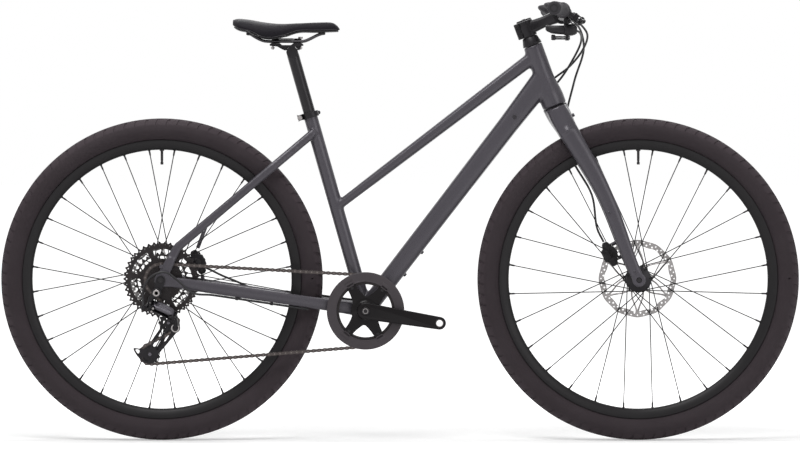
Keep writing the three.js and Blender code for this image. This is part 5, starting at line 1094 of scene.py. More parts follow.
def crankset():
    for side in ("right", "left"):
        bm, tip, sign, face = crank_arm(side)
        finished(
            side + "_crank_forging", bm, CRANK_BLACK, "crankset", [side + "_crank_arm"],
            crease=35,
        )
        bm = turned(bmesh.new(), sleeve(7.05, 8.3, -0.7, -0.1), tip + LEFT * face, LEFT * sign, 40)
        finished(side + "_pedal_eye_ring", bm, BRIGHT, "crankset", crease=35)
        bm = turned(
            bmesh.new(), [(0, -4.6), (9.6, -4.6), (9.6, -1.4), (8.7, -0.8), (4.6, -0.8)], BB + LEFT * face,
            LEFT * sign, 40,
        )
        turned(bm, [(4.6, -0.8), (4.4, -3.8), (0, -3.8)], BB + LEFT * face, LEFT * sign, 6)
        finished(side + "_crank_bolt", bm, BOLT_STEEL, "crankset", crease=35)
        bm = turned(bmesh.new(), sleeve(4.9, 5.9, -0.9, -0.6), BB + LEFT * face, LEFT * sign, 40)
        finished(side + "_crank_bolt_ring", bm, BRIGHT, "crankset", crease=35)
    finished("crank_spider", spider(), CRANK_BLACK, "crankset", edge=0.7)

    bm = turned(bmesh.new(), sleeve(0, 10.9, -59, 60), BB, LEFT, 40)
    finished("crank_axle", bm, BOLT_STEEL, "crankset", crease=35)

    bm = bmesh.new()
    holes = [ring_points(BB.x, BB.z, 60, 96)]
    for k in range(20):
        angle = 2 * pi * (k + 0.5) / 20
        holes.append(ring_points(*flat_spot(BB.x, BB.z, 72.6, angle), 1.5, 8))
    plate(bm, toothed_points(BB, CHAINRING_TEETH, 2.0, 3.6), -51.05, -48.95, holes)
    for angle in SPIDER_ANGLES:
        plate(bm, ring_points(*flat_spot(BB.x, BB.z, 60, angle), 8, 24), -51, -49)
    finished("chainring_teeth", bm, COG_STEEL, "crankset", ["chainring"], crease=30)

    bm = bmesh.new()
    profile = [(66, -58.6), (66.5, -58.8), (68.2, -58.8), (68.8, -58.3), (85, -58.1), (87.2, -57.8)]
    profile += [(88, -57.2), (88, -56.3), (87.4, -55.9), (66.6, -55.9), (66, -56.4)]
    turned(bm, profile, BB, LEFT, 144)
    for angle in SPIDER_ANGLES:
        run = at_angle(1, angle)
        for reach, long, wide in ((71.5, 9, 20), (66.5, 6, 16)):
            at = BB + run * reach + LEFT * -57.3
            box(bm, at, run, LEFT.cross(run), long, wide, 3.0, 0.7, 2)
    finished("chain_guard_disc", bm, GUARD_PLASTIC, "crankset", ["chain_guard"], crease=32)

    bm = bmesh.new()
    for angle in SPIDER_ANGLES:
        at = BB + at_angle(60, angle, -55.4)
        bolt(bm, at, -LEFT, 3.6, 1.6)
    finished("chainring_bolts", bm, BOLT_STEEL, "crankset", crease=35)


CRANK_BLACK = surface(
    "gloss_black_forging", (0.0035, 0.0022, 0.003), (0.006, 0.0045, 0.0052), 0.20, 0.04, 1200, 18, 0.01,
    0.1, 0.17,
)
GUARD_PLASTIC = surface(
    "guard_plastic", (0.046, 0.039, 0.044), (0.060, 0.052, 0.057), 0.46, 0.08, 1900, 28, 0.10, 0.0, 0.25
)
crankset()


# Frame tubes
def straight_tube(bm, start, end, high, wide, table, power):
    """A hydroformed tube whose height and width change along it."""
    steps = 24
    shares = [k / steps for k in range(steps + 1)]
    rows = [blended(table, share) for share in shares]
    up = (end - start).normalized().cross(LEFT) * -1
    points = [start.lerp(end, share) for share in shares]
    wides, highs = [wide * row[1] for row in rows], [high * row[0] for row in rows]
    sweep(bm, points, wides, highs, 40, power, [(LEFT, up)] * len(points))


DOWN_TUBE = [[0, 0.93, 0.92], [0.4, 0.97, 1], [0.8, 1.03, 0.96], [1, 1.2, 0.8]]
TOP_TUBE = [[0, 0.66, 0.9], [0.5, 0.82, 1], [1, 1, 1]]
SEAT_STAY = [
    [0, 0.19, 1, 1],
    [0.1, 0.3, 1, 1],
    [0.17, 0.42, 1, 0.95],
    [0.26, 0.56, 1, 0.9],
    [0.55, 0.74, 1, 0.9],
    [0.86, 0.93, 1.05, 0.75],
    [0.92, 1, 1.2, 0.53],
    [1, 1, 1.3, 0.53],
]
CHAIN_STAY = [
    [0, 0.27, 1.25, 1.3],
    [0.1, 0.42, 1.1, 0.85],
    [0.2, 0.515, 1.03, 0.72],
    [0.34, 0.6, 1, 1],
    [0.58, 0.75, 1, 1],
    [0.82, 0.9, 1, 0.8],
    [0.9, 1, 0.96, 0.47],
    [1, 1, 0.75, 0.47],
]
STAY_TOP = seat_tube(422)
STAY_KNEE = Vector((-505.9, 0, 439))
SEAT_STAY_LINE = [STAY_TOP, STAY_KNEE, REAR]
DROPOUT_OUT = 75


def along_path(corners, share):
    """A point at a share of the length of a line of straight runs."""
    lengths = [(b - a).length for a, b in zip(corners, corners[1:])]
    left = share * sum(lengths)
    for a, b, length in zip(corners, corners[1:], lengths):
        if left <= length:
            return a.lerp(b, left / length)
        left -= length
    return corners[-1].copy()


def stay_point(corners, table, share, sign):
    out, high, thick = blended(table, share)
    point = along_path(corners, share)
    point.y = sign * DROPOUT_OUT * out
    return point, high, thick


def stay(bm, corners, table, sign, high, thick):
    """One bent stay, with its height and thickness from a table of shares."""
    steps = 40
    rows = [stay_point(corners, table, k / steps, sign) for k in range(steps + 1)]
    points = [row[0] for row in rows]
    frames = []
    for run in runs_along(points):
        side = (LEFT - run * LEFT.dot(run)).normalized()
        frames.append((side, run.cross(side)))
    sweep(bm, points, [thick * row[2] for row in rows], [high * row[1] for row in rows], 28, 2.6, frames)


HANGER_BOLT = REAR + Vector((-9.3, 0, -28.2))
CABLE_PORTS = [0.83, 0.87]
STAY_EYE_PIXELS = ((292.5, 149.2), (268.9, 176.8), (233.3, 200.9))
DROPOUT_EYE_PIXEL = (162.5, 265.5)


def frame_tubes():
    """All painted tubes melted into one skin, as the smooth joints of the real frame look."""
    bm = bmesh.new()
    straight_tube(bm, BB, DOWN_TUBE_TOP, 45, 50, DOWN_TUBE, 3.2)
    straight_tube(bm, seat_tube(243), steerer(127), 31, 34, TOP_TUBE, 3.0)
    tube(bm, [seat_tube(t) for t in (2, 120, 240, 360, 468)], 15.9, 48)
    profile = [(0, 3), (27.4, 3), (28, 3.8), (28, 21.4)]
    for k in range(1, 13):
        share = k / 12
        profile.append((28 - 6 * (3 * share**2 - 2 * share**3), 21.4 + 55.1 * share))
    profile += [(22, 149.2), (21.4, 150), (0, 150)]
    turned(bm, profile, CROWN, STEER_AXIS, 72)
    turned(bm, [
        (0, -36.5), (20.9, -36.5), (21.5, -35.7), (21.5, 35.7), (20.9, 36.5), (0, 36.5)
    ], BB, LEFT, 64)
    for sign in (-1, 1):
        stay(bm, SEAT_STAY_LINE, SEAT_STAY, sign, 20, 15)
        stay(bm, [BB, REAR], CHAIN_STAY, sign, 27, 17)
        y0, y1 = sorted((sign * 71.2, sign * 78.8))
        for line, radius in ((SEAT_STAY_LINE, 8), ([BB, REAR], 9)):
            end = along_path(line, 0.9)
            plate(bm, hull([(REAR.x, REAR.z, 15), (end.x, end.z, radius)]), y0, y1)
    for line, table, radius in ((SEAT_STAY_LINE, SEAT_STAY, 5), ([BB, REAR], CHAIN_STAY, 6.5)):
        end, _, _ = stay_point(line, table, 0.17, 1)
        tube(bm, [Vector((end.x, y, end.z)) for y in (-end.y, 0, end.y)], radius, 24)
    bm = fused(bm, 2.25, 6)
    cutters = []
    for at, axis, radius, low, high in (
        (CROWN, STEER_AXIS, 17.4, -5, 160),
        (BB, LEFT, 17.4, -60, 60),
        (REAR, LEFT, 6.5, -90, 90),
        (seat_tube(265), SEAT_AXIS, 13.9, 0, 215),
    ):
        cutters.append(turned(bmesh.new(), sleeve(0, radius, low, high), at, axis, 48))
    bm = carved(bm, *cutters)
    finished("frame_skin", bm, PAINT, "frame", ["frame"], crease=50)


def hanger():
    bm = plate(
        bmesh.new(), hull([(REAR.x, REAR.z, 10.5), (HANGER_BOLT.x, HANGER_BOLT.z, 9)]), -86.2, -79.4,
        [ring_points(REAR.x, REAR.z, 6.4, 32)],
    )
    finished("mech_hanger", bm, ALLOY, "frame", ["derailleur_hanger"], edge=1.0)
    bm = bmesh.new()
    for sign in (-1, 1):
        turned(bm, sleeve(10.8, 12.6, 78.6, 79.3), REAR, LEFT * sign, 40)
    finished("dropout_rings", bm, PAINT, "frame", crease=35)


def small_frame_parts():
    """Threaded eyes, bottle bosses and cable ports on the frame."""
    bm = bmesh.new()
    down_run = (DOWN_TUBE_TOP - BB).normalized()
    down_up = down_run.cross(LEFT) * -1
    for reach in (118, 182):
        at = BB + down_run * reach + down_up * 21.2
        turned(bm, [(0, -2), (5.4, -2), (5.2, 1.1), (3.6, 1.6), (0, 1.6)], at, down_up, 24)
        bolt(bm, at + down_up * 1.4, down_up, 4.0, 2.4)
    for px, py in STAY_EYE_PIXELS:
        spot = from_photo(px, py)
        share = min(
            (k / 200 for k in range(201)), key=lambda s: (along_path(SEAT_STAY_LINE, s) - spot).length
        )
        for sign in (-1, 1):
            place, _, thick = stay_point(SEAT_STAY_LINE, SEAT_STAY, share, sign)
            turned(
                bm, [(0, -3), (3.9, -3), (3.9, 1.0), (3.2, 1.5), (0, 1.5)],
                place + LEFT * (sign * 7.5 * thick), LEFT * sign, 20,
            )
    for sign in (-1, 1):
        at = from_photo(*DROPOUT_EYE_PIXEL) + LEFT * (sign * 79)
        turned(bm, [(0, -1), (4.6, -1), (4.6, 0.9), (3.8, 1.4), (0, 1.4)], at, LEFT * sign, 24)
    finished("frame_bosses", bm, PAINT, "frame", crease=35)

    bm = bmesh.new()
    for share in CABLE_PORTS:
        at = BB.lerp(DOWN_TUBE_TOP, share) + LEFT * 24.5
        turned(bm, [(2.6, -1), (5.2, -1), (5.2, 1.2), (4.4, 2.2), (2.9, 2.6), (2.6, 2)], at, LEFT, 24)
    blank = BB.lerp(DOWN_TUBE_TOP, 0.832) - LEFT * 24.2
    turned(bm, [(0, -2), (4.6, -2), (4.6, 0.8), (3.8, 1.4), (1.6, 1.5), (0, 0.9)], blank, -LEFT, 24)
    finished("cable_grommets", bm, RUBBER, "frame", crease=40)


frame_tubes()
hanger()
small_frame_parts()


# Headset and bottom bracket
def bearings():
    bm = turned(bmesh.new(), [
        (14.6, 0.4), (27.2, 0.4), (27.9, 0.9), (27.9, 2.2), (27.2, 2.6), (14.6, 2.6)
    ], CROWN, STEER_AXIS, 72)
    finished("lower_headset_ring", bm, ALLOY, "frame", ["headset_lower"], crease=30)

    bm = bmesh.new()
    profile = [(14.6, 150.4), (21.3, 150.4), (22, 151), (22, 153.6), (21.2, 154.1), (21.4, 154.6)]
    profile += [(21.3, 155.6), (17.6, 168.8), (16.4, 170.6), (14.6, 170.9)]
    turned(bm, profile, CROWN, STEER_AXIS, 72)
    finished("upper_headset_cone", bm, ALLOY, "frame", ["headset_upper"], crease=30)

    bm = bmesh.new()
    for sign in (-1, 1):
        turned(bm, [
            (11.2, 36.7), (20, 36.7), (20.5, 37.2), (20.5, 40), (19.8, 40.6), (12, 40.6), (11.2, 40)
        ], BB, LEFT * sign, 64)
        for k in range(16):
            angle = 2 * pi * k / 16
            at = BB + at_angle(17.4, angle, sign * 40.8)
            box(bm, at, at_angle(1, angle), LEFT, 3.4, 0.7, 2.0)
    finished("bottom_bracket_cups", bm, ALLOY, "frame", ["bottom_bracket"], crease=30)


bearings()


# Fork
LEG_RUN = FRONT - CROWN
LEG_DOWN = LEG_RUN.normalized()
REARWARD = Vector((LEG_RUN.z, 0, -LEG_RUN.x)).normalized()
LEG_SHARES = [
    [0, 1.05, 0.34, 1.75],
    [0.06, 1.12, 0.5, 1.5],
    [0.135, 1.06, 0.74, 1.12],
    [0.29, 0.97, 0.82, 0.95],
    [0.5, 0.82, 0.9, 0.8],
    [0.75, 0.74, 0.96, 0.62],
    [0.93, 0.64, 1, 0.43],
    [1, 0.6, 1, 0.43],
]
LEG_EYE_PIXELS = ((608.5, 212.2), (634.1, 271.1))
CROWN_EYE_PIXELS = ((574.6, 114.3), (552.8, 125))
CROWN_SHARES = [[0, 1.27, 0.46], [0.05, 1.25, 0.62], [0.1, 1.15, 0.86], [0.14, 1.05, 1]]


def leg_point(share, out=0.0):
    bow = -14 * sin(pi * share) ** 2
    return CROWN + LEG_RUN * share + REARWARD * bow + LEFT * (56 * out)


def leg_share(spot):
    """How far down the legs a point lies, from the crown to the axle."""
    return (spot - CROWN).dot(LEG_RUN) / LEG_RUN.length_squared


def fork():
    bm = bmesh.new()
    steps = 36
    for sign in (-1, 1):
        points, wides, highs = [], [], []
        for k in range(steps + 1):
            share = k / steps
            high, out, thick = blended(LEG_SHARES, share)
            points.append(leg_point(share, sign * out))
            wides.append(28 * thick)
            highs.append(44 * high)
        sweep(bm, points, wides, highs, 40, 2.5, [(LEFT, REARWARD)] * len(points))
    points, wides, highs = [], [], []
    for k in range(-1, 9):
        share = 0.14 * k / 8
        high, wide = blended(CROWN_SHARES, max(share, 0))
        points.append(leg_point(share))
        wides.append(122 * wide)
        highs.append(44 * high)
    sweep(bm, points, wides, highs, 48, 2.5, [(LEFT, REARWARD)] * len(points))
    for sign in (-1, 1):
        y0, y1 = sorted((sign * 50, sign * 62))
        plate(bm, ring_points(FRONT.x, FRONT.z, 15.6, 48), y0, y1)
    bm = fused(bm, 1.8, 6)
    above = box(bmesh.new(), CROWN + STEER_AXIS * 50.2, STEER_NORMAL, LEFT, 300, 300, 100)
    space = [(0, -33), (374, -33), (375.5, -31), (375.5, 31), (374, 33), (0, 33)]
    wheel_space = turned(bmesh.new(), space, FRONT, LEFT, 180)
    axle = turned(bmesh.new(), sleeve(0, 6.4, -80, 80), FRONT, LEFT, 32)
    bm = carved(bm, above, wheel_space, axle)
    finished("fork_legs_and_crown", bm, PAINT, "fork", ["fork"], crease=40)

    bm = turned(bmesh.new(), sleeve(0, 14.3, -1, 204), CROWN, STEER_AXIS, 40)
    turned(bm, [(14.5, -0.1), (27.4, -0.1), (27.9, 0.1), (27.9, 0.33), (14.5, 0.33)], CROWN, STEER_AXIS, 64)
    finished("steerer_tube", bm, ALLOY, "fork", crease=35)

    bm = bmesh.new()
    for sign in (-1, 1):
        for px, py in LEG_EYE_PIXELS:
            spot = from_photo(px, py)
            _, reach, thick = blended(LEG_SHARES, min(max(leg_share(spot), 0), 1))
            at = Vector((spot.x, sign * (56 * reach + 14 * thick), spot.z))
            turned(bm, [
                (0, -3.5), (4.4, -3.5), (4.4, 0.6), (3.6, 1.2), (1.9, 1.2), (1.9, -1.5), (0, -1.5)
            ], at, LEFT * sign, 24)
    for px, py in CROWN_EYE_PIXELS:
        spot = from_photo(px, py)
        out = (spot - leg_point(leg_share(spot))).normalized()
        inside = spot - out * 3
        turned(bm, [
            (0, -4), (4.2, -4), (4.2, 1.2), (3.2, 2.2), (1.6, 2.2), (1.6, 0), (0, 0)
        ], inside, out, 24)
    finished("fork_threaded_eyes", bm, PAINT, "fork", crease=35)


fork()


def axles():
    profile = [(0, -61.5), (5.2, -61.5), (6, -60.8), (6, 62.3), (9, 62.3), (9.6, 62.9)]
    profile += [(9.6, 67.4), (8.9, 68.2), (4.4, 68.2), (4.4, 63.5), (0, 63.5)]
    bm = turned(bmesh.new(), profile, FRONT, LEFT, 40)
    finished("front_thru_axle", bm, BOLT_STEEL, "fork", ["front_axle"], crease=30)


axles()


# Brake calipers
def caliper(side, body, centre, along, out, mount_side):
    """Two cheeks over the rotor with a bridge, piston bulges, bolts and a hose fitting."""
    along, out = along.normalized(), out.normalized()

    def at(a, o, y=0.0):
        return centre + along * a + out * o + LEFT * y

    half = [(12, -16.5), (17, -9), (24, -8), (29, -4), (29, 5), (25, 9), (16, 10), (11, 16.5)]
    shape = [(-a, o) for a, o in half[3::-1]] + half + [(-a, o) for a, o in half[:3:-1]]
    bm = bmesh.new()
    for y0, y1 in ((-14.6, -6.2), (6.2, 14.6)):
        plate(bm, [(at(a, o).x, at(a, o).z) for a, o in shape], centre.y + y0, centre.y + y1)
    for a0, a1 in ((-26, -16), (-11, 11), (16, 26)):
        low, high = (5, 9) if abs(a0 + a1) > 1 else (11, 16)
        box(bm, at((a0 + a1) / 2, (low + high) / 2), along, LEFT, a1 - a0, 12.6, high - low)
    for sign in (-1, 1):
        turned(bm, [
            (0, 13.5), (10.4, 13.5), (10.4, 14.6), (9.6, 15.2), (0, 15.2)
        ], at(0, -3), LEFT * sign, 32)
    finished(side + "_caliper_body", bm, ALLOY, body, [side + "_caliper"], edge=1.0)

    bm = bmesh.new()
    for a in (-17, 17):
        bolt(bm, at(a, 9.6, mount_side * 10.3), out, 4.6, 3.6)
    for a in (-21, 21):
        bolt(bm, at(a, 0, -14.6), -LEFT, 3.6, 1.4)
    turned(bm, [(0, 0), (3.2, 0), (3.2, 1.6), (2.2, 2.2), (0, 2.2)], at(0, 16.3, -8), out, 16)
    finished(side + "_caliper_bolts", bm, BOLT_STEEL, body, crease=35)

    for sign, name in ((1, "left"), (-1, "right")):
        pad = side + "_pad_" + name
        low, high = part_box(pad)
        middle = (Vector(low) + Vector(high)) / (2 * MM)
        half = (high[1] - low[1]) / (2 * MM)
        bm = bmesh.new()
        outline = [(-12, -8), (-9, -9), (9, -9), (12, -8), (12, 5), (7, 9), (-7, 9), (-12, 5)]
        for y0, y1, shrink in (
            (sign * -half, sign * (half - 1.9), 0.9), (sign * (half - 1.9), sign * half, 1)
        ):
            y0, y1 = sorted((y0, y1))
            spots = [middle + along * (a * shrink) + out * (o * shrink) for a, o in outline]
            plate(bm, [(p.x, p.z) for p in spots], middle.y + y0, middle.y + y1)
        finished(pad + "_backed", bm, BOLT_STEEL, pad, [pad], edge=0.3)


def caliper_posts(side, body, pairs):
    """Round posts from the tubes to the caliper that they carry."""
    bm = bmesh.new()
    for start, end in pairs:
        reach = (end - start).length
        profile = [(0, 0), (4.5, 0), (4.5, reach - 0.8), (3.7, reach), (0, reach)]
        turned(bm, profile, start, (end - start).normalized(), 24)
    finished(side + "_caliper_posts", bm, PAINT, body, crease=35)


FRONT_CALIPER = leg_point(0.82) + REARWARD * 37 + LEFT * 38.5
REAR_CALIPER = Vector((REAR.x + 80, 56, REAR.z + 37))
caliper("front", "fork", FRONT_CALIPER, -LEG_DOWN, REARWARD * -1, 1)
caliper("rear", "frame", REAR_CALIPER, Vector((-37, 0, 80)), Vector((80, 0, 37)), 1)
FRONT_POSTS = []
for sign in (-1, 1):
    foot = leg_point(0.82 + 0.0395 * sign)
    head = FRONT_CALIPER + LEG_DOWN * (17 * sign) - REARWARD * 13.5
    foot.y = head.y = 48.8
    FRONT_POSTS.append((foot, head))
caliper_posts("front", "fork", FRONT_POSTS)
REAR_POSTS = []
REAR_UP = Vector((-37, 0, 80)).normalized()
for foot, sign, share in ((STAY_TOP.lerp(STAY_KNEE, 0.79), 1, 0.782), (BB.lerp(REAR, 0.8), -1, 0.642)):
    foot.y = 64.5
    head = REAR_CALIPER + REAR_UP * (17 * sign)
    head.y = 64.5
    REAR_POSTS.append((foot, foot.lerp(head, share)))
caliper_posts("rear", "frame", REAR_POSTS)


# Stem, handlebar, grips
BAR = Vector((368.5, 0, 968.4))
STEM_MIDDLE = steerer(189.9)
STEM_RUN = (BAR - STEM_MIDDLE).normalized()
STEM_UP = STEM_RUN.cross(LEFT) * -1
STEM_BOLTS = [BAR + STEM_UP * (up * 20.4) + LEFT * y for up in (-1, 1) for y in (-15.5, 15.5)]
BAR_END = 338


def bar_point(y):
    past = max(0, abs(y) - 150) / 188
    share = min(1, abs(y) / BAR_END)
    return BAR + Vector((-27 * past**1.5, y, 11.4 * share * share * (3 - 2 * share)))


def stem():
    bm = turned(bmesh.new(), [
        (14.5, 171.6), (17.6, 171.6), (18.5, 172.6), (18.5, 207.2), (17.6, 208.3), (14.5, 208.3)
    ], CROWN, STEER_AXIS, 64)
    stations = [(6, 34, 33), (20, 27, 29), (38, 26, 26), (56, 32, 27), (70, 44, 30), (76, 46, 32)]
    loft(bm, STEM_MIDDLE, STEM_RUN, LEFT, STEM_UP, stations, 40, 3.6)
    for side in (-1, 1):
        box(
            bm, STEM_MIDDLE - STEER_NORMAL * 19.5 + LEFT * (side * 7.4), STEER_NORMAL, LEFT, 12, 12.4, 36.4,
            1.5,
        )
    turned(bm, [(0, -23), (21.4, -23), (22, -22.4), (22, 22.4), (21.4, 23), (0, 23)], BAR, LEFT, 56)
    bore = turned(bmesh.new(), sleeve(0, 16.05, -30, 30), BAR, LEFT, 56)
    front = box(bmesh.new(), BAR + STEM_RUN * 20.2, STEM_RUN, LEFT, 40, 60, 70)
    shaft = turned(bmesh.new(), sleeve(0, 14.4, 165, 215), CROWN, STEER_AXIS, 48)
    bm = carved(bm, bore, front, shaft)
    finished("stem_forging", bm, ALLOY, "fork", ["stem"], edge=0.5, crease=35)

    bm = bmesh.new()
    outline = []
    for radius, sign in ((22, -1), (16.1, 1)):
        for k in range(25):
            outline.append(flat_spot(0, 0, radius, sign * (pi / 2 - pi * k / 24)))
    turned_outline = [BAR + STEM_RUN * max(a, 0.5) + STEM_UP * b for a, b in outline]
    plate(bm, [(p.x, p.z) for p in turned_outline], -23, 23)
    opening = box(bmesh.new(), BAR + STEM_RUN * 20, STEM_RUN, LEFT, 20, 16, 22, 3)
    bm = carved(bm, opening)
    for spot in STEM_BOLTS:
        turned(bm, [(0, 0.5), (5.2, 0.5), (5.2, 8.5), (4.6, 9.2), (0, 9.2)], spot, STEM_RUN, 24)
    finished("stem_face_cap", bm, ALLOY, "fork", ["stem_faceplate"], edge=0.4, crease=35)

    bm = bmesh.new()
    for spot in STEM_BOLTS:
        bolt(bm, spot + STEM_RUN * 9.1, STEM_RUN, 3.9, 2.6)
    for t in (178.5, 201):
        bolt(bm, steerer(t) - STEER_NORMAL * 20.5 - LEFT * 13.5, -LEFT, 4.1, 3.4)
        turned(bm, sleeve(0, 3.1, 0, 2), steerer(t) - STEER_NORMAL * 20.5 + LEFT * 13.5, LEFT, 16)
    finished("stem_bolts", bm, BOLT_STEEL, "fork", crease=35)

    bm = turned(bmesh.new(), [
        (0, 208.5), (17.4, 208.5), (17.7, 209.2), (17.2, 211.2), (15.6, 212.1), (6, 212.3), (5.4, 211.4),
        (0, 211.4),
    ], CROWN, STEER_AXIS, 56)
    finished("stem_top_cap", bm, PLASTIC, "fork", crease=35)
    bm = bolt(bmesh.new(), steerer(211.5), STEER_AXIS, 4.2, 1.8)
    finished("stem_cap_bolt", bm, BOLT_STEEL, "fork", crease=35)


def handlebar():
    bm = bmesh.new()
    ys = [-BAR_END, -337.2, *range(-325, 326, 13), 337.2, BAR_END]
    radii = []
    for y in ys:
        share = min(1, max(0, (abs(y) - 30) / 34))
        radii.append(15.9 - 4.8 * share * share * (3 - 2 * share) - (0.7 if abs(y) == BAR_END else 0))
    tube(bm, [bar_point(y) for y in ys], radii, 36)
    finished("riser_handlebar", bm, ALLOY, "fork", ["handlebar"], crease=40)


def grip(side):
    """A rubber grip with a palm wing, raised ribs and an end plug."""
    sign = 1 if side == "left" else -1
    bm = bmesh.new()
    ys = [207, 209, 212, 216, 240, 265, 290, 315, 334, 338.6, 340.6]
    radii = [17.4, 18.4, 17.8, 15.6, 15.3, 15.2, 15.2, 15.4, 15.6, 15.2, 13.6]
    tube(
        bm, [bar_point(sign * min(y, BAR_END)) + LEFT * (sign * max(0, y - BAR_END)) for y in ys], radii, 40
    )
    reach = Vector((-cos(radians(16)), 0, sin(radians(16))))
    root = bar_point(sign * 290)
    stations = [
        (0, 92, 30), (5, 90, 28), (11, 87, 24.5), (17, 84, 20.5), (22.5, 78, 16.5), (27, 69, 12.5),
        (30.5, 56, 8.5), (32.2, 36, 4.5),
    ]
    loft(bm, root, reach, LEFT, reach.cross(LEFT) * -1, stations, 40, 2.8)
    bm = fused(bm, 1.3, 5)
    bore = tube(bmesh.new(), [bar_point(sign * y) for y in (200, 220, 250, 280, 310, BAR_END)], 11.2, 32)
    bm = carved(bm, bore)
    finished(side + "_grip_rubber", bm, RUBBER, "fork", [side + "_grip"], crease=45)

    bm = bmesh.new()
    for k in range(9):
        spot = bar_point(sign * (222 + 12.4 * k))
        line = [spot + at_angle(14.9, radians(-78 + 13 * i)) for i in range(13)]
        tube(bm, line, [0.2, 0.7] + [0.85] * 9 + [0.7, 0.2], 8)
    finished(side + "_grip_ribs", bm, RUBBER, "fork", crease=60)

    bm = bmesh.new()
    end = bar_point(sign * BAR_END)
    turned(bm, [
        (0, 0.4), (10.8, 0.4), (10.8, 2.3), (9.6, 2.9), (6.4, 2.9), (5.4, 1.2), (0, 1.2)
    ], end, LEFT * sign, 36)
    finished(side + "_bar_plug", bm, PLASTIC, "fork", crease=35)


stem()
handlebar()
grip("left")
grip("right")


# Brake levers and shifter
LEVER_RUN = at_angle(1, radians(-30))
LEVER_UP = Vector((-LEVER_RUN.z, 0, LEVER_RUN.x))
LEVER_REACH = 47
RESERVOIR_REACH = 29
PIVOT_AT = 172.3
SHIFTER_AT = 166
CLAMP_BAND = [(11.6, -5.5), (15, -5.5), (15.5, -5), (15.5, 5), (15, 5.5), (11.6, 5.5)]


def lever_at(sign, y, reach, up=0.0):
    point = bar_point(sign * 190) + LEVER_RUN * reach + LEVER_UP * up
    point.y = sign * y
    return point


def brake_lever(side):
    sign = 1 if side == "left" else -1
    bm = bmesh.new()
    ring = bar_point(sign * 190)
    turned(bm, CLAMP_BAND, ring, LEFT, 40)
    box(bm, ring + LEVER_UP * 14 - LEVER_RUN * 3, LEVER_RUN, LEFT, 12, 11, 7.6, 1.5)
    box(bm, lever_at(sign, 186.5, 17), LEVER_RUN, LEFT, 22, 17, 14, 3)
    points = [lever_at(sign, y, RESERVOIR_REACH) for y in (181.8, 180, 172, 160, 140, 126, 121.5, 120.6)]
    tube(bm, points, [8.2, 9.6, 10, 9.6, 8.8, 8.0, 7.2, 5.6], 32)
    box(bm, lever_at(sign, 155, RESERVOIR_REACH + 1, 6.5), LEVER_RUN, LEFT, 17, 44, 7, 2.5)
    fork_half = [(RESERVOIR_REACH - 2, 7), (LEVER_REACH - 2, 6.5), (LEVER_REACH + 3.5, 4)]
    outline = [(r, -y) for r, y in fork_half[:1]] + fork_half + [(LEVER_REACH + 5, 0)]
    outline += [(r, -y) for r, y in fork_half[:0:-1]]
    for up in (-7.35, 7.35):
        verts = [bm.verts.new(lever_at(sign, PIVOT_AT, r, up - 1.4) + LEFT * y) for r, y in outline]
        raise_faces(bm, [bm.faces.new(verts)], LEVER_UP * 2.8)
    finished(side + "_master_cylinder", bm, ALLOY, "fork", [side + "_brake_mount"], edge=0.6)

    bm = bmesh.new()
    pivot = lever_at(sign, PIVOT_AT, LEVER_REACH)
    for up in (-1, 1):
        bolt(bm, pivot + LEVER_UP * (up * 8.8), LEVER_UP * up, 3.2, 1.4)
    for y in (138, 172):
        bolt(bm, lever_at(sign, y, RESERVOIR_REACH + 1, 9.8), LEVER_UP, 2.2, 1.2)
    bolt(bm, ring + LEVER_UP * 13.8 - LEVER_RUN * 8.9, -LEVER_RUN, 2.6, 1.8)
    turned(
        bm, [(2.6, -1), (4.6, -1), (4.6, 7), (3.8, 8.4), (2.6, 8.4)], lever_at(sign, 121, RESERVOIR_REACH),
        LEFT * -sign, 6,
    )
    finished(side + "_lever_bolts", bm, BOLT_STEEL, "fork", crease=35)

    bm = bmesh.new()
    stations = [
        (PIVOT_AT - 3, 47, 9, 8), (PIVOT_AT + 4, 47, 8.6, 9.5), (190, 47.8, 9.6, 7), (215, 49.5, 10.8, 5.6),
        (245, 51, 11, 5.4), (270, 50.6, 11, 5.6), (284, 50, 10.6, 6.4), (290, 50.2, 9.6, 7.6),
        (294, 50.4, 7, 6.4), (296, 50.4, 3.6, 3.4),
    ]
    points = [lever_at(sign, y, r) for y, r, _, _ in stations]
    wides, highs = [w for *_, w in stations], [h for *_, h, _ in stations]
    sweep(bm, points, wides, highs, 28, 2.6, [(LEVER_RUN, LEVER_UP)] * len(points))
    turned(bm, sleeve(1.9, 5.8, -5.4, 5.4), pivot, LEVER_UP, 28)
    finished(
        side + "_lever_blade", bm, ALLOY, side + "_brake_lever", [side + "_brake_lever"],
        crease=45,
    )


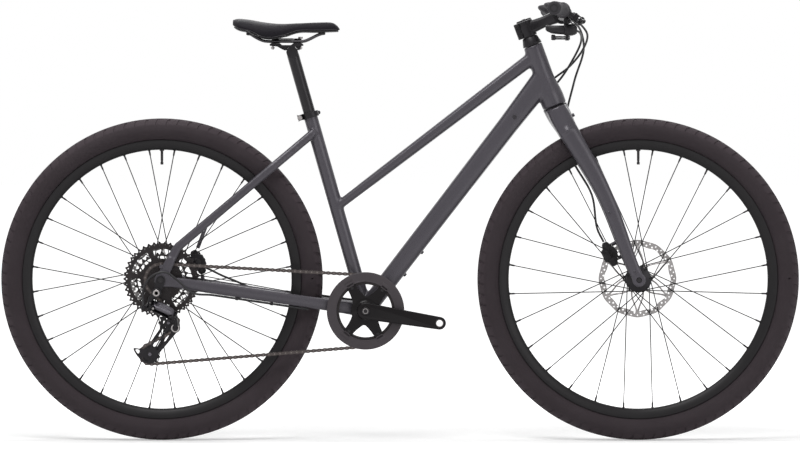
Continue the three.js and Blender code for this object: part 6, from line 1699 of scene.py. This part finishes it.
def shifter():
    """The pod under the bar with its two thumb levers."""
    clamp = bar_point(-SHIFTER_AT)
    pod = Vector((clamp.x + 15, -SHIFTER_AT, clamp.z - 42))
    bm = turned(bmesh.new(), CLAMP_BAND, clamp, LEFT, 40)
    box(bm, (pod + clamp) / 2 + Vector((-3, 0, -2)), UP, LEFT, 34, 11, 9, 1.5)
    stations = [
        (-15, 36, 20), (-13, 41, 24.5), (-6, 46, 26), (3, 48, 26), (10, 44, 22), (14, 38, 17), (15, 30, 12)
    ]
    loft(bm, pod, FORWARD, LEFT, UP, stations, 40, 3.2)
    stations = [(-56, 14, 9), (-53, 22, 14), (-42, 29, 18.5), (-28, 33, 20), (-12, 36, 21)]
    loft(bm, pod, FORWARD, LEFT, UP, stations, 32, 3.0, [UP * lift for lift in (5, 4, 1.5, 0.5, 0)])
    pin = pod + Vector((-7.5, 0, -13))
    turned(bm, sleeve(0, 2.9, -9.3, 2), pin, UP, 20)
    finished("shifter_body", bm, PLASTIC, "fork", ["shifter_pod"], crease=45)

    bm = bmesh.new()
    box(bm, pod + Vector((1, 0, 12.7)), FORWARD, LEFT, 20, 34, 1.6, 0.7)
    turned(
        bm, [(2.7, -2), (5.2, -2), (5.2, 2), (4.4, 8), (2.7, 8.6)], pod + Vector((-1, 23.4, 0)), LEFT, 20
    )
    bolt(bm, clamp + Vector((9, 0, -14)), FORWARD, 3.0, 2.2)
    bolt(bm, pin + UP * -9.2, -UP, 4.6, 1.5)
    finished("shifter_cover", bm, BOLT_STEEL, "fork", edge=0.3)

    for name, drop, splay in (("main", 0.35, 22), ("release", 4.7, -22)):
        run = Vector((-cos(radians(splay)), sin(radians(splay)), 0))
        across = run.cross(UP)
        hub = pin + UP * -drop
        middle = hub + UP * -2
        bm = turned(bmesh.new(), [
            (3.35, -4), (6.1, -4), (6.5, -3.6), (6.5, -0.4), (6.1, 0), (3.35, 0)
        ], hub, UP, 32)
        stations = [(5.5, 8, 3.8), (14, 7.6, 3.8), (25, 8, 3.8), (32, 9.6, 3.9), (35, 9.8, 3.9)]
        loft(bm, middle, run, across, UP, stations, 20, 4)
        tip = middle + run * 33 + UP * 1
        box(bm, tip, UP, across, 8.6, 15, 6, 2.4, 3)
        for k in range(4):
            box(bm, tip + run * 3.05 + UP * (-2.7 + 1.8 * k), across, UP, 11, 0.9, 0.8, 0.3, 1)
        finished(
            name + "_thumb_paddle", bm, PLASTIC, name + "_shift_lever",
            [name + "_shift_lever"], crease=40,
        )


for side in ("left", "right"):
    brake_lever(side)
shifter()


# Hoses and housings
HOSE = 2.5


def hose(name, points, cad_node, body, crossing=None):
    """A hose along listed points; one that crosses a joint stays where it is made and rides on no body."""
    obj = shaded(name, tube(bmesh.new(), smooth_path(points, 8), HOSE, 14), HOSE_BLACK, 50)
    if crossing:
        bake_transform(obj)
    else:
        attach(obj, body)
    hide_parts(cad_node)


def reservoir_end(sign, past):
    return lever_at(sign, 120.3 - past, RESERVOIR_REACH)


PORT_ONE, PORT_TWO = [BB.lerp(DOWN_TUBE_TOP, share) + LEFT * 27 for share in CABLE_PORTS]


def hoses():
    leg = []
    air = HOSE * 2.6
    for index, turn in ((2, 10), (3, 60), (4, 90)):
        share, high, out, thick = LEG_SHARES[index]
        aside = LEFT * (cos(radians(turn)) * (14 * thick + air))
        behind = REARWARD * (sin(radians(turn)) * (22 * high + air))
        leg.append(leg_point(share, out) + aside + behind)
    top = FRONT_CALIPER - LEG_DOWN * 30.4
    high_top = top - LEG_DOWN * 34
    high_top.y = top.y = FRONT_CALIPER.y + 10.2
    hose(
        "front_brake_line",
        [
            reservoir_end(1, 0.35), reservoir_end(1, 4), (412, 92, 935), (420, 78, 890), (398, 76, 815),
            *leg, high_top, top,
        ],
        "front_brake_hose",
        "fork",
    )
    hose(
        "rear_brake_line",
        [
            reservoir_end(-1, 0.35), reservoir_end(-1, 4), (408, -96, 945), (424, -62, 922),
            (415, -12, 888), (386, 30, 850), (350, 44, 822), (312, 36, 790), PORT_TWO + LEFT * 8,
            PORT_TWO + LEFT * 0.7,
        ],
        "rear_brake_hose",
        ("fork", "frame"),
        ((415, -12, 888), (330, 40, 806)),
    )


def housings():
    clamp = bar_point(-SHIFTER_AT)
    pod = Vector((clamp.x + 15, -142, clamp.z - 42))
    hose(
        "shift_line_front",
        [
            pod + LEFT * 0.35, pod + LEFT * 8, (402, -116, 929), (410, -62, 908), (394, -8, 868),
            (364, 30, 820), (322, 52, 776), (285, 46, 745), PORT_ONE + LEFT * 8, PORT_ONE + LEFT * 0.7,
        ],
        "shift_housing_front",
        ("fork", "frame"),
        ((394, -8, 868), (340, 42, 800)),
    )


hoses()
housings()


def under_stay(share):
    """Below the right chain stay, where the tail of the shift housing runs."""
    out, high, _ = blended(CHAIN_STAY, share)
    centre = BB.lerp(REAR, share)
    return Vector((centre.x, -DROPOUT_OUT * out, centre.z - 27 * high / 2 - 2.85))


def tail_housing():
    route = [under_stay(share) for share in (0.28, 0.45, 0.62, 0.75)]
    route += [
        (-470, -84, 338), (-505, -91, 368), (-532, -94, 385), (-562, -94, 376), (-581, -92, 346),
        CABLE_STOP + UP * 6.5,
    ]
    hose(
        "shift_line_tail", route, "shift_housing_tail", ("frame", "derailleur_base"),
        ((-532, -94, 385), (-578, -93, 352)),
    )

    bm = bmesh.new()
    for share in (0.3, 0.46, 0.63):
        at = under_stay(share)
        stay_run = (REAR - BB).normalized()
        turned(bm, [
            (2.55, -3.2), (3.5, -3.2), (3.8, -2.8), (3.8, 2.8), (3.5, 3.2), (2.55, 3.2)
        ], at, stay_run, 20)
        box(bm, at + UP * 3.2, stay_run, LEFT, 7, 5, 2.4, 0.6)
    finished("housing_clips", bm, PLASTIC, "frame", crease=40)

    hose("rear_brake_stub", [
        (-448, 62, 392), (-434, 62, 385.5), (-405, 60.5, 371.5), (-375, 58, 359.5), (-348, 56, 347.5)
    ], "rear_caliper", "frame")


# Rear derailleur
CABLE_STOP = Vector((-581, -89, 304))
LINK_RUN = Vector((0.89443, 0, -0.44721))
LINK_SWING = Vector((-0.33988, 0.65, -0.67976)).normalized()
PIN_AXIS = Vector((0.290674, 0.759962, 0.581349)).normalized()
BASE_PIN = Vector((-556, -84, 309))
CAGE_PIVOT = Vector((-509.4, 0, 257.4))
LUG_MIDDLE = 9.35
LINK_LENGTH = 44
CAGE_PIN = BASE_PIN + LINK_RUN * LINK_LENGTH
LINK_GAP = LINK_SWING * 11


def rod(bm, a, b, radius, sides=16):
    a, b = Vector(a), Vector(b)
    return turned(bm, sleeve(0, radius, 0, (b - a).length), a, (b - a).normalized(), sides)


def link_carrier(bm, pin, away):
    """Lugs on both links' pins, joined by a web that stands clear of the links."""
    push = LINK_RUN * away
    box(bm, pin + LINK_SWING * 5.5 + push * 9, PIN_AXIS, LINK_SWING, 2 * LUG_MIDDLE + 3, 20, 4, 1.2)
    for at in (pin, pin + LINK_GAP):
        for end in (-1, 1):
            centre = at + PIN_AXIS * (end * LUG_MIDDLE)
            rod(bm, centre - PIN_AXIS * 1.5, centre + PIN_AXIS * 1.5, 4.5, 20)
            box(bm, centre + push * 4.5, PIN_AXIS, LINK_SWING, 3, 9, 9, 0.4)


def link(name, start, material):
    """One side of the parallelogram; the outer one carries a broad cover."""
    outer = name == "outer"
    end = start + LINK_RUN * LINK_LENGTH
    bm = bmesh.new()
    above = LINK_RUN.cross(PIN_AXIS)
    stations = [(2, 15, 5), (6, 15.2, 7), (14, 15, 7.4), (30, 14, 7.2), (38, 13.6, 6.6), (42, 13, 5)]
    stations = [(s, w, h * (1.0 if outer else 0.6)) for s, w, h in stations]
    shifts = [LINK_SWING * (-1.2 if outer else 0)] * len(stations)
    loft(bm, start, LINK_RUN, PIN_AXIS, above, stations, 28, 4.5, shifts)
    for at in (start, end):
        rod(bm, at - PIN_AXIS * 7.5, at + PIN_AXIS * 7.5, 4.5, 24)
    if outer:
        cover = [
            (-1, 15, 2.6), (3, 20, 4.6), (10, 23, 5.2), (24, 23.5, 5.4), (36, 22, 5.2), (42, 19, 4.4),
            (45, 14, 2.4),
        ]
        loft(bm, start, LINK_RUN, PIN_AXIS, above, cover, 28, 5, [LINK_SWING * -6.6] * len(cover))
        box(bm, start + LINK_RUN * 22 - LINK_SWING * 9.2, LINK_RUN, PIN_AXIS, 26, 3.0, 1.2, 0.5)
    body = "derailleur_" + name + "_link"
    finished(name + "_link_plate", bm, material, body, [body], edge=0.8)


def pin_heads(bm, first):
    """The pins of both links at one end of them, with domed heads."""
    for pin in (first, first + LINK_GAP):
        rod(bm, pin - PIN_AXIS * (LUG_MIDDLE + 2.2), pin + PIN_AXIS * (LUG_MIDDLE + 2.2), 1.8, 12)
        for end in (-1, 1):
            foot = pin + PIN_AXIS * (end * (LUG_MIDDLE + 1.5))
            turned(bm, [(0, 0), (2.9, 0), (2.5, 0.7), (0, 1)], foot, PIN_AXIS * end, 16)
    return bm


def derailleur():
    bm = bmesh.new()
    arm = Vector((HANGER_BOLT.x, -92.7, HANGER_BOLT.z))
    turned(bm, [
        (0, -98.6), (10, -98.6), (11, -97.6), (11, -87.6), (10, -86.8), (0, -86.8)
    ], HANGER_BOLT, LEFT, 48)
    web = BASE_PIN + LINK_SWING * 5.5 - LINK_RUN * 11
    line = smooth_path([arm + Vector((0, 0, -1)), arm.lerp(web, 0.5) + Vector((-3, -1, 2)), web], 5)
    last = len(line) - 1
    sweep(
        bm, line, [13 - 4 * k / last for k in range(last + 1)],
        [15 - 5 * k / last for k in range(last + 1)], 24, 2.8,
    )
    rod(bm, web, CABLE_STOP, 4.2, 20)
    turned(bm, [(2.7, 4.6), (4.6, 4.6), (5, 4), (5, -4), (4.4, -5), (2.7, -5)], CABLE_STOP, UP, 20)
    link_carrier(bm, BASE_PIN, -1)
    finished("upper_mech_body", bm, ALLOY, "derailleur_base", ["derailleur_base"], crease=40)

    bm = turned(bmesh.new(), [
        (0, -98), (7.8, -98), (7.8, -99.6), (6.9, -100.6), (4.2, -100.6)
    ], HANGER_BOLT, LEFT, 40)
    turned(bm, [(4.2, -100.6), (3.9, -98.6), (0, -98.6)], HANGER_BOLT, LEFT, 6)
    finished("mech_fixing_bolt", bm, BRIGHT, "derailleur_base", crease=35)

    bm = pin_heads(bmesh.new(), BASE_PIN)
    for offset in (-3.4, 3.4):
        bolt(bm, BASE_PIN - LINK_RUN * 11 + LINK_SWING * -4.5 + PIN_AXIS * offset, -LINK_SWING, 1.9, 2.6)
    finished("upper_pin_heads", bm, BRIGHT, "derailleur_base", crease=35)

    # The outer link's lighter grey is partly a painted highlight in its base colour.
    link("outer", BASE_PIN, GREY_ALLOY_PAINTED_HIGHLIGHT)
    link("inner", BASE_PIN + LINK_GAP, ALLOY)

    bm = bmesh.new()
    link_carrier(bm, CAGE_PIN, 1)
    turned(bm, [
        (0, -68.5), (10.2, -68.5), (11, -67.7), (11, -57.4), (10.4, -56.6), (0, -56.6)
    ], CAGE_PIVOT, LEFT, 48)
    start = Vector((CAGE_PIVOT.x, -62.6, CAGE_PIVOT.z))
    web = CAGE_PIN + LINK_SWING * 5.5 + LINK_RUN * 9
    line = smooth_path([start, start.lerp(web, 0.5) + Vector((2, -1, 1)), web], 5)
    sweep(bm, line, [12] * len(line), [11] * len(line), 24, 2.8)
    finished(
        "lower_mech_knuckle", bm, ALLOY, "cage_knuckle", ["derailleur_cage_knuckle"],
        crease=40,
    )

    bm = pin_heads(bmesh.new(), CAGE_PIN)
    finished("lower_pin_heads", bm, BOLT_STEEL, "cage_knuckle", crease=35)
    bm = turned(bmesh.new(), [
        (6.4, -68.4), (9.6, -68.4), (9.6, -69.1), (9, -69.7), (7.2, -69.7), (6.4, -69.0)
    ], CAGE_PIVOT, LEFT, 40)
    finished("spring_cap_ring", bm, BRIGHT, "cage_knuckle", crease=35)

    bm = bmesh.new()
    run = (TENSION - GUIDE).normalized()
    side = Vector((-run.z, 0, run.x))

    def slot_between(s0, s1, offset, half):
        """A rounded slot along the cage, between two distances from the guide pulley."""
        spots = []
        for distance, sign in ((s1, 1), (s0, -1)):
            for k in range(9):
                a = sign * pi / 2 - pi * k / 8
                spots.append(GUIDE + run * (distance + half * cos(a)) + side * (offset + half * sin(a)))
        return [(p.x, p.z) for p in spots]

    outline = hull(
        [(CAGE_PIVOT.x, CAGE_PIVOT.z, 9), (GUIDE.x, GUIDE.z, 8.4), (TENSION.x + 5, TENSION.z + 2, 12)]
    )
    windows = [
        slot_between(17, 37, 10.8, 4.4), slot_between(46, 63, 7.6, 3.6), slot_between(15, 63, -1.8, 3.3)
    ]
    bolt_hole = ring_points(TENSION.x, TENSION.z, 2.2, 12)
    plate(bm, outline, -56.1, -54.5, [*windows, bolt_hole])
    fin = [(-605, 12.5), (-602.5, 6), (-597, -3), (-590, -11), (-582, -18), (-572, -22), (-561, -21)]
    fin += [
        (-552, -15), (-549, -5), (-551, 5), (-557, 12), (-566, 14.5), (-580, 12), (-594, 13.5), (-604, 14.5)
    ]
    rear_window = [(-600.5, 10.5), (-596.5, 3.5), (-592.5, 1.5), (-590, 4.5), (-591.5, 10), (-596, 11.5)]
    low_window = [(-586, -8), (-580, -14), (-573, -17), (-572, -13.5), (-578.5, -10.5), (-583.5, -5.5)]
    fin, rear_window, low_window = [
        [(x, TENSION.z + z) for x, z in points] for points in (fin, rear_window, low_window)
    ]
    plate(bm, fin, -54.4, -53.5, [rear_window, bolt_hole, low_window])
    inner = hull([(GUIDE.x, GUIDE.z, 9), (TENSION.x, TENSION.z, 15)])
    plate(bm, inner, -45.5, -43.9, [slot_between(16, 36, 0, 4.6), slot_between(46, 60, 0, 4.8)])
    finished(
        "pulley_cage_plates", bm, ALLOY, "cage", ["derailleur_cage"], edge=0.35, segments=1
    )

    bm = bmesh.new()
    profile = [(0, -57.6), (3.2, -57.6), (3.9, -56.9), (3.9, -56.1), (2.6, -56.0), (2.6, -44)]
    profile += [(3.4, -43.9), (3.4, -43), (0, -43)]
    for at in (GUIDE, TENSION):
        turned(bm, profile, at, LEFT, 20)
    finished("pulley_bolts", bm, GREY_ALLOY_PAINTED_HIGHLIGHT, "cage", crease=35)

    for name, at in (("guide", GUIDE), ("tension", TENSION)):
        bm = bmesh.new()
        holes = [ring_points(at.x, at.z, 3, 24)]
        for k in range(5):
            holes.append(window(at, 7.6, 12.6, 2 * pi * k / 5 + 0.2, 2 * pi * (k + 1) / 5 - 0.2, 1.0))
        plate(bm, toothed_points(at, PULLEY_TEETH, 1.8, 3.4), CHAIN_Y - 1.1, CHAIN_Y + 1.1, holes)
        turned(bm, [
            (3, -3.2), (5.2, -3.2), (5.6, -2.8), (5.6, 2.8), (5.2, 3.2), (3, 3.2)
        ], at + LEFT * CHAIN_Y, LEFT, 24)
        finished(
            name + "_jockey_wheel", bm, PLASTIC, name + "_pulley", [name + "_pulley"],
            crease=30,
        )


tail_housing()
derailleur()


# Seat collar, seatpost and saddle
SEAT_BEHIND = Vector((-SEAT_AXIS.z, 0, SEAT_AXIS.x))
COLLAR = seat_tube(461.5)
SKEWER = COLLAR + SEAT_BEHIND * 24.08


def seat_collar():
    bm = turned(bmesh.new(), [
        (16.1, -6.5), (19, -6.5), (19.75, -5.8), (19.75, 5.8), (19, 6.5), (16.1, 6.5)
    ], COLLAR, SEAT_AXIS, 64)
    slit = box(bmesh.new(), COLLAR + SEAT_BEHIND * 22, SEAT_BEHIND, LEFT, 22, 2.5, 20)
    bm = carved(bm, slit)
    for side in (-1, 1):
        box(bm, COLLAR + SEAT_BEHIND * 22.5 + LEFT * (side * 7.2), SEAT_BEHIND, LEFT, 11, 11.6, 12.6, 2)
    finished("collar_band", bm, ALLOY, "frame", ["seat_collar"], edge=0.5)

    bm = turned(bmesh.new(), [
        (0, -20), (4.2, -20), (5.4, -19), (5.4, -14), (4.8, -13.2), (3, -13.1), (3, 13.3), (0, 13.3)
    ], SKEWER, LEFT, 24)
    for k in range(12):
        angle = 2 * pi * k / 12
        out = SEAT_BEHIND * cos(angle) + SEAT_AXIS * sin(angle)
        box(bm, SKEWER + out * 5.3 - LEFT * 16.4, LEFT, out, 4.4, 0.9, 1.1)
    finished("collar_skewer", bm, BRIGHT, "frame", crease=40)


def seat_lever():
    bm = bmesh.new()
    pin = SKEWER + LEFT * 19.35
    rod(bm, pin - SEAT_AXIS * 4.9, pin + SEAT_AXIS * 4.9, 5.6, 32)
    stations = [
        (2, 6, 9), (10, 5.4, 9.6), (22, 5, 9.2), (34, 4.8, 9.8), (43, 4.6, 9.6), (47, 3.8, 7), (48, 2.2, 4)
    ]
    shifts = [LEFT * (out * 0.4) for out in (0, 0.4, 1.6, 2.4, 2.6, 2.4, 2.2)]
    loft(bm, pin, -SEAT_BEHIND, LEFT, SEAT_AXIS, stations, 24, 2.8, shifts)
    finished(
        "collar_cam_lever", bm, ALLOY, "seat_clamp_lever", ["seat_clamp_lever"], crease=40
    )


def seatpost():
    """A hollow post with a round head across its top."""
    bm = turned(bmesh.new(), [
        (11.4, 358), (13.1, 358), (13.6, 358.5), (13.6, 600), (13.4, 604), (0, 607)
    ], BB, SEAT_AXIS, 56)
    turned(bm, [(11.4, 358), (11.4, 600), (0, 600)], BB, SEAT_AXIS, 40)
    rod(bm, POST_HEAD - LEFT * 16.6, POST_HEAD + LEFT * 16.6, 13, 48)
    neck = [seat_tube(592), seat_tube(600), POST_HEAD]
    sweep(bm, neck, [27.4, 29, 32], [27.4, 27.4, 26], 32, 2.3, [(LEFT, SEAT_BEHIND)] * 3)
    finished("seatpost_tube", bm, POST_BLACK, "seatpost", ["seatpost"], crease=40)


def saddle_clamp():
    """A cradle that tilts round the post's head, a jaw over the rails and their two bolts."""
    half = [(10, 5.5), (16, 10), (34, 10), (38, 7.5), (38, 4), (22, 2.2), (14, 0)]
    points = [(-x, z) for x, z in half[3::-1]] + half + [(-14, 0), (-22, 2.2), (-38, 4)]
    bm = plate(bmesh.new(), [(CLAMP_X + x, CLAMP_LOW + z) for x, z in points], -27.6, 27.6)
    for side in (-1, 1):
        groove = turned(
            bmesh.new(), sleeve(0, 3.75, -60, 60), (CLAMP_X, side * RAIL_OUT, RAIL_Z), FORWARD, 24
        )
        bm = carved(bm, groove)
    trough = rod(bmesh.new(), POST_HEAD - LEFT * 17.2, POST_HEAD + LEFT * 17.2, 13.3, 48)
    bm = carved(bm, trough)
    belly = [(-36, 14.8), (-30, 10.5), (-22, 6), (-16.4, 3.6)]
    belly += [flat_spot(0, 0, 13.7, radians(160 - 140 / 12 * k)) for k in range(13)]
    belly += [(16.4, 4.4), (19, 8), (21, 14.2)]
    plate(bm, [(POST_HEAD.x + x, POST_HEAD.z + z) for x, z in belly], -17.5, 17.5)
    finished("lower_rail_cradle", bm, ALLOY, "saddle_clamp", ["saddle_clamp"], edge=0.9)

    bm = bmesh.new()
    points = [(-19.6, 0), (-19.6, 2.2), (-14, 3.2), (14, 3.2), (19.6, 2.2), (19.6, 0)]
    plate(bm, [(CLAMP_X + x, 910.85 + z) for x, z in points], -27.6, 27.6)
    for x in (-31.6, 31.6):
        box(bm, (CLAMP_X + x * 0.8, 0, 911.6), FORWARD, LEFT, 16, 13, 4.4, 1.2)
    finished("upper_rail_jaw", bm, ALLOY, "saddle_clamp", edge=0.9)

    bm = bmesh.new()
    for x in (CLAMP_X - 31.6, CLAMP_X + 31.6):
        rod(bm, (x, 0, 888.6), (x, 0, 916.6), 2.5, 16)
        bolt(bm, (x, 0, 893.9), -UP, 4.4, 3.4)
        turned(bm, [(0, 0), (5.4, 0), (5.4, 3.2), (4.6, 4), (0, 4)], (x, 0, 913.4), UP, 24)
    finished("saddle_clamp_bolts", bm, BRIGHT, "saddle_clamp", crease=35)


CLAMP_X = -258
CLAMP_LOW = 893.15
RAIL_OUT = 22
RAIL_Z = 907
RAIL_HALF = [
    (-341, 33, 924.5), (-322, 26, 913), (-309, 22.6, 908), (-300, RAIL_OUT, RAIL_Z),
    (-262, RAIL_OUT, RAIL_Z), (-224, RAIL_OUT, RAIL_Z), (-216, 21.5, 908), (-203, 18.5, 913.5),
    (-188, 13, 921), (-179, 7.5, 924), (-175.5, 0, 924.5),
]
SADDLE_REAR = -379.4
SADDLE_LENGTH = 242
SADDLE_TOP = 958.5
SADDLE_HALF = 77
SADDLE_DEPTH = 26
SADDLE_ROWS = [
    [0, 0.55, 0.1, 0.56],
    [0.05, 0.84, 0, 0.86],
    [0.16, 0.97, 0.08, 1.1],
    [0.3, 0.95, 0.3, 1.66],
    [0.45, 0.7, 0.42, 1.54],
    [0.61, 0.42, 0.36, 1.08],
    [0.78, 0.31, 0.32, 1.05],
    [0.93, 0.25, 0.34, 1],
    [0.977, 0.19, 0.6, 0.98],
    [1, 0.08, 0.88, 0.96],
]


def eased(table, share):
    """A smooth curve through the rows of a table."""
    last = len(table) - 1
    k = max(i for i in range(last) if share >= table[i][0] or i == 0)
    rows = [table[max(k - 1, 0)], table[k], table[k + 1], table[min(k + 2, last)]]
    t = (share - rows[1][0]) / (rows[2][0] - rows[1][0])
    found = []
    for column in range(1, len(table[0])):
        v = [row[column] for row in rows]
        m1 = (v[2] - v[0]) / max(rows[2][0] - rows[0][0], 1e-6) * (rows[2][0] - rows[1][0])
        m2 = (v[3] - v[1]) / max(rows[3][0] - rows[1][0], 1e-6) * (rows[2][0] - rows[1][0])
        first = (2 * t**3 - 3 * t**2 + 1) * v[1] + (t**3 - 2 * t**2 + t) * m1
        found.append(first + (3 * t**2 - 2 * t**3) * v[2] + (t**3 - t**2) * m2)
    return found


def saddle_section(share):
    """A place along the saddle with its half width and the heights of its crown and of its skirt."""
    half, drop, low = eased(SADDLE_ROWS, share)
    x = SADDLE_REAR + SADDLE_LENGTH * share
    return x, SADDLE_HALF * half, SADDLE_TOP - SADDLE_DEPTH * drop, SADDLE_TOP - SADDLE_DEPTH * low


def nose_arch(share):
    """How far the underside rises between the drooping sides of the middle and the nose."""
    return SADDLE_DEPTH * max(0, eased(SADDLE_ROWS, share)[2] - 1.4)


def saddle_cover():
    """The padded top: crowned across, dished along, its skirt tucked in under the shell's edge."""
    bm = bmesh.new()
    rings = []
    steps, around = 72, 33
    for k in range(steps + 1):
        share = 0.5 - 0.5 * cos(pi * k / steps)
        x, half, top, bottom = saddle_section(share)
        arch = nose_arch(share) - 0.8
        groove = 2.4 * exp(-(((share - 0.42) / 0.26) ** 4))
        ring = []
        for i in range(around):
            angle = (-1 + 2 * i / (around - 1)) * pi / 2
            y = half * bent(sin(angle), 2.4)
            z = bottom + (top - bottom) * bent(cos(angle), 2.4)
            ring.append((x, y, z - groove * exp(-((y / 7.5) ** 2))))
        for i in range(1, 12):
            u = 1 - 2 * i / 12
            ring.append((x, half * 0.985 * u, bottom + arch * (1 - u * u)))
        rings.append(ring)
    skinned(bm, rings)
    bmesh.ops.recalc_face_normals(bm, faces=bm.faces)
    cover = finished(
        "saddle_padded_top", bm, saddle_skin(), "saddle", ["saddle_cushion"], crease=70
    )
    rounding = cover.modifiers.new("rounding", "SUBSURF")
    rounding.levels = rounding.render_levels = 1

    bm = bmesh.new()
    for sign in (-1, 1):
        line = []
        for k in range(61):
            x, half, _, bottom = saddle_section(0.02 + 0.96 * k / 60)
            line.append(Vector((x, sign * half, bottom + 1.2)))
        tube(bm, line, [0.5] + [0.9] * 59 + [0.5], 8)
    finished("saddle_edge_piping", bm, RUBBER, "saddle", crease=70)


def saddle_base():
    """The shell under the padding, with its rail sockets, and the bent rail wire."""
    bm = bmesh.new()
    rings = []
    steps = 44
    for k in range(steps + 1):
        share = 0.012 + 0.976 * k / steps
        x, half, _, bottom = saddle_section(share)
        half, z = half * 0.965, bottom - 0.9
        arch = nose_arch(share)
        ring = []
        for i in range(15):
            u = -1 + 2 * i / 14
            ring.append((x, half * u, z + (arch - 1.6) * (1 - u * u)))
        for i in range(15):
            u = 1 - 2 * i / 14
            ring.append((x, half * 0.97 * u, z - 2.6 + (arch - 1.4) * (1 - u * u)))
        rings.append(ring)
    skinned(bm, rings)
    for sign in (-1, 1):
        box(bm, (-340, sign * 33, 924.6), FORWARD, LEFT, 18, 13, 8, 2.5)
    box(bm, (-178, 0, 925.5), FORWARD, LEFT, 16, 26, 8, 2.5)
    finished("saddle_shell", bm, PLASTIC, "saddle", ["saddle_base"], crease=40)

    half = [Vector(p) for p in RAIL_HALF]
    line = smooth_path([*half, *[Vector((p.x, -p.y, p.z)) for p in reversed(half[:-1])]], 5)
    bm = tube(bmesh.new(), line, 3.5, 20)
    finished("saddle_rail_wire", bm, RAIL_STEEL, "saddle", ["saddle_rails"], crease=50)


def saddle_skin():
    """Fine-grained vinyl: small irregular cells with a soft sheen."""
    material, tree, shader = new_material("saddle_vinyl")
    mottle = mottled(tree, (0.0085, 0.0075, 0.010), (0.0135, 0.012, 0.0155), 0.48, 0.08, 1500, 14)
    place = node(tree, "TexCoord")
    cells = node(tree, "TexVoronoi", feature="DISTANCE_TO_EDGE", Scale=900.0)
    creases = node(tree, "MapRange", From_Max=0.12)
    mixed = node(tree, "Math", operation="ADD")
    raised = node(tree, "Bump", Strength=0.22, Distance=0.0004)
    wire(
        tree,
        (place, "Object", cells, "Vector"),
        (cells, "Distance", creases, "Value"),
        (creases, "Result", mixed, 0),
        (mottle, "Height", mixed, 1),
        (mixed, "Value", raised, "Height"),
        (raised, "Normal", shader, "Normal"),
        (mottle, "Color", shader, "Base Color"),
        (mottle, "Roughness", shader, "Roughness"),
    )
    shader.inputs["Specular IOR Level"].default_value = 0.07
    return material


POST_BLACK = surface(
    "seatpost_black", (0.012, 0.011, 0.0125), (0.018, 0.0165, 0.019), 0.30, 0.07, 1900, 24, 0.02, 0.4, 0.35
)
RAIL_STEEL = surface(
    "saddle_rail_steel", (0.035, 0.033, 0.036), (0.055, 0.052, 0.056), 0.28, 0.07, 1500, 60, 0.02, 0.7, 0.3
)
seat_collar()
seat_lever()
seatpost()
saddle_clamp()
saddle_cover()
saddle_base()


# Nodes kept from the CAD, floor and world
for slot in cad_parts["rear_axle"].material_slots:
    slot.material = BOLT_STEEL


def background_rays(tree):
    """A node that gives one where the camera, gloss or glass look at the background, and zero elsewhere."""
    path = node(tree, "LightPath")
    first = node(tree, "Math", operation="MAXIMUM")
    second = node(tree, "Math", operation="MAXIMUM")
    wire(
        tree,
        (path, "Is Camera Ray", first, 0),
        (path, "Is Glossy Ray", first, 1),
        (first, "Value", second, 0),
        (path, "Is Transmission Ray", second, 1),
    )
    return second


def build_floor():
    """A pale floor that keeps the bicycle's shadow and runs out to plain white."""
    bm = bmesh.new()
    bmesh.ops.create_circle(bm, cap_ends=True, radius=30, segments=128)
    bmesh.ops.translate(bm, verts=bm.verts, vec=(0, 0, -0.0006))
    floor = mesh_object("studio_floor", bm)
    material, tree, shader = new_material("studio_floor_paint")
    shader.inputs["Base Color"].default_value = (0.86, 0.86, 0.86, 1)
    shader.inputs["Roughness"].default_value = 0.9
    shader.inputs["Specular IOR Level"].default_value = 0.1
    place = node(tree, "TexCoord")
    reach = node(tree, "VectorMath", operation="LENGTH")
    away = node(tree, "MapRange", From_Min=0.9, From_Max=1.6, To_Min=0.28, interpolation_type="SMOOTHSTEP")
    shown = node(tree, "Math", operation="MULTIPLY")
    glow = node(tree, "Emission")
    both = node(tree, "AddShader")
    wire(
        tree,
        (place, "Object", reach, 0),
        (reach, "Value", away, "Value"),
        (away, "Result", shown, 0),
        (background_rays(tree), "Value", shown, 1),
        (shown, "Value", glow, "Strength"),
        (shader, "BSDF", both, 0),
        (glow, "Emission", both, 1),
        (both, "Shader", tree.nodes["Material Output"], "Surface"),
    )
    floor.data.materials.append(material)


def build_world():
    """White where the camera, gloss or glass look at it, and a moderate fill light elsewhere."""
    world = bpy.data.worlds.new("studio_world")
    scene.world = world
    world.use_nodes = True
    tree = world.node_tree
    backdrop = tree.nodes["Background"]
    backdrop.inputs["Color"].default_value = (1, 1, 1, 1)
    strength = node(tree, "MapRange", To_Min=0.13)
    wire(
        tree,
        (background_rays(tree), "Value", strength, "Value"),
        (strength, "Result", backdrop, "Strength"),
    )


build_floor()
build_world()
scene.view_settings.view_transform = "Standard"
